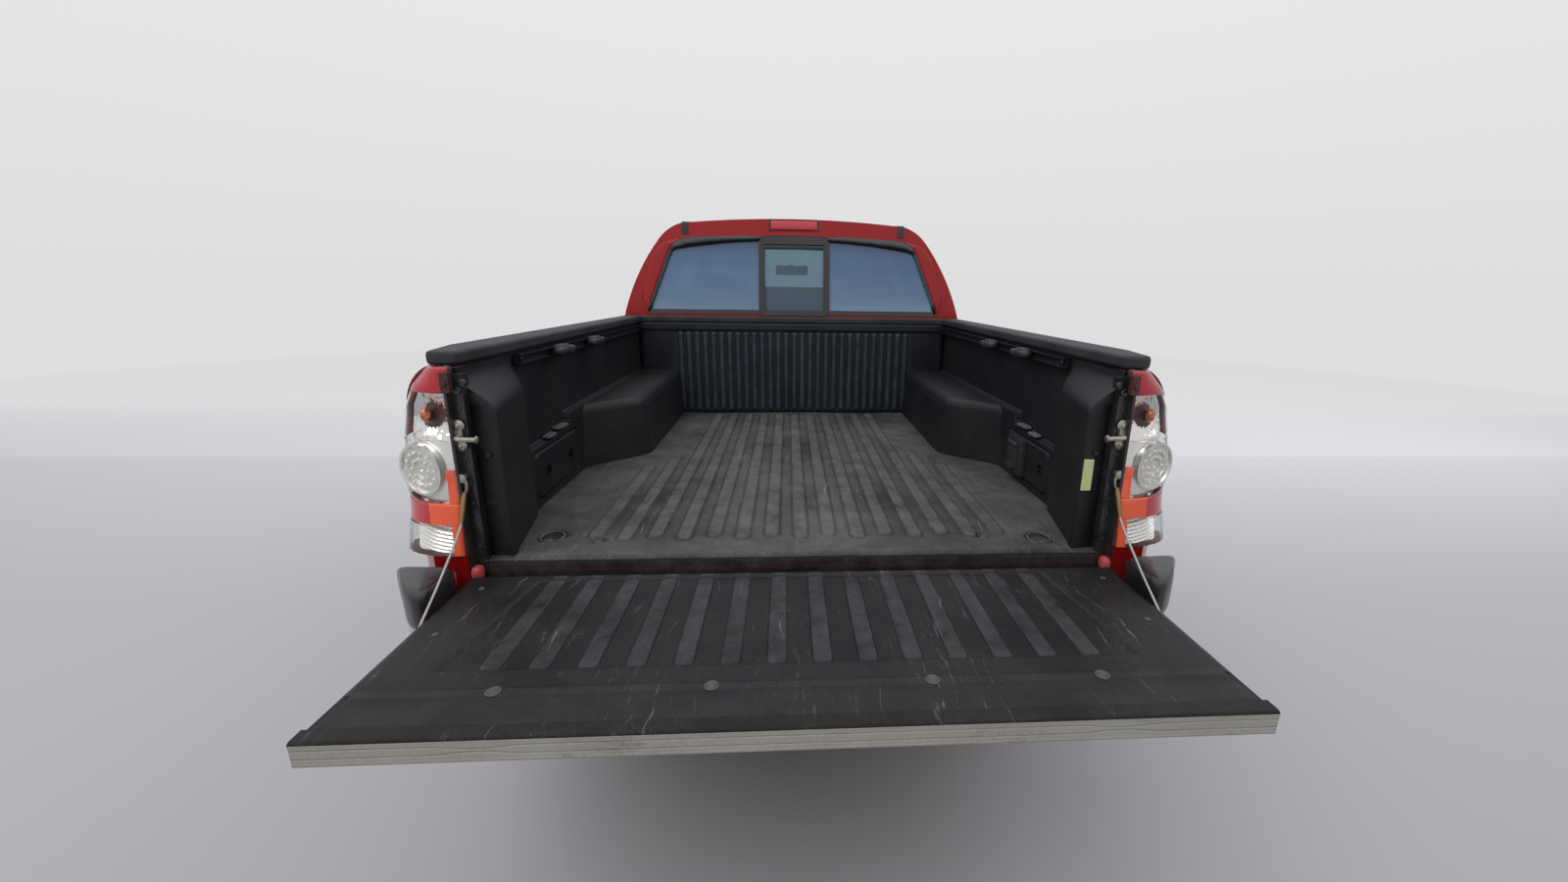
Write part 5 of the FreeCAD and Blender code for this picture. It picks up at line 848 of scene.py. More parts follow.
facet = finish("turn_facets", (0.62, 0.2, 0.12), 0.12, 0.9, pebble=(120.0, 0.006))
cuts = {"block": 1.215, "turn": 1.113, "brake": 0.986, "reflector": 0.938}
z = stations((lamp_low, 0.938, 44), (0.938, 0.986, 9), (0.986, 1.113, 36), (1.113, 1.215, 16), (1.215, lamp_high, 9))
z = np.unique(np.round(np.concatenate([z] + [[cut - 0.0018, cut, cut + 0.0018] for cut in cuts.values()]), 5))
u = np.linspace(0, 1, 33)
across, up = np.meshgrid(u, z, indexing="ij")
seam = np.zeros_like(up)
for cut in cuts.values():
    seam = np.maximum(seam, 0.0022 * (np.abs(up - cut) < 0.001))
flutes = 0.001 * np.cos(across * 2 * np.pi * 24) * (up < cuts["reflector"] - 0.004)
points = lens(across, up, seam + flutes, 0.011)
middle_u, middle_z = np.meshgrid((u[1:] + u[:-1]) / 2, (z[1:] + z[:-1]) / 2, indexing="ij")
reflector = (middle_z < cuts["brake"]) & (middle_z > cuts["reflector"])
zone = np.where(middle_z > cuts["block"], 1, 0)
zone = np.where(reflector, np.where(middle_u < 0.24, 2, 3), zone)
zone = np.where((middle_z < 1.06) & (middle_u < 0.07), 2, zone)
zone = np.where((middle_z > 1.11) & (middle_z < cuts["block"]) & (middle_u > 0.76), 3, zone)
shapes = [(*grid(points), zone.ravel())]
piece("tail_lamp_lenses", "rear_lamps", shapes, [lamp_clear, lamp_red, lamp_orange, prisms], wall=0.0016,
      crease=50, twin=True)
steps = 0.0035 * np.abs(np.sin((up - 0.25 * across * 0.1) * np.pi / 0.0085)) * (up < cuts["brake"])
turn_bowl = (up > cuts["turn"] + 0.004) & (up < cuts["block"] - 0.004)
dish = np.clip(1 - ((across - 0.36) / 0.36) ** 2, 0, 1) * np.clip(1 - ((up - 1.164) / 0.047) ** 2, 0, 1)
inner = lens(across, up, 0.016 + steps + 0.022 * dish * turn_bowl + 0.0016 * np.cos(across * 110) * turn_bowl, 0.0)
zone = np.where(middle_z > cuts["turn"], 0, 1)
chips = np.hypot((middle_u - 0.36) * 0.16, middle_z - 1.166) < 0.02
chips &= np.sin(middle_u * 90) * np.sin(middle_z * 420) > 0.1
zone = np.where(chips, 2, zone)
piece("tail_lamp_bowls", "rear_lamps", [(*grid(inner), zone.ravel())], [bowl_chrome, ring_silver, facet],
      crease=30, twin=True)
centre = lens(LED[0], LED[1], 0.012)
outwards = np.array([math.sin(math.radians(20)), -math.cos(math.radians(20)), 0.0])
rings = [(-0.004, 0), (0.004, 0.004), (0.004, 0.013), (0.0, 0.0145), (0.0, 0.018), (0.005, 0.0195), (0.005, 0.026),
         (0.0, 0.0275), (0.0, 0.032), (0.006, 0.034), (0.006, 0.041), (0.001, 0.0425), (0.001, 0.048),
         (0.008, 0.051), (0.008, 0.056), (-0.006, 0.0565)]
sideways = np.cross(outwards, (0, 0, 1.0))
shapes = [turned(rings, centre, outwards, 64)]
for radius, count in ((0.0225, 8), (0.0375, 14)):
    for i in range(count):
        angle = 2 * np.pi * i / count
        spot = centre + radius * (math.cos(angle) * sideways + math.sin(angle) * np.array((0, 0, 1.0)))
        shapes.append((*disc(0.0026, 0.003, 0.009, spot, outwards, 12, edge=0.4), 1))
bulb = lens(np.array(0.34), np.array(1.166), 0.02)
shapes.append((*pillow(bulb, (0.011, 0.012, 0.015), 2.2, 12), 2))
piece("brake_lamp_rings", "rear_lamps", shapes, [ring_silver, led_white, facet], twin=True)
edge = lens(np.zeros_like(z), z)
wall_y = np.stack([edge[:, 1], edge[:, 1] + 0.09], axis=0)
side_wall = np.stack([np.full_like(wall_y, lamp_in - 0.0006), wall_y, np.stack([z, z])], axis=-1)
shapes = [grid(side_wall)]
for level in (lamp_low + 0.0006, lamp_high - 0.0006):
    shapes.append(grid(np.stack([lens(u, np.full_like(u, level), 0.001),
                                 np.tile((lamp_in, gate_plane + 0.09, level), (33, 1))], axis=0)))
shapes.append(grid(lens(across[::4, ::4], up[::4, ::4], 0.03)))
piece("tail_lamp_housings", "rear_lamps", shapes, [housing], wall=0.0012, twin=True)
bracket = [box((0.694, gate_plane - 0.001, 1.222), (0.711, gate_plane + 0.012, 1.262)),
           disc(0.0065, 0.0, 0.004, (0.704, gate_plane - 0.001, 1.24), (0, -1, 0), 18)]
piece("lamp_brackets", "rear_lamps", bracket, [housing], ease=0.002, twin=True)

# High stop lamp: a low red lens on the roof's rear edge in a thin black gasket, ribbed behind its face.
def cab_back(z):
    """The cab's rear wall leans forward from its foot at the glass by the roof's set-back."""
    return -0.708 + 0.08 * (z - 1.307) / 0.438


u, v = np.meshgrid(np.linspace(-1, 1, 61), np.linspace(0, 1, 13), indexing="ij")
turn = v * np.pi
z = 1.7145 - 0.0205 * np.cos(turn)
x = 0.111 * np.sign(u) * np.abs(u) ** 0.9
out = 0.0085 * np.sin(turn) ** 0.35 * (1 - np.abs(u) ** 14) ** 0.5
piece("high_stop_lamp", "rear_lamps", [sheet(x, cab_back(z) - out, z)], [prisms], wall=0.0012)


def on_wall(left, right, low, high, inner, outer):
    """A flat plate on the cab's rear wall, between two distances from it."""
    corners = [(left, low), (right, low), (right, high), (left, high)]
    plate = np.array([[(x, cab_back(z) - out, z) for x, z in corners] for out in (inner, outer)]).reshape(-1, 3)
    return plate, [(i, (i + 1) % 4, (i + 1) % 4 + 4, i + 4) for i in range(4)] + [(3, 2, 1, 0), (4, 5, 6, 7)]


piece("stop_lamp_gasket", "rear_lamps", [on_wall(-0.117, 0.117, 1.6895, 1.7385, 0.0, 0.003)],
      [dull_black], ease=0.001)

# Cab's rear window: two fixed panes of privacy glass and a clear pane between them that slides, in a black
# frame with an upright bar on each side of the sliding pane and its guide rails above and below.
tinted = finish("privacy_glass", (0.1, 0.16, 0.23), 0.03, Transmission_Weight=0.35, IOR=1.45, Coat_Weight=1.0)
# The privacy glass's blue tint carries painted light and shade: lighter towards the bottom, darker at the top, in
# soft level bands.
tree = tinted.node_tree
place = own_place(tree)
stretched = add(tree, "VectorMath", {"operation": "MULTIPLY"}, i0=place, i1=(2.2, 2.2, 9.0)).outputs["Vector"]
cloud = add(tree, "TexNoise", Vector=stretched, Scale=1.0, Detail=5.0, Roughness=0.55).outputs["Fac"]
level = add(tree, "SeparateXYZ", Vector=place).outputs["Z"]
painted_light_bands = add(tree, "Math", {"operation": "MULTIPLY_ADD"}, i0=cloud, i1=0.45, i2=-0.225).outputs["Value"]
tint_and_painted_light = ramp(tree, sums(tree, "ADD", painted_light_bands, between(tree, level, 1.7, 1.3)), (0.0, (0.035, 0.085, 0.2)),
            (0.45, (0.07, 0.15, 0.29)), (0.8, (0.13, 0.23, 0.37)), (1.0, (0.2, 0.31, 0.43)))
tree.links.new(tint_and_painted_light, tree.nodes["Principled BSDF"].inputs["Base Color"])
clear_glass = finish("clear_glass", (0.72, 0.8, 0.78), 0.01, Transmission_Weight=1.0, IOR=1.1)
sliding_glass = finish("sliding_glass", (0.21, 0.31, 0.39), 0.01, Transmission_Weight=0.75, IOR=1.35)
gloss_black = finish("gloss_black", (0.006, 0.006, 0.007), 0.18, Coat_Weight=0.6,
                     dust=((0.2, 0.19, 0.17), 0.15, 6.0))
dressed("rear_window_glass", [tinted, sliding_glass], pick=lambda face: int(abs(face.center.x) < 0.155))
dressed("windshield glass_front_left glass_front_right", [clear_glass])
dressed("glass_rear_left glass_rear_right", [tinted])
dressed("rear_window_frame", [gloss_black], 0.0015)
shapes = [on_wall(-half + x, half + x, 1.312, 1.655, -0.012, out) for x in (-0.152, 0.152)
          for half, out in ((0.0145, 0.003), (0.006, 0.008))]
shapes += [on_wall(-0.155, 0.155, low, high, -0.014, out)
           for low, high, out in ((1.303, 1.318, 0.006), (1.628, 1.646, 0.004), (1.612, 1.617, 0.0))]
piece("rear_window_bars", "rear_window_frame", shapes, [gloss_black], ease=0.0015)

# The window's sides slant: on each side a painted panel fills the opening's outer corner, edged by the
# frame's rubber.
slant = np.array([(0.6735, 1.318), (0.657, 1.366), (0.6385, 1.413), (0.62, 1.462), (0.6, 1.511), (0.58, 1.566),
                  (0.556, 1.615), (0.52, 1.636), (0.46, 1.646)])


def on_back(line, proud):
    """An (across, up) line laid on the cab's rear wall, standing out from it."""
    return np.stack([line[:, 0], cab_back(line[:, 1]) - proud, line[:, 1]], axis=-1)


away = np.stack([np.gradient(slant[:, 1]), -np.gradient(slant[:, 0])], axis=1)
away /= np.linalg.norm(away, axis=1)[:, None]
outer_line = slant + away * 0.012
rubber_edge = np.stack([on_back(slant, -0.008), on_back(slant, 0.004), on_back(outer_line, 0.004),
                        on_back(outer_line, -0.002)], axis=1)
piece("rear_window_rubber", "rear_window_frame", [grid(rubber_edge)], [gloss_black], wall=0.0015,
      crease=50, twin=True)
band_low = np.array([(0.57, 1.594), (0.545, 1.604), (0.5, 1.612), (0.46, 1.618), (0.36, 1.631), (0.26, 1.64),
                     (0.15, 1.646)])
band_high = np.array([(0.577, 1.598), (0.562, 1.622), (0.52, 1.645), (0.46, 1.655), (0.36, 1.661), (0.26, 1.664),
                      (0.15, 1.666)])
band = np.stack([on_back(band_low, 0.0055), on_back(band_high, 0.0055)], axis=1)
piece("rear_window_band", "rear_window_frame", [grid(band)], [gloss_black], wall=0.003, twin=True)
share = np.linspace(0, 1, 6)[None, :, None]
bulge = 0.022 * np.exp(-((slant[:, 1] - 1.53) / 0.06) ** 2)
reach_out = np.stack([slant[:, 0] + 0.05 * rise(slant[:, 1], 1.318, 1.38) + 0.012 + bulge, slant[:, 1] + 0.006],
                     axis=1)
panel_rows = outer_line[:, None] * (1 - share) + reach_out[:, None] * share
panel = np.stack([panel_rows[..., 0], cab_back(panel_rows[..., 1]) - 0.0035 + 0.003 * share[..., 0] ** 3,
                  panel_rows[..., 1]], axis=-1)
piece("rear_window_panels", "cab_shell", [grid(panel[:8])], [red], wall=0.002, crease=50, twin=True)

# Ditch mouldings: a black strip in the roof's seam on each side, from the windscreen down the rear header.
def roof_line(y):
    """The roof's seam follows an arc 7.9 m in radius whose top lies over the cab's middle."""
    return 1.7575 - (y - 0.142) ** 2 / 15.8


def ribbon(path, half, thick, up):
    """A flat strip along a path: at each point a rectangle, half its width across and thick along up."""
    path, up = np.asarray(path, float), np.asarray(up, float)
    sideways = np.array((half, 0, 0))
    ring = np.stack([path - sideways, path + sideways, path + sideways + up * thick, path - sideways + up * thick,
                     path - sideways], axis=1)
    ends = [np.repeat(path[i][None, None], 5, axis=1) for i in (0, -1)]
    return grid(np.concatenate([ends[0], ring, ends[1]]))


y = np.linspace(0.87, -0.628, 40)
top = np.stack([np.full_like(y, 0.506), y, roof_line(y) - 0.002], axis=1)
z = np.linspace(roof_line(-0.635) - 0.006, 1.668, 8)
back = np.stack([np.full_like(z, 0.506), cab_back(z) + 0.001, z], axis=1)
path = np.concatenate([top, back])
up = np.concatenate([np.tile((0, 0, 1.0), (len(top), 1)), np.tile((0, -1.0, 0), (len(back), 1))])
up[len(top) - 1] = up[len(top)] = (0, -0.7, 0.7)
piece("ditch_mouldings", "cab_shell", [ribbon(path, 0.015, 0.005, up)], [dull_black], ease=0.001,
      twin=True)

# Rail caps: grained black mouldings clipped over the bed's top edges, their outer corners well rounded.
cap_grain = finish("rail_cap_black", (0.011, 0.012, 0.014), 0.62, dust=((0.13, 0.13, 0.13), 0.45, 7.0),
                   pebble=(620.0, 0.0007))
dressed("bed_rail_caps", [cap_grain], 0.009, 30)

# Rear sill: the bed's last cross member, its top edge turned down in front of the tailgate. Its black is painted
# shade, standing for the shadow in the gap between floor and gate.
sill = [(bed_rear + 0.012, deck - 0.004), (bed_rear + 0.002, deck - 0.005), (bed_rear + 0.0004, deck - 0.01),
        (bed_rear + 0.0004, deck - 0.05), (bed_rear - 0.013, deck - 0.066), (bed_rear - 0.013, deck - 0.13),
        (bed_rear + 0.012, deck - 0.13)]
piece("bed_rear_sill", "bed_tub", [bar(sill, -0.706, 0.706, 0)], [black_paint_and_shade], ease=0.002)

# Tailgate liner: one grained moulding screwed to the gate's inner face. Fourteen ribs stand in a sunk field,
# a low lip and a broad band run along the far edge, and small pads stand at the hinge edge.
gate_black = finish("gate_liner", (0.0045, 0.0048, 0.0058), 0.46, worn=(0.033, 0.033, 0.036),
                    dust=((0.06, 0.058, 0.056), 0.4, 6.0), scuff=((0.24, 0.24, 0.25), 0.42, (110.0, 5.0, 60.0)),
                    Specular_IOR_Level=0.25, pebble=(560.0, 0.00045))
liner_low, liner_high = corners_of("tailgate_liner")
gate_top, gate_near, gate_far = liner_high.z, liner_high.y, liner_low.y
gate_half = liner_high.x
rib_pitch, rib_half, rib_centre, rib_deep = 0.0775, 0.0185, -0.011, 0.0048
field_y, lip_y = (gate_near - 0.02, -2.664), (-2.702, -2.726)


def gate_field(x, y):
    """1 inside the sunk field, whose ends slant out towards the hinge edge, 0 outside."""
    ends = 0.588 - 0.045 * (y - field_y[1]) / (field_y[0] - field_y[1])
    return ((1 - rise(np.abs(x - rib_centre), ends - 0.004, ends)) * (1 - rise(y, field_y[0] - 0.004, field_y[0]))
            * rise(y, field_y[1], field_y[1] + 0.004))


def gate_ribs(x, y):
    """The ribs' tops: flat across, rounded off towards both ends of each run."""
    height = np.zeros_like(x + y)
    for i in range(14):
        apart = np.hypot(x - rib_centre - (i - 6.5) * rib_pitch,
                         y - np.clip(y, field_y[1] + 0.006 + rib_half * 0.5, field_y[0] - 0.004 - rib_half * 0.5))
        height = np.maximum(height, 1 - rise(apart, rib_half - 0.0035, rib_half + 0.0005))
    return height


offsets = np.array([0, rib_half - 0.006, rib_half - 0.0035, rib_half - 0.0015, rib_half + 0.0005, rib_half + 0.004])
across = [rib_centre + (i - 6.5) * rib_pitch + side * offsets for i in range(14) for side in (-1, 1)]
across += [both_ways(0.53, 0.6, 16) + rib_centre, both_ways(0.61, gate_half, 10)]
across = np.unique(np.round(np.concatenate(across), 5))
along = stations((gate_near - 0.05, gate_near, 36), (-2.63, gate_near - 0.05, 20), (-2.672, -2.63, 26),
                 (-2.7, -2.672, 4), (-2.73, -2.7, 24), (gate_far, -2.73, 8))
x, y = np.meshgrid(across, along, indexing="ij")
ribs = gate_ribs(x, y)
field = gate_field(x, y)
height = -rib_deep * field * (1 - ribs)
lip = rise(y, lip_y[1], lip_y[1] + 0.003) * (1 - rise(y, lip_y[0] - 0.01, lip_y[0]))
height += 0.0012 * lip * (np.abs(x) < gate_half - 0.02) - 0.0018 * rise(-y, 2.728, 2.733)
pads = np.zeros_like(x)
for i in range(14):
    pad_x = rib_centre + (i - 6.5) * rib_pitch
    pads = np.maximum(pads, (1 - rise(np.abs(x - pad_x), 0.013, 0.016))
                      * (1 - rise(np.abs(y - gate_near + 0.01), 0.0045, 0.007)))
height += 0.0012 * pads
height -= 0.004 * rise(np.abs(x), gate_half - 0.004, gate_half) + 0.003 * rise(y, gate_near - 0.004, gate_near)
pull_in = 0.01 * rise(-y, 2.712, 2.718) * (1 - rise(-y, 2.735, 2.742)) * rise(np.abs(x), gate_half - 0.03, gate_half)
rubbed_and_shaded = np.clip(ribs * field + 0.9 * pads + 0.45 * lip + 0.3 * rise(-y, 2.73, 2.74), 0, 1)
rubbed_and_shaded = np.where(field * (1 - ribs) > 0.5, 0.02, np.maximum(rubbed_and_shaded, 0.16))
piece("gate_liner", "tailgate_liner", [sheet(x - np.sign(x) * pull_in, y, gate_top - 0.0014 + height)],
      [gate_black], "tailgate", wall=0.003, facing=(0, 0, 1), worn=rubbed_and_shaded, crease=60)
edge = bar([(gate_far + 0.001, gate_top - 0.009), (gate_near - 0.001, gate_top - 0.009),
            (gate_near - 0.001, gate_top - 0.005), (gate_far + 0.001, gate_top - 0.005)], -gate_half, gate_half, 0)
piece("gate_liner_edge", "tailgate_liner", [edge], [gate_black], "tailgate", ease=0.001)
bolt_head = [(0, 0.012), (0.0016, 0.0115), (0.0022, 0.009), (0.0014, 0.0075), (0.003, 0.006), (0.0034, 0)]
shapes = [turned(bolt_head, (x, -2.716, gate_top - 0.001), (0, 0, 1), 24) for x in (-0.48, -0.15, 0.2, 0.48)]
shapes += [disc(0.006, -0.001, 0.0012, (x, y, gate_top - 0.001), (0, 0, 1), 20, edge=0.3)
           for x in (-0.655, 0.655) for y in (-2.4, -2.56)]
piece("gate_liner_bolts", "tailgate_liner", shapes, [dark_zinc], "tailgate")

# Far-edge cap: a weathered pale moulding that wraps the gate's top edge, with long grooves in its face that
# step down and up again near the ends.
cap_low, cap_high = corners_of("tailgate_cap")
cap_plastic = finish("gate_cap", (0.3, 0.285, 0.25), 0.68, worn=(0.2, 0.19, 0.165),
                     dust=((0.16, 0.145, 0.12), 0.75, 9.0), scuff=((0.1, 0.09, 0.08), 0.6, (3.0, 70.0, 90.0)),
                     pebble=(300.0, 0.0005))
across = stations((cap_low.x, -0.6, 10), (-0.6, -0.36, 50), (-0.36, 0.36, 24), (0.36, 0.6, 50),
                  (0.6, cap_high.x, 10))
tall = cap_high.z - cap_low.z
turn = np.linspace(0, np.pi / 2, 7)
face_y = [(cap_high.y, cap_high.z - 0.0006)]
face_y += [(cap_low.y + 0.006 - 0.006 * math.sin(a), cap_high.z - 0.006 + 0.006 * math.cos(a) - 0.0006)
           for a in turn]
face_y += [(cap_low.y + 0.0006, cap_high.z - share * tall) for share in np.linspace(0.2, 0.82, 44)]
face_y += [(cap_low.y + 0.006 - 0.006 * math.cos(a), cap_low.z + 0.006 - 0.006 * math.sin(a)) for a in turn]
face_y += [(cap_high.y, cap_low.z + 0.001)]
profile = np.array(face_y)
x, row = np.meshgrid(across, np.arange(len(profile)), indexing="ij")
y, z = profile[row, 0], profile[row, 1]
down = (cap_high.z - z) / tall
jog = 0.1 * (rise(x, -0.53, -0.47) - rise(x, -0.45, -0.4) + rise(x, 0.4, 0.45) - rise(x, 0.47, 0.53))
groove = np.zeros_like(x)
for level, deep in ((0.34, 0.001), (0.66, 0.0012)):
    groove += deep * np.exp(-((down - level - jog * (1 if level < 0.5 else -1)) / 0.022) ** 2)
on_face = (down > 0.2) & (down < 0.82)
y = y + groove * on_face
# Along the grooves the cap's face is coloured darker.
in_groove = np.clip(np.abs(groove) / 0.001, 0, 1) * on_face
upper = (row[1:, 1:] < 7).ravel().astype(int)
piece("gate_cap", "tailgate_cap", [(*sheet(x, y, z), upper)], [cap_plastic, gate_black], "tailgate",
      facing=(0, -1, 0.3), worn=in_groove, crease=60)
ends = [bar([(cap_high.y, cap_high.z - 0.001), (cap_high.y, cap_low.z + 0.001),
             (cap_low.y + 0.006, cap_low.z + 0.001), (cap_low.y + 0.001, cap_low.z + 0.006),
             (cap_low.y + 0.001, cap_high.z - 0.006), (cap_low.y + 0.006, cap_high.z - 0.001)],
            side * (cap_high.x - 0.0012), side * cap_high.x, 0) for side in (-1, 1)]
piece("gate_cap_ends", "tailgate_cap", ends, [cap_plastic], "tailgate")

# Tailgate hinges: a painted ball-shaped cover at each end, and on the outer face the black pull handle.
shapes = [pillow((0.699, gate_hinge.y + 0.012, gate_hinge.z + 0.022), (0.0115, 0.016, 0.017), 2.4, 12)]
piece("hinge_covers", "bed_tub", shapes,
      [finish("hinge_pink_red", (0.34, 0.03, 0.04), 0.5, dust=((0.3, 0.2, 0.2), 0.6, 40.0))], twin=True)
gate_under = gate_hinge.z - 0.035
bezel = [pillow((0, gate_hinge.y - 0.25, gate_under - 0.001), (0.12, 0.052, 0.0065), 8, 14)]
grip = [pillow((0, gate_hinge.y - 0.262, gate_under - 0.006), (0.082, 0.026, 0.009), 6, 14)]
piece("gate_handle", "tailgate_shell", bezel + grip, [dull_black], "tailgate")

# Rear bumper: a chromed steel step with black plastic caps on its corners and ribbed tread pads on top. The
# bolt holes and the hole for a tow ball stay open.
chrome = finish("bumper_chrome", (0.62, 0.62, 0.63), 0.1, 1.0, dust=((0.35, 0.31, 0.27), 0.35, 7.0),
                splash=(0.5, 0.85, 0.75))
bumper_low, bumper_high = corners_of("rear_bumper")


def swept(corners):
    """The bumper's ends sweep in and forwards: past 0.72 m the width shrinks and the rear face moves ahead
    with the square of the way out, the rear face most and the front face not at all."""
    corners = np.array(corners, float)
    beyond = np.clip((np.abs(corners[:, 0]) - 0.72) / (bumper_high.x - 0.72), 0, 1.05)
    rear = (bumper_high.y - corners[:, 1]) / (bumper_high.y - bumper_low.y)
    shrunk = 0.72 + (np.abs(corners[:, 0]) - 0.72) * (0.8 - 0.22 * rear)
    corners[:, 0] = np.where(beyond > 0, np.sign(corners[:, 0]) * shrunk, corners[:, 0])
    corners[:, 1] += 0.075 * rear * beyond ** 2
    return corners


dressed("rear_bumper", [chrome], 0.006, 34, cuts=[(0, side * place) for side in (-1, 1)
                                                  for place in (0.75, 0.78, 0.81, 0.84)], warp=swept)
cap_black = finish("bumper_cap_black", (0.01, 0.01, 0.011), 0.3, dust=((0.14, 0.13, 0.12), 0.35, 6.0),
                   pebble=(520.0, 0.0003), Coat_Weight=0.3)
block, faces = pillow((0.797, (bumper_low.y + bumper_high.y) / 2 - 0.002, 0.821), (0.081, 0.064, 0.047), 5, 30)
piece("bumper_corner_caps", "rear_bumper", [(swept(block), faces)], [cap_black], twin=True)
step_top = 0.742
shapes = []
for x0, x1, rear in ((-0.7, -0.3, 0.014), (-0.2, 0.2, 0.075), (0.3, 0.7, 0.014)):
    shapes.append(box((x0, bumper_low.y + rear, step_top), (x1, bumper_high.y - 0.016, step_top + 0.003)))
    if rear < 0.05:
        shapes += [box((x0 + 0.015, bumper_low.y + 0.026 + 0.013 * i, step_top + 0.003),
                       (x1 - 0.015, bumper_low.y + 0.031 + 0.013 * i, step_top + 0.0055)) for i in range(6)]
piece("bumper_tread", "rear_bumper", shapes, [tank_plastic], ease=0.0008)

# Tyres: all-terrain tyres of black rubber. The tread is five rings of blocks between four round grooves,
# the cross grooves slant and shift from ring to ring, and the shoulder blocks run down onto the sidewall.
def wheel_spot(node):
    """The middle of a CAD node's box."""
    low, high = corners_of(node)
    return (low + high) / 2


def tread_part(across):
    """1 on a block ring and 0 in a round groove, from the distance to the tyre's middle plane."""
    in_groove = np.zeros_like(across)
    for groove, half in ((0.0185, 0.0045), (0.059, 0.005)):
        apart = np.abs(np.abs(across) - groove)
        in_groove = np.maximum(in_groove, 1 - rise(apart, half - 0.001, half + 0.0015))
    return 1 - in_groove


def tyre_mesh(spot, outer_side, scale=1.0, pitches=52):
    """The tyre's skin: its section from bead to bead carried round the axle. Round grooves and, in every
    pitch, a cross groove lower the tread; the pitch line is sheared ring by ring."""
    side = [(0.098, 0.212), (0.106, 0.2135), (0.109, 0.222), (0.113, 0.228), (0.1135, 0.231), (0.116, 0.24),
            (0.1205, 0.258), (0.1205, 0.262), (0.123, 0.264), (0.1245, 0.29), (0.1245, 0.312), (0.1225, 0.3145),
            (0.1222, 0.33), (0.1195, 0.345), (0.1155, 0.358), (0.109, 0.37), (0.101, 0.3785), (0.094, 0.3828)]
    crown = np.array([0.086, 0.068, 0.0655, 0.064, 0.059, 0.054, 0.0525, 0.039, 0.025, 0.0235, 0.0185,
                      0.014, 0.0125, 0.0])
    arc = [(place, 0.388 - 0.0042 * (place / 0.092) ** 2) for place in crown]
    section = np.array(side + arc + [(-a, r) for a, r in reversed(arc[:-1])] + [(-a, r) for a, r in reversed(side)])
    within = np.array([0.0, 0.05, 0.09, 0.5, 0.8, 0.84, 0.92, 0.96])
    turn = (np.arange(pitches)[:, None] + within[None, :]).ravel() / pitches
    turn = np.append(turn, 1.0)
    across, radius = section[:, 0], section[:, 1]
    ring = np.abs(across)
    shift = (0.42 * rise(ring, 0.052, 0.066) + 0.38 * np.sign(across) * rise(ring, 0.012, 0.025)
             + 8.0 * np.clip(across, -0.055, 0.055)) / pitches
    u, v = np.meshgrid(turn, np.arange(len(section)), indexing="ij")
    phase = (u * pitches) % 1.0
    cross = rise(phase, 0.8, 0.84) * (1 - rise(phase, 0.92, 0.96))
    cross = np.maximum(cross, 0.55 * (1 - rise(np.abs(phase - 0.07), 0.0, 0.022)) * (ring[v] < 0.06))
    reach = rise(radius, 0.356, 0.36)[v]
    round_loss = (1 - tread_part(across)[v]) * (ring[v] < 0.09)
    loss = 0.0085 * np.maximum(round_loss, cross) * reach
    shoulder = (ring[v] > 0.09) * reach
    r = radius[v] - loss * (1 - 0.55 * shoulder)
    a = across[v] - np.sign(across[v]) * loss * 0.55 * shoulder
    angle = 2 * np.pi * (u + shift[v])
    scuffed = np.clip(1 - loss / 0.003, 0, 1) * (radius[v] > 0.382)
    corners = np.stack([spot.x + outer_side * a * scale, spot.y + r * scale * np.cos(angle),
                        spot.z + r * scale * np.sin(angle)], axis=-1)
    return corners, scuffed


rubber = finish("tyre_rubber", (0.013, 0.013, 0.0135), 0.72, worn=(0.04, 0.039, 0.037),
                dust=((0.17, 0.155, 0.13), 0.45, 9.0), pebble=(700.0, 0.0003))
alloy = finish("wheel_alloy", (0.5, 0.51, 0.52), 0.26, 0.85, dust=((0.16, 0.14, 0.12), 0.5, 14.0),
               pebble=(900.0, 0.0002), Coat_Weight=0.6)
well_dark = finish("rim_barrel", (0.1, 0.1, 0.105), 0.45, 0.7, dust=((0.12, 0.1, 0.08), 0.8, 10.0))
nut_steel = finish("wheel_nuts", (0.55, 0.55, 0.56), 0.22, 1.0)
wheels = [(f"{end}_{word}", side) for end in ("front", "rear") for word, side in both_sides]
for place, side in wheels:
    corners, scuffed = tyre_mesh(wheel_spot("tyre_" + place), side)
    piece("tyre_skin_" + place, "tyre_" + place, [grid(corners)], [rubber], "wheel_" + place, worn=scuffed,
          crease=42)
spare_low, spare_high = corners_of("spare_wheel")
spare = (spare_low + spare_high) / 2
corners, scuffed = tyre_mesh(Vector((0, 0, 0)), 1, min((spare_high.x - spare_low.x) / 2 / 0.388,
                                                       (spare_high.z - spare_low.z) / 2 / 0.1245), 36)
corners = np.stack([corners[..., 2] + spare.x, corners[..., 1] + spare.y, spare.z - corners[..., 0]], axis=-1)
piece("tyre_skin_spare", "spare_wheel", [grid(corners)], [rubber], worn=scuffed, crease=42)

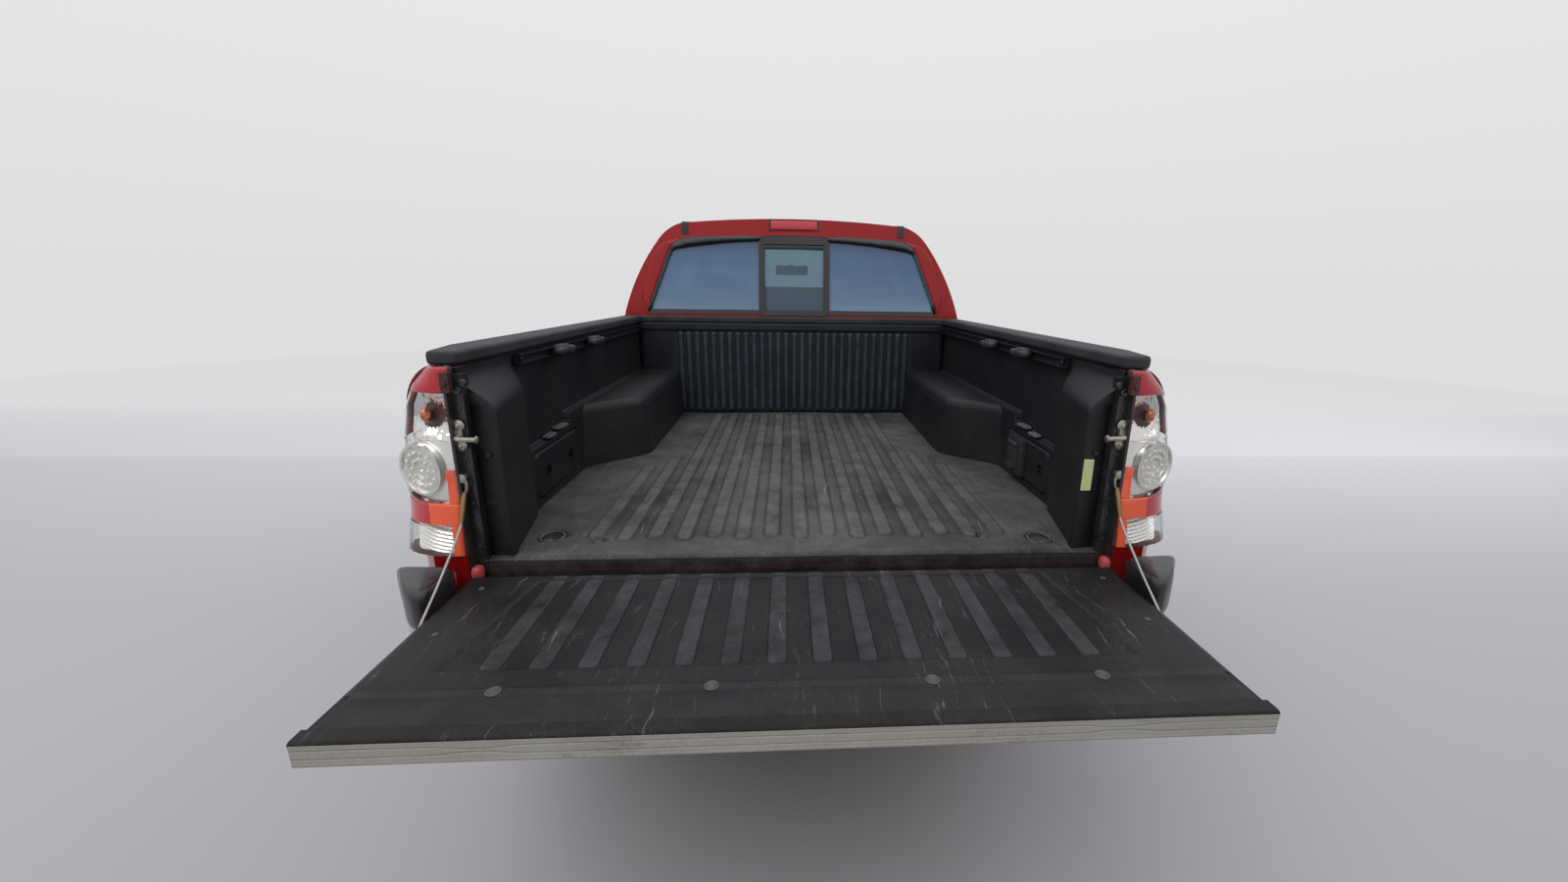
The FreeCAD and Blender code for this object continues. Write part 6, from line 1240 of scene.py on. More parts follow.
# Rims: six broad cast spokes that dish in towards the hub, each a rounded bar with a groove down its
# middle, a polished outer lip, a barrel behind them, six nuts in wells and a plain blank cap.
def spoke(spot, side, angle, steps=14):
    """A cast spoke: its width narrows then widens again with the radius, its face is crowned and grooved."""
    radius = np.linspace(0.05, 0.196, steps)
    half = 0.0215 + 0.01 * ((radius - 0.105) / 0.09) ** 2
    face = 0.062 + 0.02 * rise(radius, 0.055, 0.185) - 0.004 * rise(radius, 0.18, 0.196)
    lane = np.array([-1.0, -0.97, -0.86, -0.42, -0.3, 0.0, 0.3, 0.42, 0.86, 0.97, 1.0])
    high = np.array([-0.034, -0.006, 0.0, 0.0, -0.0065, -0.0075, -0.0065, 0.0, 0.0, -0.006, -0.034])
    deep = np.clip((radius - 0.075) / 0.03, 0, 1) * np.clip((0.188 - radius) / 0.02, 0, 1)
    groove = np.where(np.abs(lane) < 0.35, high, 0)[None, :] * (deep - 1)[:, None]
    out = face[:, None] + high[None, :] + groove
    along, across = np.meshgrid(radius, lane, indexing="ij")
    wide = across * half[:, None]
    return sheet(spot.x + side * out,
                          spot.y + along * math.cos(angle) - wide * math.sin(angle),
                          spot.z + along * math.sin(angle) + wide * math.cos(angle))


def rim_shapes(spot, side):
    """One rim: barrel, hub and lip turned round the axle, six spokes, and a nut in its well between them."""
    axis = (side, 0, 0)
    barrel = [(0.094, 0.203), (0.101, 0.2065), (0.104, 0.212), (0.1045, 0.206), (0.102, 0.2015), (0.09, 0.1975),
              (0.08, 0.1965), (0.078, 0.1905), (0.04, 0.186), (-0.06, 0.186), (-0.096, 0.196), (-0.104, 0.212),
              (-0.104, 0.206), (-0.094, 0.204), (-0.06, 0.1935), (0.04, 0.1935), (0.094, 0.203)]
    hub = [(0.02, 0.03), (0.02, 0.078), (0.056, 0.076), (0.0625, 0.07), (0.06, 0.062), (0.058, 0.043),
           (0.066, 0.04), (0.068, 0.036), (0.0685, 0.0)]
    shapes = [(*turned(barrel, spot, axis, 96), 1), (*turned(hub, spot, axis, 60), 0)]
    lip = [(0.078, 0.1965), (0.09, 0.1975), (0.102, 0.2015), (0.1048, 0.2062), (0.1035, 0.2085)]
    shapes.append((*turned(lip, spot, axis, 96), 0))
    for i in range(6):
        angle = math.radians(90 + 60 * i)
        shapes.append((*spoke(spot, side, angle), 0))
        nut_angle = angle + math.radians(30)
        nut = spot + Vector((0, 0.0535 * math.cos(nut_angle), 0.0535 * math.sin(nut_angle)))
        well = [(0.0575, 0.0), (0.0575, 0.0125), (0.0605, 0.0125), (0.0605, 0.0)]
        head = [(0.058, 0.0105), (0.072, 0.01), (0.076, 0.0075), (0.0775, 0.0)]
        shapes += [(*turned(well, nut, axis, 18), 1), (*turned(head, nut, axis, 6), 2)]
    return shapes


for place, side in wheels:
    piece("rim_skin_" + place, "rim_" + place, rim_shapes(wheel_spot("rim_" + place), side),
          [alloy, well_dark, nut_steel], "wheel_" + place, crease=34)
spare_rim = []
for corners, faces, number in rim_shapes(Vector((0, 0, 0)), 1):
    corners = np.asarray(corners) * 0.8
    corners = np.stack([corners[:, 2] + spare.x, corners[:, 1] + spare.y, spare.z - corners[:, 0]], axis=-1)
    spare_rim.append((corners, faces, number))
piece("spare_rim", "spare_wheel", spare_rim, [well_dark, well_dark, nut_steel], crease=34)

# Headlamps: a clear lens flush with the fender over a chromed bowl, with a big and a small round reflector
# that face ahead, a bulb in each, and an amber turn lamp where the lens wraps round the corner.
shells = {}


def skin_point(node, start, towards):
    """The first place where a sight line from start meets a CAD node's surface, or None."""
    if node not in shells:
        mesh = frame["nodes"][node].data
        shells[node] = BVHTree.FromPolygons([corner.co for corner in mesh.vertices],
                                            [tuple(face.vertices) for face in mesh.polygons])
    spot = shells[node].ray_cast(Vector(start), Vector(towards).normalized())[0]
    return None if spot is None else np.array(spot)


lamp_root = (0.512, 2.44)
fan = np.radians(stations((90, 62, 20), (62, 4, 34)))
levels = np.concatenate([[0.8745], np.linspace(0.88, 0.998, 13), [1.0035]])
depth = np.zeros((len(fan), len(levels)))
for i, angle in enumerate(fan):
    for j, level in enumerate(levels):
        ray, root = np.array((math.cos(angle), math.sin(angle), 0)), np.array((*lamp_root, level))
        spot = skin_point("headlamps", root + 1.2 * ray, -ray)
        depth[i, j] = np.nan if spot is None else np.linalg.norm(spot - root)
for column in depth.T:
    known = ~np.isnan(column)
    column[~known] = np.interp(fan[~known], fan[known][::-1], column[known][::-1])


def lamp_skin(back):
    """The lens carried backwards by back, a number or one value for each corner of the lens."""
    angle, level = np.meshgrid(fan, levels, indexing="ij")
    reach = depth - back
    return np.stack([lamp_root[0] + reach * np.cos(angle), lamp_root[1] + reach * np.sin(angle), level], axis=-1)


angle, level = np.meshgrid(fan, levels, indexing="ij")
share_up = (level - levels[0]) / (levels[-1] - levels[0])
share_out = (fan[0] - angle) / (fan[0] - fan[-1])
hollow = (1 - np.abs(2 * share_up - 1) ** 8) * (1 - np.abs(2 * share_out - 1) ** 10)
head_lens = finish("headlamp_lens", (0.95, 0.95, 0.95), 0.01, Transmission_Weight=1.0, IOR=1.1)
amber = finish("turn_amber", (0.8, 0.24, 0.02), 0.18, 0.4, pebble=(260.0, 0.002))
piece("headlamp_lenses", "headlamps", [grid(lamp_skin(0.0006 + 0 * depth))], [head_lens], crease=60,
      twin=True)
middle = (fan[1:] + fan[:-1]) / 2
zone = np.where(middle < math.radians(22), 1, 0)[:, None] * np.ones(len(levels) - 1, int)[None, :]
flutes = 0.0015 * np.cos(angle * 90) * (angle < math.radians(24))
piece("headlamp_bowls", "headlamps", [(*grid(lamp_skin(0.004 + 0.05 * hollow + flutes)), zone.ravel())],
      [bowl_chrome, amber], crease=40, twin=True)
bulb = [(0.0, 0.0), (0.0, 0.008), (0.018, 0.008), (0.024, 0.005), (0.025, 0.0)]
shapes = []
for turn_deg, size in ((74, 0.05), (50, 0.036)):
    facing = math.radians(turn_deg)
    reach = depth[np.argmin(np.abs(fan - facing)), 7] - 0.046
    spot = np.array([*lamp_root, 0.939]) + reach * np.array([math.cos(facing), math.sin(facing), 0])
    dish = [(-0.004, 0.0), (-0.002, size * 0.3), (0.006, size * 0.62), (0.018, size * 0.88), (0.03, size),
            (0.032, size * 1.06), (0.028, size * 1.1), (-0.004, size * 1.1)]
    rim = [(0.026, size * 1.04), (0.033, size * 1.06), (0.033, size * 1.12), (0.026, size * 1.12)]
    shapes += [(*turned(outline, spot, (0.12, 1, 0), steps), number)
               for outline, steps, number in ((dish, 48, 0), (bulb, 20, 1), (rim, 48, 2))]
piece("headlamp_reflectors", "headlamps", shapes, [bowl_chrome, led_white, gloss_black], twin=True)
outlines = []
for back in (0.0, 0.06):
    skin = lamp_skin(back)
    outlines.append(np.concatenate([skin[:, 0], skin[-1, 1:], skin[::-1, -1], skin[0, ::-1]]))
piece("headlamp_housings", "headlamps", [grid(np.stack(outlines))], [gloss_black], wall=0.0015, twin=True)

# Fender ledges: beside the hood each fender turns inwards as far as the hood's edge, with a shut line 5 mm
# wide between them and a flange turned down along it. Pressed and painted with the fender.
ledge = []
for y in np.linspace(1.745, 2.622, 15):
    top = skin_point("front_fenders", (0.7025, y, 1.3), (0, 0, -1))[2]
    hood_edge = 0.69 - 0.1095 * (y - 1.74) + 0.005
    ledge.append([(0.7008, y, top), (hood_edge + 0.003, y, top), (hood_edge, y, top - 0.003),
                  (hood_edge, y, top - 0.022)])
front = ledge[-1]
ledge.append([(x, y + 0.003, z - 0.003 * (z > front[0][2] - 0.001)) for x, y, z in front])
ledge.append([(x, y + 0.003, min(z, front[0][2] - 0.022)) for x, y, z in front])
piece("fender_ledges", "front_fenders", [grid(np.array(ledge))], [red], wall=0.001, twin=True)

# Grille: a chromed moulding with level bars, and behind them a black lattice of thin upright fins in front
# of a closed backing.
bright = finish("grille_chrome", (0.66, 0.66, 0.67), 0.11, 1.0, dust=((0.3, 0.27, 0.23), 0.4, 9.0))
dressed("grille", [bright, dull_black], 0.0025, pick=lambda face: int(face.center.y < 2.668))
shapes = []
for x in np.arange(-0.462, 0.463, 0.0132):
    hit = skin_point("grille", (x, 3.0, 0.925), (0, -1, 0))
    back = (hit[1] if hit is not None else 2.712) - 0.045
    shapes.append(box((x - 0.0015, back - 0.016, 0.846), (x + 0.0015, back, 0.992)))
piece("grille_fins", "grille", shapes, [dull_black])

# Front bumper: a painted shell whose lower part is bare black plastic. Its mouth is closed by a lattice, a
# fog lamp fills each round hole, and a plain black panel between them could carry a plate.
bare_black = finish("bare_black", (0.016, 0.016, 0.017), 0.62, dust=(road_dust, 0.55, 5.0), pebble=(520.0, 0.0006))
dressed("front_bumper", [red, bare_black], 0.004, pick=lambda face: int(face.center.z < 0.56), cuts=[(2, 0.56)])


def bumper_face(x, z=0.76):
    """How far ahead the front bumper's skin is at a place across."""
    return skin_point("front_bumper", (x, 3.2, z), (0, -1, 0))[1]


shapes = []
for x in np.arange(-0.414, 0.415, 0.023):
    back = bumper_face(x) - 0.045
    shapes.append(box((x - 0.002, back - 0.01, 0.538), (x + 0.002, back, 0.662)))
for z in np.arange(0.552, 0.66, 0.0155):
    xs = np.linspace(-0.42, 0.42, 29)
    faces_y = np.array([bumper_face(x) - 0.043 for x in xs])
    shapes.append(bar(np.concatenate([np.stack([xs, faces_y], 1), np.stack([xs[::-1], faces_y[::-1] - 0.006], 1)]),
                      z - 0.0018, z + 0.0018, 2))
piece("bumper_lattice", "front_bumper", shapes, [dull_black])
holder = [bar([(x, bumper_face(x) - 0.004) for x in np.linspace(-0.26, 0.26, 13)]
              + [(x, bumper_face(x) + 0.0005) for x in np.linspace(0.26, -0.26, 13)], 0.69, 0.8, 2)]
piece("blank_plate_panel", "front_bumper", holder, [bare_black], ease=0.001)
fog_at, fog_axis = (0.64, bumper_face(0.64) - 0.022, 0.62), (0.1, 1, 0)
bowl = [(-0.045, 0.0), (-0.04, 0.022), (-0.022, 0.038), (0.004, 0.0415), (0.01, 0.0415)]
surround = [(0.01, 0.0405), (0.012, 0.052), (0.004, 0.054), (-0.05, 0.054), (-0.05, 0.0)]
bulb = [(-0.03, 0.0), (-0.03, 0.007), (-0.012, 0.007), (-0.008, 0.004), (-0.007, 0.0)]
shapes = [(*turned(outline, fog_at, fog_axis, steps), number)
          for outline, steps, number in ((bowl, 48, 0), (surround, 48, 2), (bulb, 20, 1))]
piece("fog_lamps", "front_bumper", shapes, [bowl_chrome, led_white, bare_black], twin=True)
lens_dome = [(0.0115, 0.0), (0.0112, 0.02), (0.0095, 0.034), (0.007, 0.0412), (0.004, 0.041), (0.006, 0.034),
             (0.008, 0.0)]
piece("fog_lenses", "front_bumper", [turned(lens_dome, fog_at, fog_axis, 48)], [head_lens], twin=True)

# Door mirrors: painted shells with a black rim and foot and a silvered glass that faces backwards.
mirror_glass = finish("mirror_glass", (0.86, 0.88, 0.89), 0.01, 1.0)
for word, side in both_sides:
    door = "door_front_" + word
    dressed("mirror_" + word, [red, dull_black], 0.006, 30,
            pick=lambda face: int(face.normal.y < -0.9 or abs(face.center.x) < 0.895))
    low, across, middle_z = corners_of("mirror_" + word)[0], side * 0.968, 1.3395
    piece("mirror_bezel_" + word, "mirror_" + word,
          [pillow((across, low.y + 0.0025, middle_z), (0.0735, 0.0035, 0.059), 6, 14)], [dull_black], door)
    piece("mirror_glass_" + word, "mirror_" + word,
          [pillow((across, low.y + 0.0015, middle_z), (0.068, 0.0026, 0.0535), 6, 14)], [mirror_glass], door)

# Door pulls, belt mouldings and the fuel flap: a pull bar on each door over a thin black patch, painted shade
# for the hollow behind it, a rubber strip along each window's lower edge, and a round-cornered flap in the left
# bed side.
for end, pull_y, run in (("front", 0.3, (0.19, 1.06)), ("rear", -0.455, (-0.556, 0.156))):
    for word, side in both_sides:
        node = f"door_{end}_{word}"
        face_x = abs(skin_point(node, (side * 2.0, pull_y, 1.135), (-side, 0, 0))[0])
        # The first, thin form is the black patch: painted shade standing in for the hollow behind the pull bar.
        shapes = [(*pillow((side * (face_x + out), pull_y + back, level), half, 4, steps), number) for out, back,
                  level, half, steps, number in ((0.0008, -0.004, 1.135, (0.0018, 0.052, 0.03), 12, 1),
                                                 (0.02, 0, 1.14, (0.0075, 0.088, 0.0135), 14, 0),
                                                 (0.009, -0.07, 1.14, (0.013, 0.016, 0.012), 10, 0),
                                                 (0.009, 0.07, 1.14, (0.013, 0.016, 0.012), 10, 0))]
        piece("door_pull_" + node[5:], node, shapes, [red, dull_black], node)
        ys = np.linspace(*run, 20)
        edge = [skin_point(node, (side * 2.0, y, 1.262), (-side, 0, 0)) for y in ys]
        edge = [side * 0.907 if spot is None else spot[0] for spot in edge]
        outline = [(x + side * 0.0035, y) for x, y in zip(edge, ys)]
        outline += [(x - side * 0.003, y) for x, y in zip(edge[::-1], ys[::-1])]
        piece("belt_strip_" + node[5:], node, [bar(outline, 1.2555, 1.2705, 2)], [dull_black], node,
              ease=0.001)
flap_at = (skin_point("bed_sides", (-2.0, -0.93, 1.065), (1, 0, 0))[0], -0.93, 1.065)
flap = [(*pillow(flap_at, (0.0022, 0.084, 0.084), 7, 16), 0), (*pillow(flap_at, (0.001, 0.0875, 0.0875), 7, 16), 1)]
piece("fuel_flap", "bed_sides", flap, [red, dull_black])

# Cowl and wipers: a black vented panel between hood and windscreen, and two wipers parked low on the glass.
def windscreen_point(x, share):
    """A place on the glass: share 0 at its foot and 1 at its head, found by a sight line from ahead."""
    return skin_point("windshield", (x, 2.35 - 0.58 * share, 2.04 + 0.5 * share), (0, -1, -1))


xs, ys = np.meshgrid(np.linspace(-0.66, 0.66, 45), np.linspace(0, 1, 9), indexing="ij")
front, back = 1.519, 1.474 - 0.062 * (xs / 0.66) ** 2
ys = front + (back - front) * ys
zs = np.zeros_like(xs)
for i, x in np.ndenumerate(xs):
    spot = skin_point("cab_shell", (x, ys[i], 2.0), (0, 0, -1))
    zs[i] = 1.163 if spot is None else spot[2]
slots_cut = 0.0016 * (np.cos(xs * 2 * np.pi / 0.03) > 0.3) * (np.abs(ys - (front + back) / 2) < 0.016)
piece("cowl_panel", "cab_shell", [sheet(xs, ys, zs + 0.0035 - slots_cut)], [bare_black], wall=0.003,
      facing=(0, 0, 1), crease=50)
shapes = []
for pivot_x, reach in ((0.46, -0.5), (-0.13, -0.46)):
    places = [windscreen_point(pivot_x + reach * t, 0.2 + 0.03 * t) for t in np.linspace(0, 1, 15)]
    places = [np.array(spot) + (0, 0.01, 0.012) for spot in places if spot is not None]
    if len(places) > 3:
        blade = np.array(places)
        foot, middle = np.array([pivot_x + 0.03, 1.502, 1.212]), blade[len(blade) // 2]
        arm = [foot, (foot + middle) / 2 + (0, 0.012, 0.016), middle + (0, 0.006, 0.008)]
        shapes += [tube(blade, 0.0045, 8), tube(blade + (0, 0.006, 0.007), 0.0032, 8),
                   tube(bend(arm, 10), 0.0055, 8), disc(0.014, -0.022, 0.01, foot, (0, 0.5, 0.86), 20, edge=0.3)]
piece("wipers", "cab_shell", shapes, [dull_black])

# Door cards: a grained panel on each door's inner face with an armrest, a release lever, a speaker behind
# its round grille and a map pocket.
speaker = [(0.0, 0.07), (0.008, 0.069), (0.01, 0.062), (0.007, 0.058), (0.009, 0.03), (0.01, 0.0)]
for end, middle_y, run in (("front", 0.7, 0.43), ("rear", -0.15, 0.25)):
    for word, side in both_sides:
        node = f"door_{end}_{word}"
        inner_x = abs(skin_point(node, (0, middle_y, 1.0), (side, 0, 0))[0])
        shapes = [(*pillow((side * (inner_x - in_by), middle_y + along, level), half, power, steps), number)
                  for in_by, along, level, half, power, steps, number in (
                      (0.004, 0, 1.02, (0.006, run * 0.86, 0.195), 12, 18, 0),
                      (0.026, -0.02, 1.02, (0.026, run * 0.55, 0.022), 4, 16, 1),
                      (0.013, run * 0.5, 1.12, (0.005, 0.05, 0.02), 5, 12, 1),
                      (0.019, run * 0.5, 1.122, (0.004, 0.036, 0.008), 4, 12, 2),
                      (0.016, -run * 0.25, 0.885, (0.014, run * 0.38, 0.045), 6, 14, 0))]
        speaker_at = (side * (inner_x - 0.009), middle_y + run * 0.45, 0.905)
        shapes.insert(4, (*turned(speaker, speaker_at, (-side, 0, 0), 40), 1))
        piece("card_" + node[5:], node, shapes, [cabin_trim, seal_black, bright], node, crease=40)

# Seats: foam on a steel base under woven grey cloth, with side bolsters, sewn grooves and piping; the
# front backs carry separate head restraints on two steel posts. The rear bench has three places.
def upholstery(spine, facing, half, thick, bolster, seams, middle_x=0.0, flutes=0):
    """A stuffed form along a spine in the (along, up) plane: at each of its places a superellipse in the
    plane of the width and of facing, the direction that the sitter meets; its front is higher in the side
    bolsters and drops in a groove at each seam, a share of the width, and its two ends close in."""
    spine, facing = np.asarray(spine, float), np.asarray(facing, float)
    steps = 46
    place = np.linspace(0, len(spine) - 1, steps)
    middle = np.stack([np.interp(place, np.arange(len(spine)), spine[:, i]) for i in (0, 1)], axis=1)
    out = np.stack([np.interp(place, np.arange(len(spine)), facing[:, i]) for i in (0, 1)], axis=1)
    out /= np.linalg.norm(out, axis=1)[:, None]
    share = np.linspace(-1, 1, steps)
    closing = (1 - np.abs(share) ** 7) ** (1 / 3.2)
    angle = np.linspace(0, 2 * np.pi, 97)
    across = np.sign(np.cos(angle)) * np.abs(np.cos(angle)) ** 0.42
    high = np.sign(np.sin(angle)) * np.abs(np.sin(angle)) ** 0.55
    width = half * (0.9 + 0.1 * closing)
    bump = bolster * rise(np.abs(across), 0.62, 0.8) * (high > 0)
    groove = np.zeros_like(across)
    for seam in seams:
        groove += 0.007 * np.exp(-((np.abs(across) - seam) / 0.012) ** 2) * (high > 0)
    pleats = 0.0035 * np.abs(np.cos(np.pi * np.abs(across) * flutes)) ** 8 if flutes else 0.0
    crown = 0.01 * (1 - across ** 2) * (high > 0)
    rise_out = (high * thick + bump + crown - groove - pleats * (np.abs(across) < 0.6) * (high > 0))
    cross = 0.006 * np.exp(-((share - 0.45) / 0.03) ** 2) + 0.006 * np.exp(-((share + 0.5) / 0.03) ** 2)
    lift = rise_out[None, :] * closing[:, None] - cross[:, None] * (high > 0.2) * (np.abs(across) < 0.62)
    x = middle_x + across[None, :] * width[:, None] * closing[:, None] ** 0.5
    y = middle[:, 0][:, None] + lift * out[:, 0][:, None]
    z = middle[:, 1][:, None] + lift * out[:, 1][:, None]
    return sheet(x, y, z)


cloth = finish("seat_cloth", (0.06, 0.061, 0.064), 0.92, dust=((0.16, 0.155, 0.15), 0.25, 8.0),
               pebble=(850.0, 0.0006), Sheen_Weight=0.35)
cloth_side = finish("seat_side_cloth", (0.03, 0.031, 0.033), 0.88, pebble=(1100.0, 0.0004), Sheen_Weight=0.25)
seat_plastic = finish("seat_plastic", (0.022, 0.022, 0.024), 0.55, pebble=(600.0, 0.0003))
post_steel = finish("post_steel", (0.55, 0.55, 0.56), 0.22, 1.0)


def at_seat(base, *points):
    """Places of a seat in metres, from millimetres behind and above its foot."""
    return [(base / 1000 + along / 1000, 0.6003 + up / 1000) for along, up in points]


for base, centres, half, node, name in ((470, (-0.41, 0.41), 0.247, "front_seats", "front_seat"),
                                        (-400, (0.0,), 0.636, "rear_seat", "rear_bench")):
    single = len(centres) == 2
    seams, flutes = ((0.58,), 5) if single else ((0.34, 0.66), 0)
    cushion = at_seat(base, (120, 222), (250, 212), (400, 222), (498, 232))
    back = at_seat(base, (62, 268), (30, 440), (-22, 640), (-58, 760), (-78, 835))
    rest = at_seat(base, (-100, 845) if single else (-92, 830))[0]
    for number, middle_x in enumerate(centres, 1):
        forms = [(f"cushion_{number}", upholstery(cushion, [(0.05, 1)] * 4, half, 0.07, 0.018, seams, middle_x,
                                                  flutes), cloth),
                 (f"back_{number}", upholstery(back, [(1, 0.2)] * 5, half * 0.97, 0.052, 0.022, seams, middle_x,
                                               flutes), cloth)]
        rests = [middle_x] if single else [-0.4, 0.4]
        forms += [(f"rest_{number}_{spot}", pillow((x, rest[0] + 0.012, rest[1]), (0.118, 0.042, 0.062), 3.0, 16),
                   cloth_side) for spot, x in enumerate(rests)]
        for part, form, cover in forms:
            piece(f"{name}_{part}", node, [form], [cover], crease=70)
        foot = base / 1000
        under = [box((middle_x - half * 0.86, foot + 0.075, 0.602), (middle_x + half * 0.86, foot + 0.455, 0.655)),
                 pillow((middle_x, foot + 0.27, 0.715), (half * 0.96, 0.225, 0.07), 7, 16)]
        if single:
            under += [pillow((middle_x + side * half * 0.985, foot + 0.2, 0.735), (0.009, 0.19, 0.042), 5, 14)
                      for side in (-1, 1)]
            under.append(pillow((middle_x, foot, 1.06), (half * 0.86, 0.02, 0.25), 6, 14))
        piece(f"{name}_base_{number}", node, under, [seat_plastic], ease=0.004)
        posts = [tube([(x + side, y, z) for y, z in at_seat(base, (-72, 760), (-90, 845))], 0.006)
                 for x in rests for side in (-0.062, 0.062)]
        piece(f"{name}_posts_{number}", node, posts, [post_steel])

# Dashboard: a grained moulding with a hooded instrument panel, four round vents, a plain display, three
# heater knobs, a glove box, and the tunnel's console with gear lever, hand brake and cup wells.
dash_grain = finish("dash_grain", (0.03, 0.031, 0.034), 0.58, dust=((0.14, 0.135, 0.13), 0.25, 7.0),
                    pebble=(700.0, 0.0004))
dash_silver = finish("dash_silver", (0.34, 0.35, 0.36), 0.35, 0.7)
screen_black = finish("display_black", (0.004, 0.005, 0.007), 0.08, Coat_Weight=1.0)
dial_white = finish("dial_mark", (0.75, 0.76, 0.74), 0.5)
dressed("dashboard", [dash_grain], 0.014, 30)
face_y = 0.9792


def dash_face(x, z):
    """Where a sight line from the seats meets the dashboard, or its face's plane where it has an opening."""
    hit = skin_point("dashboard", (x, 0.3, z), (0, 1, 0))
    return hit[1] if hit is not None else face_y


vent = [(0.0, 0.03), (0.004, 0.04), (0.012, 0.042), (0.012, 0.034), (0.004, 0.031), (0.001, 0.028), (0.001, 0.0)]
shapes = []
for x in (-0.64, -0.115, 0.115, 0.64):
    front, vent_z = dash_face(x, 1.08) + 0.004, 1.08
    shapes.append((*turned(vent, (x, front, vent_z), (0, -1, 0), 36), 1))
    shapes += [(*box((x - 0.027, front - 0.0075, vent_z + k * 0.0105 - 0.0015),
                     (x + 0.027, front - 0.001, vent_z + k * 0.0105 + 0.0015)), 0) for k in (-2, -1, 0, 1, 2)]
hood_y = dash_face(-0.4, 1.1)
shapes += [(*pillow((-0.4, hood_y + 0.055, 1.176), (0.185, 0.105, 0.03), 3.2, 20), 0),
           (*box((-0.545, hood_y - 0.003, 1.04), (-0.255, hood_y + 0.012, 1.158)), 2)]
for x, size in ((-0.468, 0.043), (-0.332, 0.043), (-0.4, 0.024)):
    z = 1.1 if size > 0.03 else 1.072
    shapes.append((*turned([(0.002, size - 0.003), (0.007, size), (0.007, size + 0.003), (0.002, size + 0.004)],
                           (x, hood_y - 0.002, z), (0, -1, 0), 40), 1))
    for k in range(9):
        a = math.radians(220 - k * 32.5)
        spot = (x + (size - 0.008) * math.cos(a), hood_y - 0.0035, z + (size - 0.008) * math.sin(a))
        shapes.append((*pillow(spot, (0.0016, 0.0006, 0.0016), 2, 4), 3))
mid_y = dash_face(0.0, 1.0)
shapes += [(*box((-0.108, mid_y - 0.01, 0.905), (0.108, mid_y + 0.02, 1.035)), 1),
           (*box((-0.09, mid_y - 0.012, 0.948), (0.09, mid_y + 0.01, 1.028)), 2)]
for x in (-0.065, 0.0, 0.065):
    shapes.append((*disc(0.017, 0.0, 0.02, (x, mid_y - 0.009, 0.925), (0, -1, 0), 28, edge=0.2), 0))
glove_y = dash_face(0.42, 0.96)
shapes += [(*pillow((0.42, glove_y - 0.001, 0.95), (0.205, 0.004, 0.075), 10, 18), 0),
           (*pillow((0.42, glove_y - 0.006, 1.0), (0.045, 0.005, 0.01), 5, 12), 1),
           (*tube(bend([(0.0, 0.76, 0.846), (0.0, 0.742, 0.93), (0.0, 0.728, 1.005)], 8), 0.0075, 12), 1),
           (*pillow((0.0, 0.726, 1.02), (0.021, 0.024, 0.032), 2.4, 14), 0),
           (*pillow((0.0, 0.765, 0.852), (0.06, 0.072, 0.022), 2.6, 14), 0),
           (*tube(bend([(0.075, 0.62, 0.8), (0.075, 0.54, 0.868), (0.075, 0.43, 0.89)], 8), 0.012, 12), 0)]
for x in (-0.045, 0.045):
    shapes.append((*turned([(0.0, 0.036), (0.006, 0.038), (0.006, 0.033), (-0.001, 0.031), (-0.001, 0.0)],
                           (x, 0.5, 0.8), (0, 0, 1), 32), 2))
piece("dash_fittings", "dashboard", shapes, [dash_grain, dash_silver, screen_black, dial_white],
      crease=35)

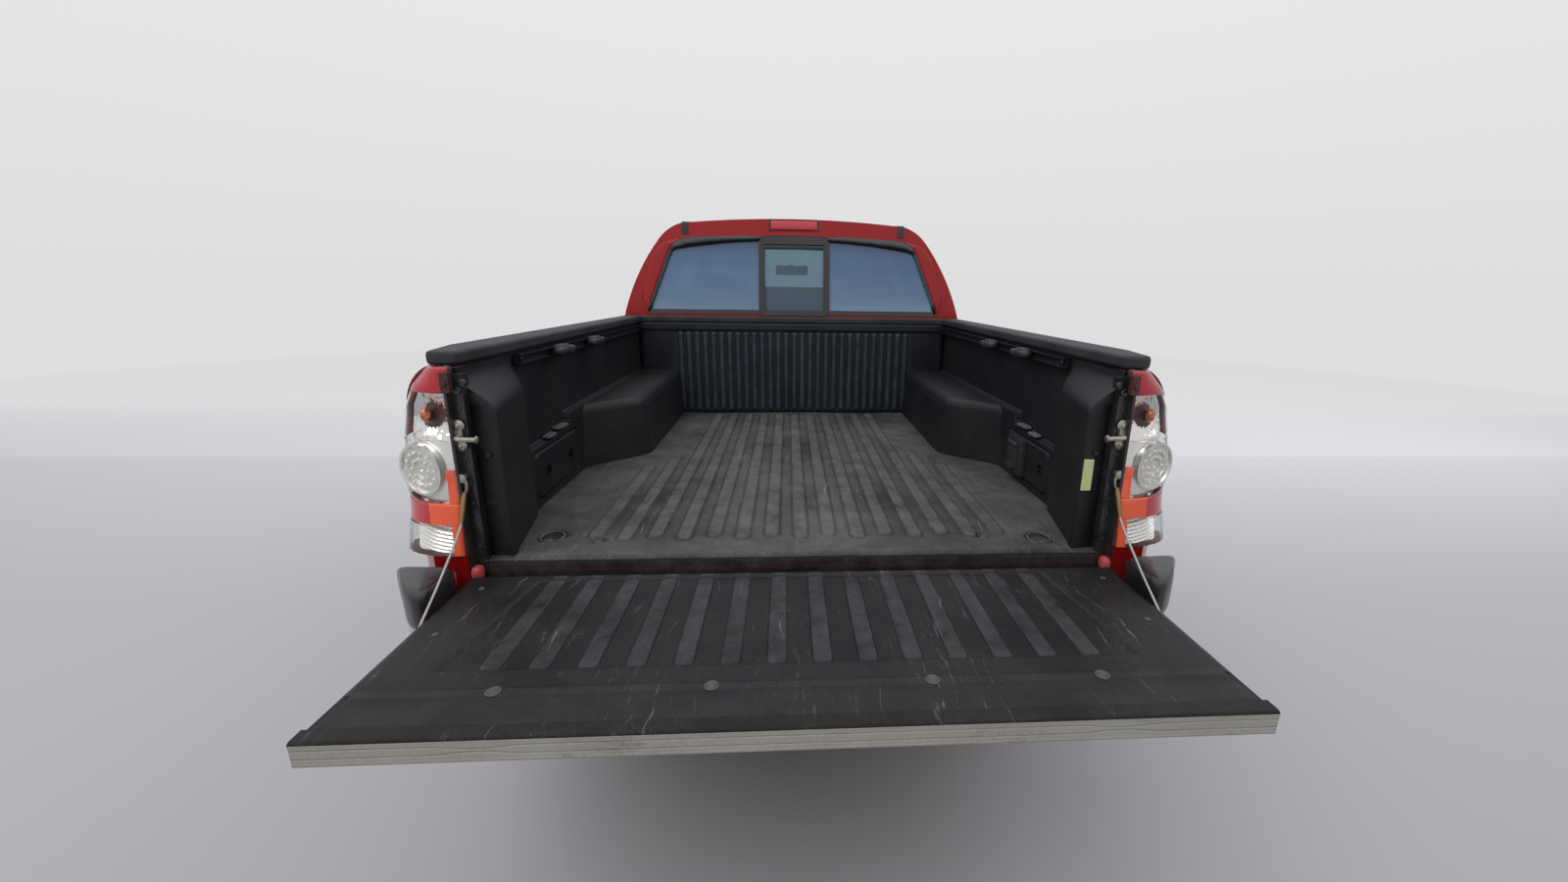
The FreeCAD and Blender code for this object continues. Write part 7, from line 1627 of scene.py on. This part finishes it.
# Steering wheel: a stitched leather rim on four spokes round a plain soft hub.
leather = finish("wheel_leather", (0.018, 0.018, 0.019), 0.48, pebble=(900.0, 0.0003))
hub_at = np.array([-0.4, 0.8, 1.09])
lean = math.radians(62)
hoop_axis = np.array([0.0, -math.sin(lean), math.cos(lean)])
hoop_up = np.array([0.0, math.cos(lean), math.sin(lean)])
hoop_side = np.array([1.0, 0.0, 0.0])


def on_wheel(radius, angle, out=0.0):
    """A place in the steering wheel's plane, from its radius and its angle, raised by out along its axis."""
    return hub_at + radius * (math.cos(angle) * hoop_side + math.sin(angle) * hoop_up) + out * hoop_axis


angle = np.linspace(0, 2 * np.pi, 73)
hoop = np.array([on_wheel(0.182, a) for a in angle])
section = np.linspace(0, 2 * np.pi, 15)
outwards = (hoop - hub_at) / 0.182
shapes = [(*grid(hoop[:, None] + 0.015 * (np.cos(section)[None, :, None] * outwards[:, None]
                                          + np.sin(section)[None, :, None] * hoop_axis)), 0)]
for a in map(math.radians, (8, 172, 242, 298)):
    path = [on_wheel(0.03, a, -0.012), on_wheel(0.09, a, -0.008), on_wheel(0.15, a, -0.004), on_wheel(0.18, a, 0.0)]
    shapes.append((*tube(bend(path, 6), 0.0125, 10), 1))
pad_form, pad_faces = pillow((0, 0, 0), (0.078, 0.066, 0.026), 2.8, 20)
pad_at = (hub_at - 0.004 * hoop_axis + pad_form[:, :1] * hoop_side + pad_form[:, 1:2] * hoop_up
          + pad_form[:, 2:] * hoop_axis)
column = [(-0.11, 0.0), (-0.11, 0.024), (-0.01, 0.024), (-0.01, 0.0)]
shapes += [(pad_at, pad_faces, 2), (*turned(column, hub_at, hoop_axis, 24), 1)]
piece("steering_wheel_skin", "steering_wheel", shapes, [leather, dash_silver, seat_plastic],
      "steering_wheel", crease=50)

# Interior mirror: a black shell on its stalk with a silvered glass towards the driver.
dressed("interior_mirror", [seat_plastic], 0.009, 30)
low, glass_z = corners_of("interior_mirror")[0], (1.5252 + 1.5918) / 2
piece("interior_mirror_glass", "interior_mirror",
      [pillow((0, low.y + 0.0012, glass_z), (0.111, 0.0022, 0.0285), 5, 14)],
      [finish("dimmed_mirror", (0.16, 0.17, 0.18), 0.02, 1.0)])
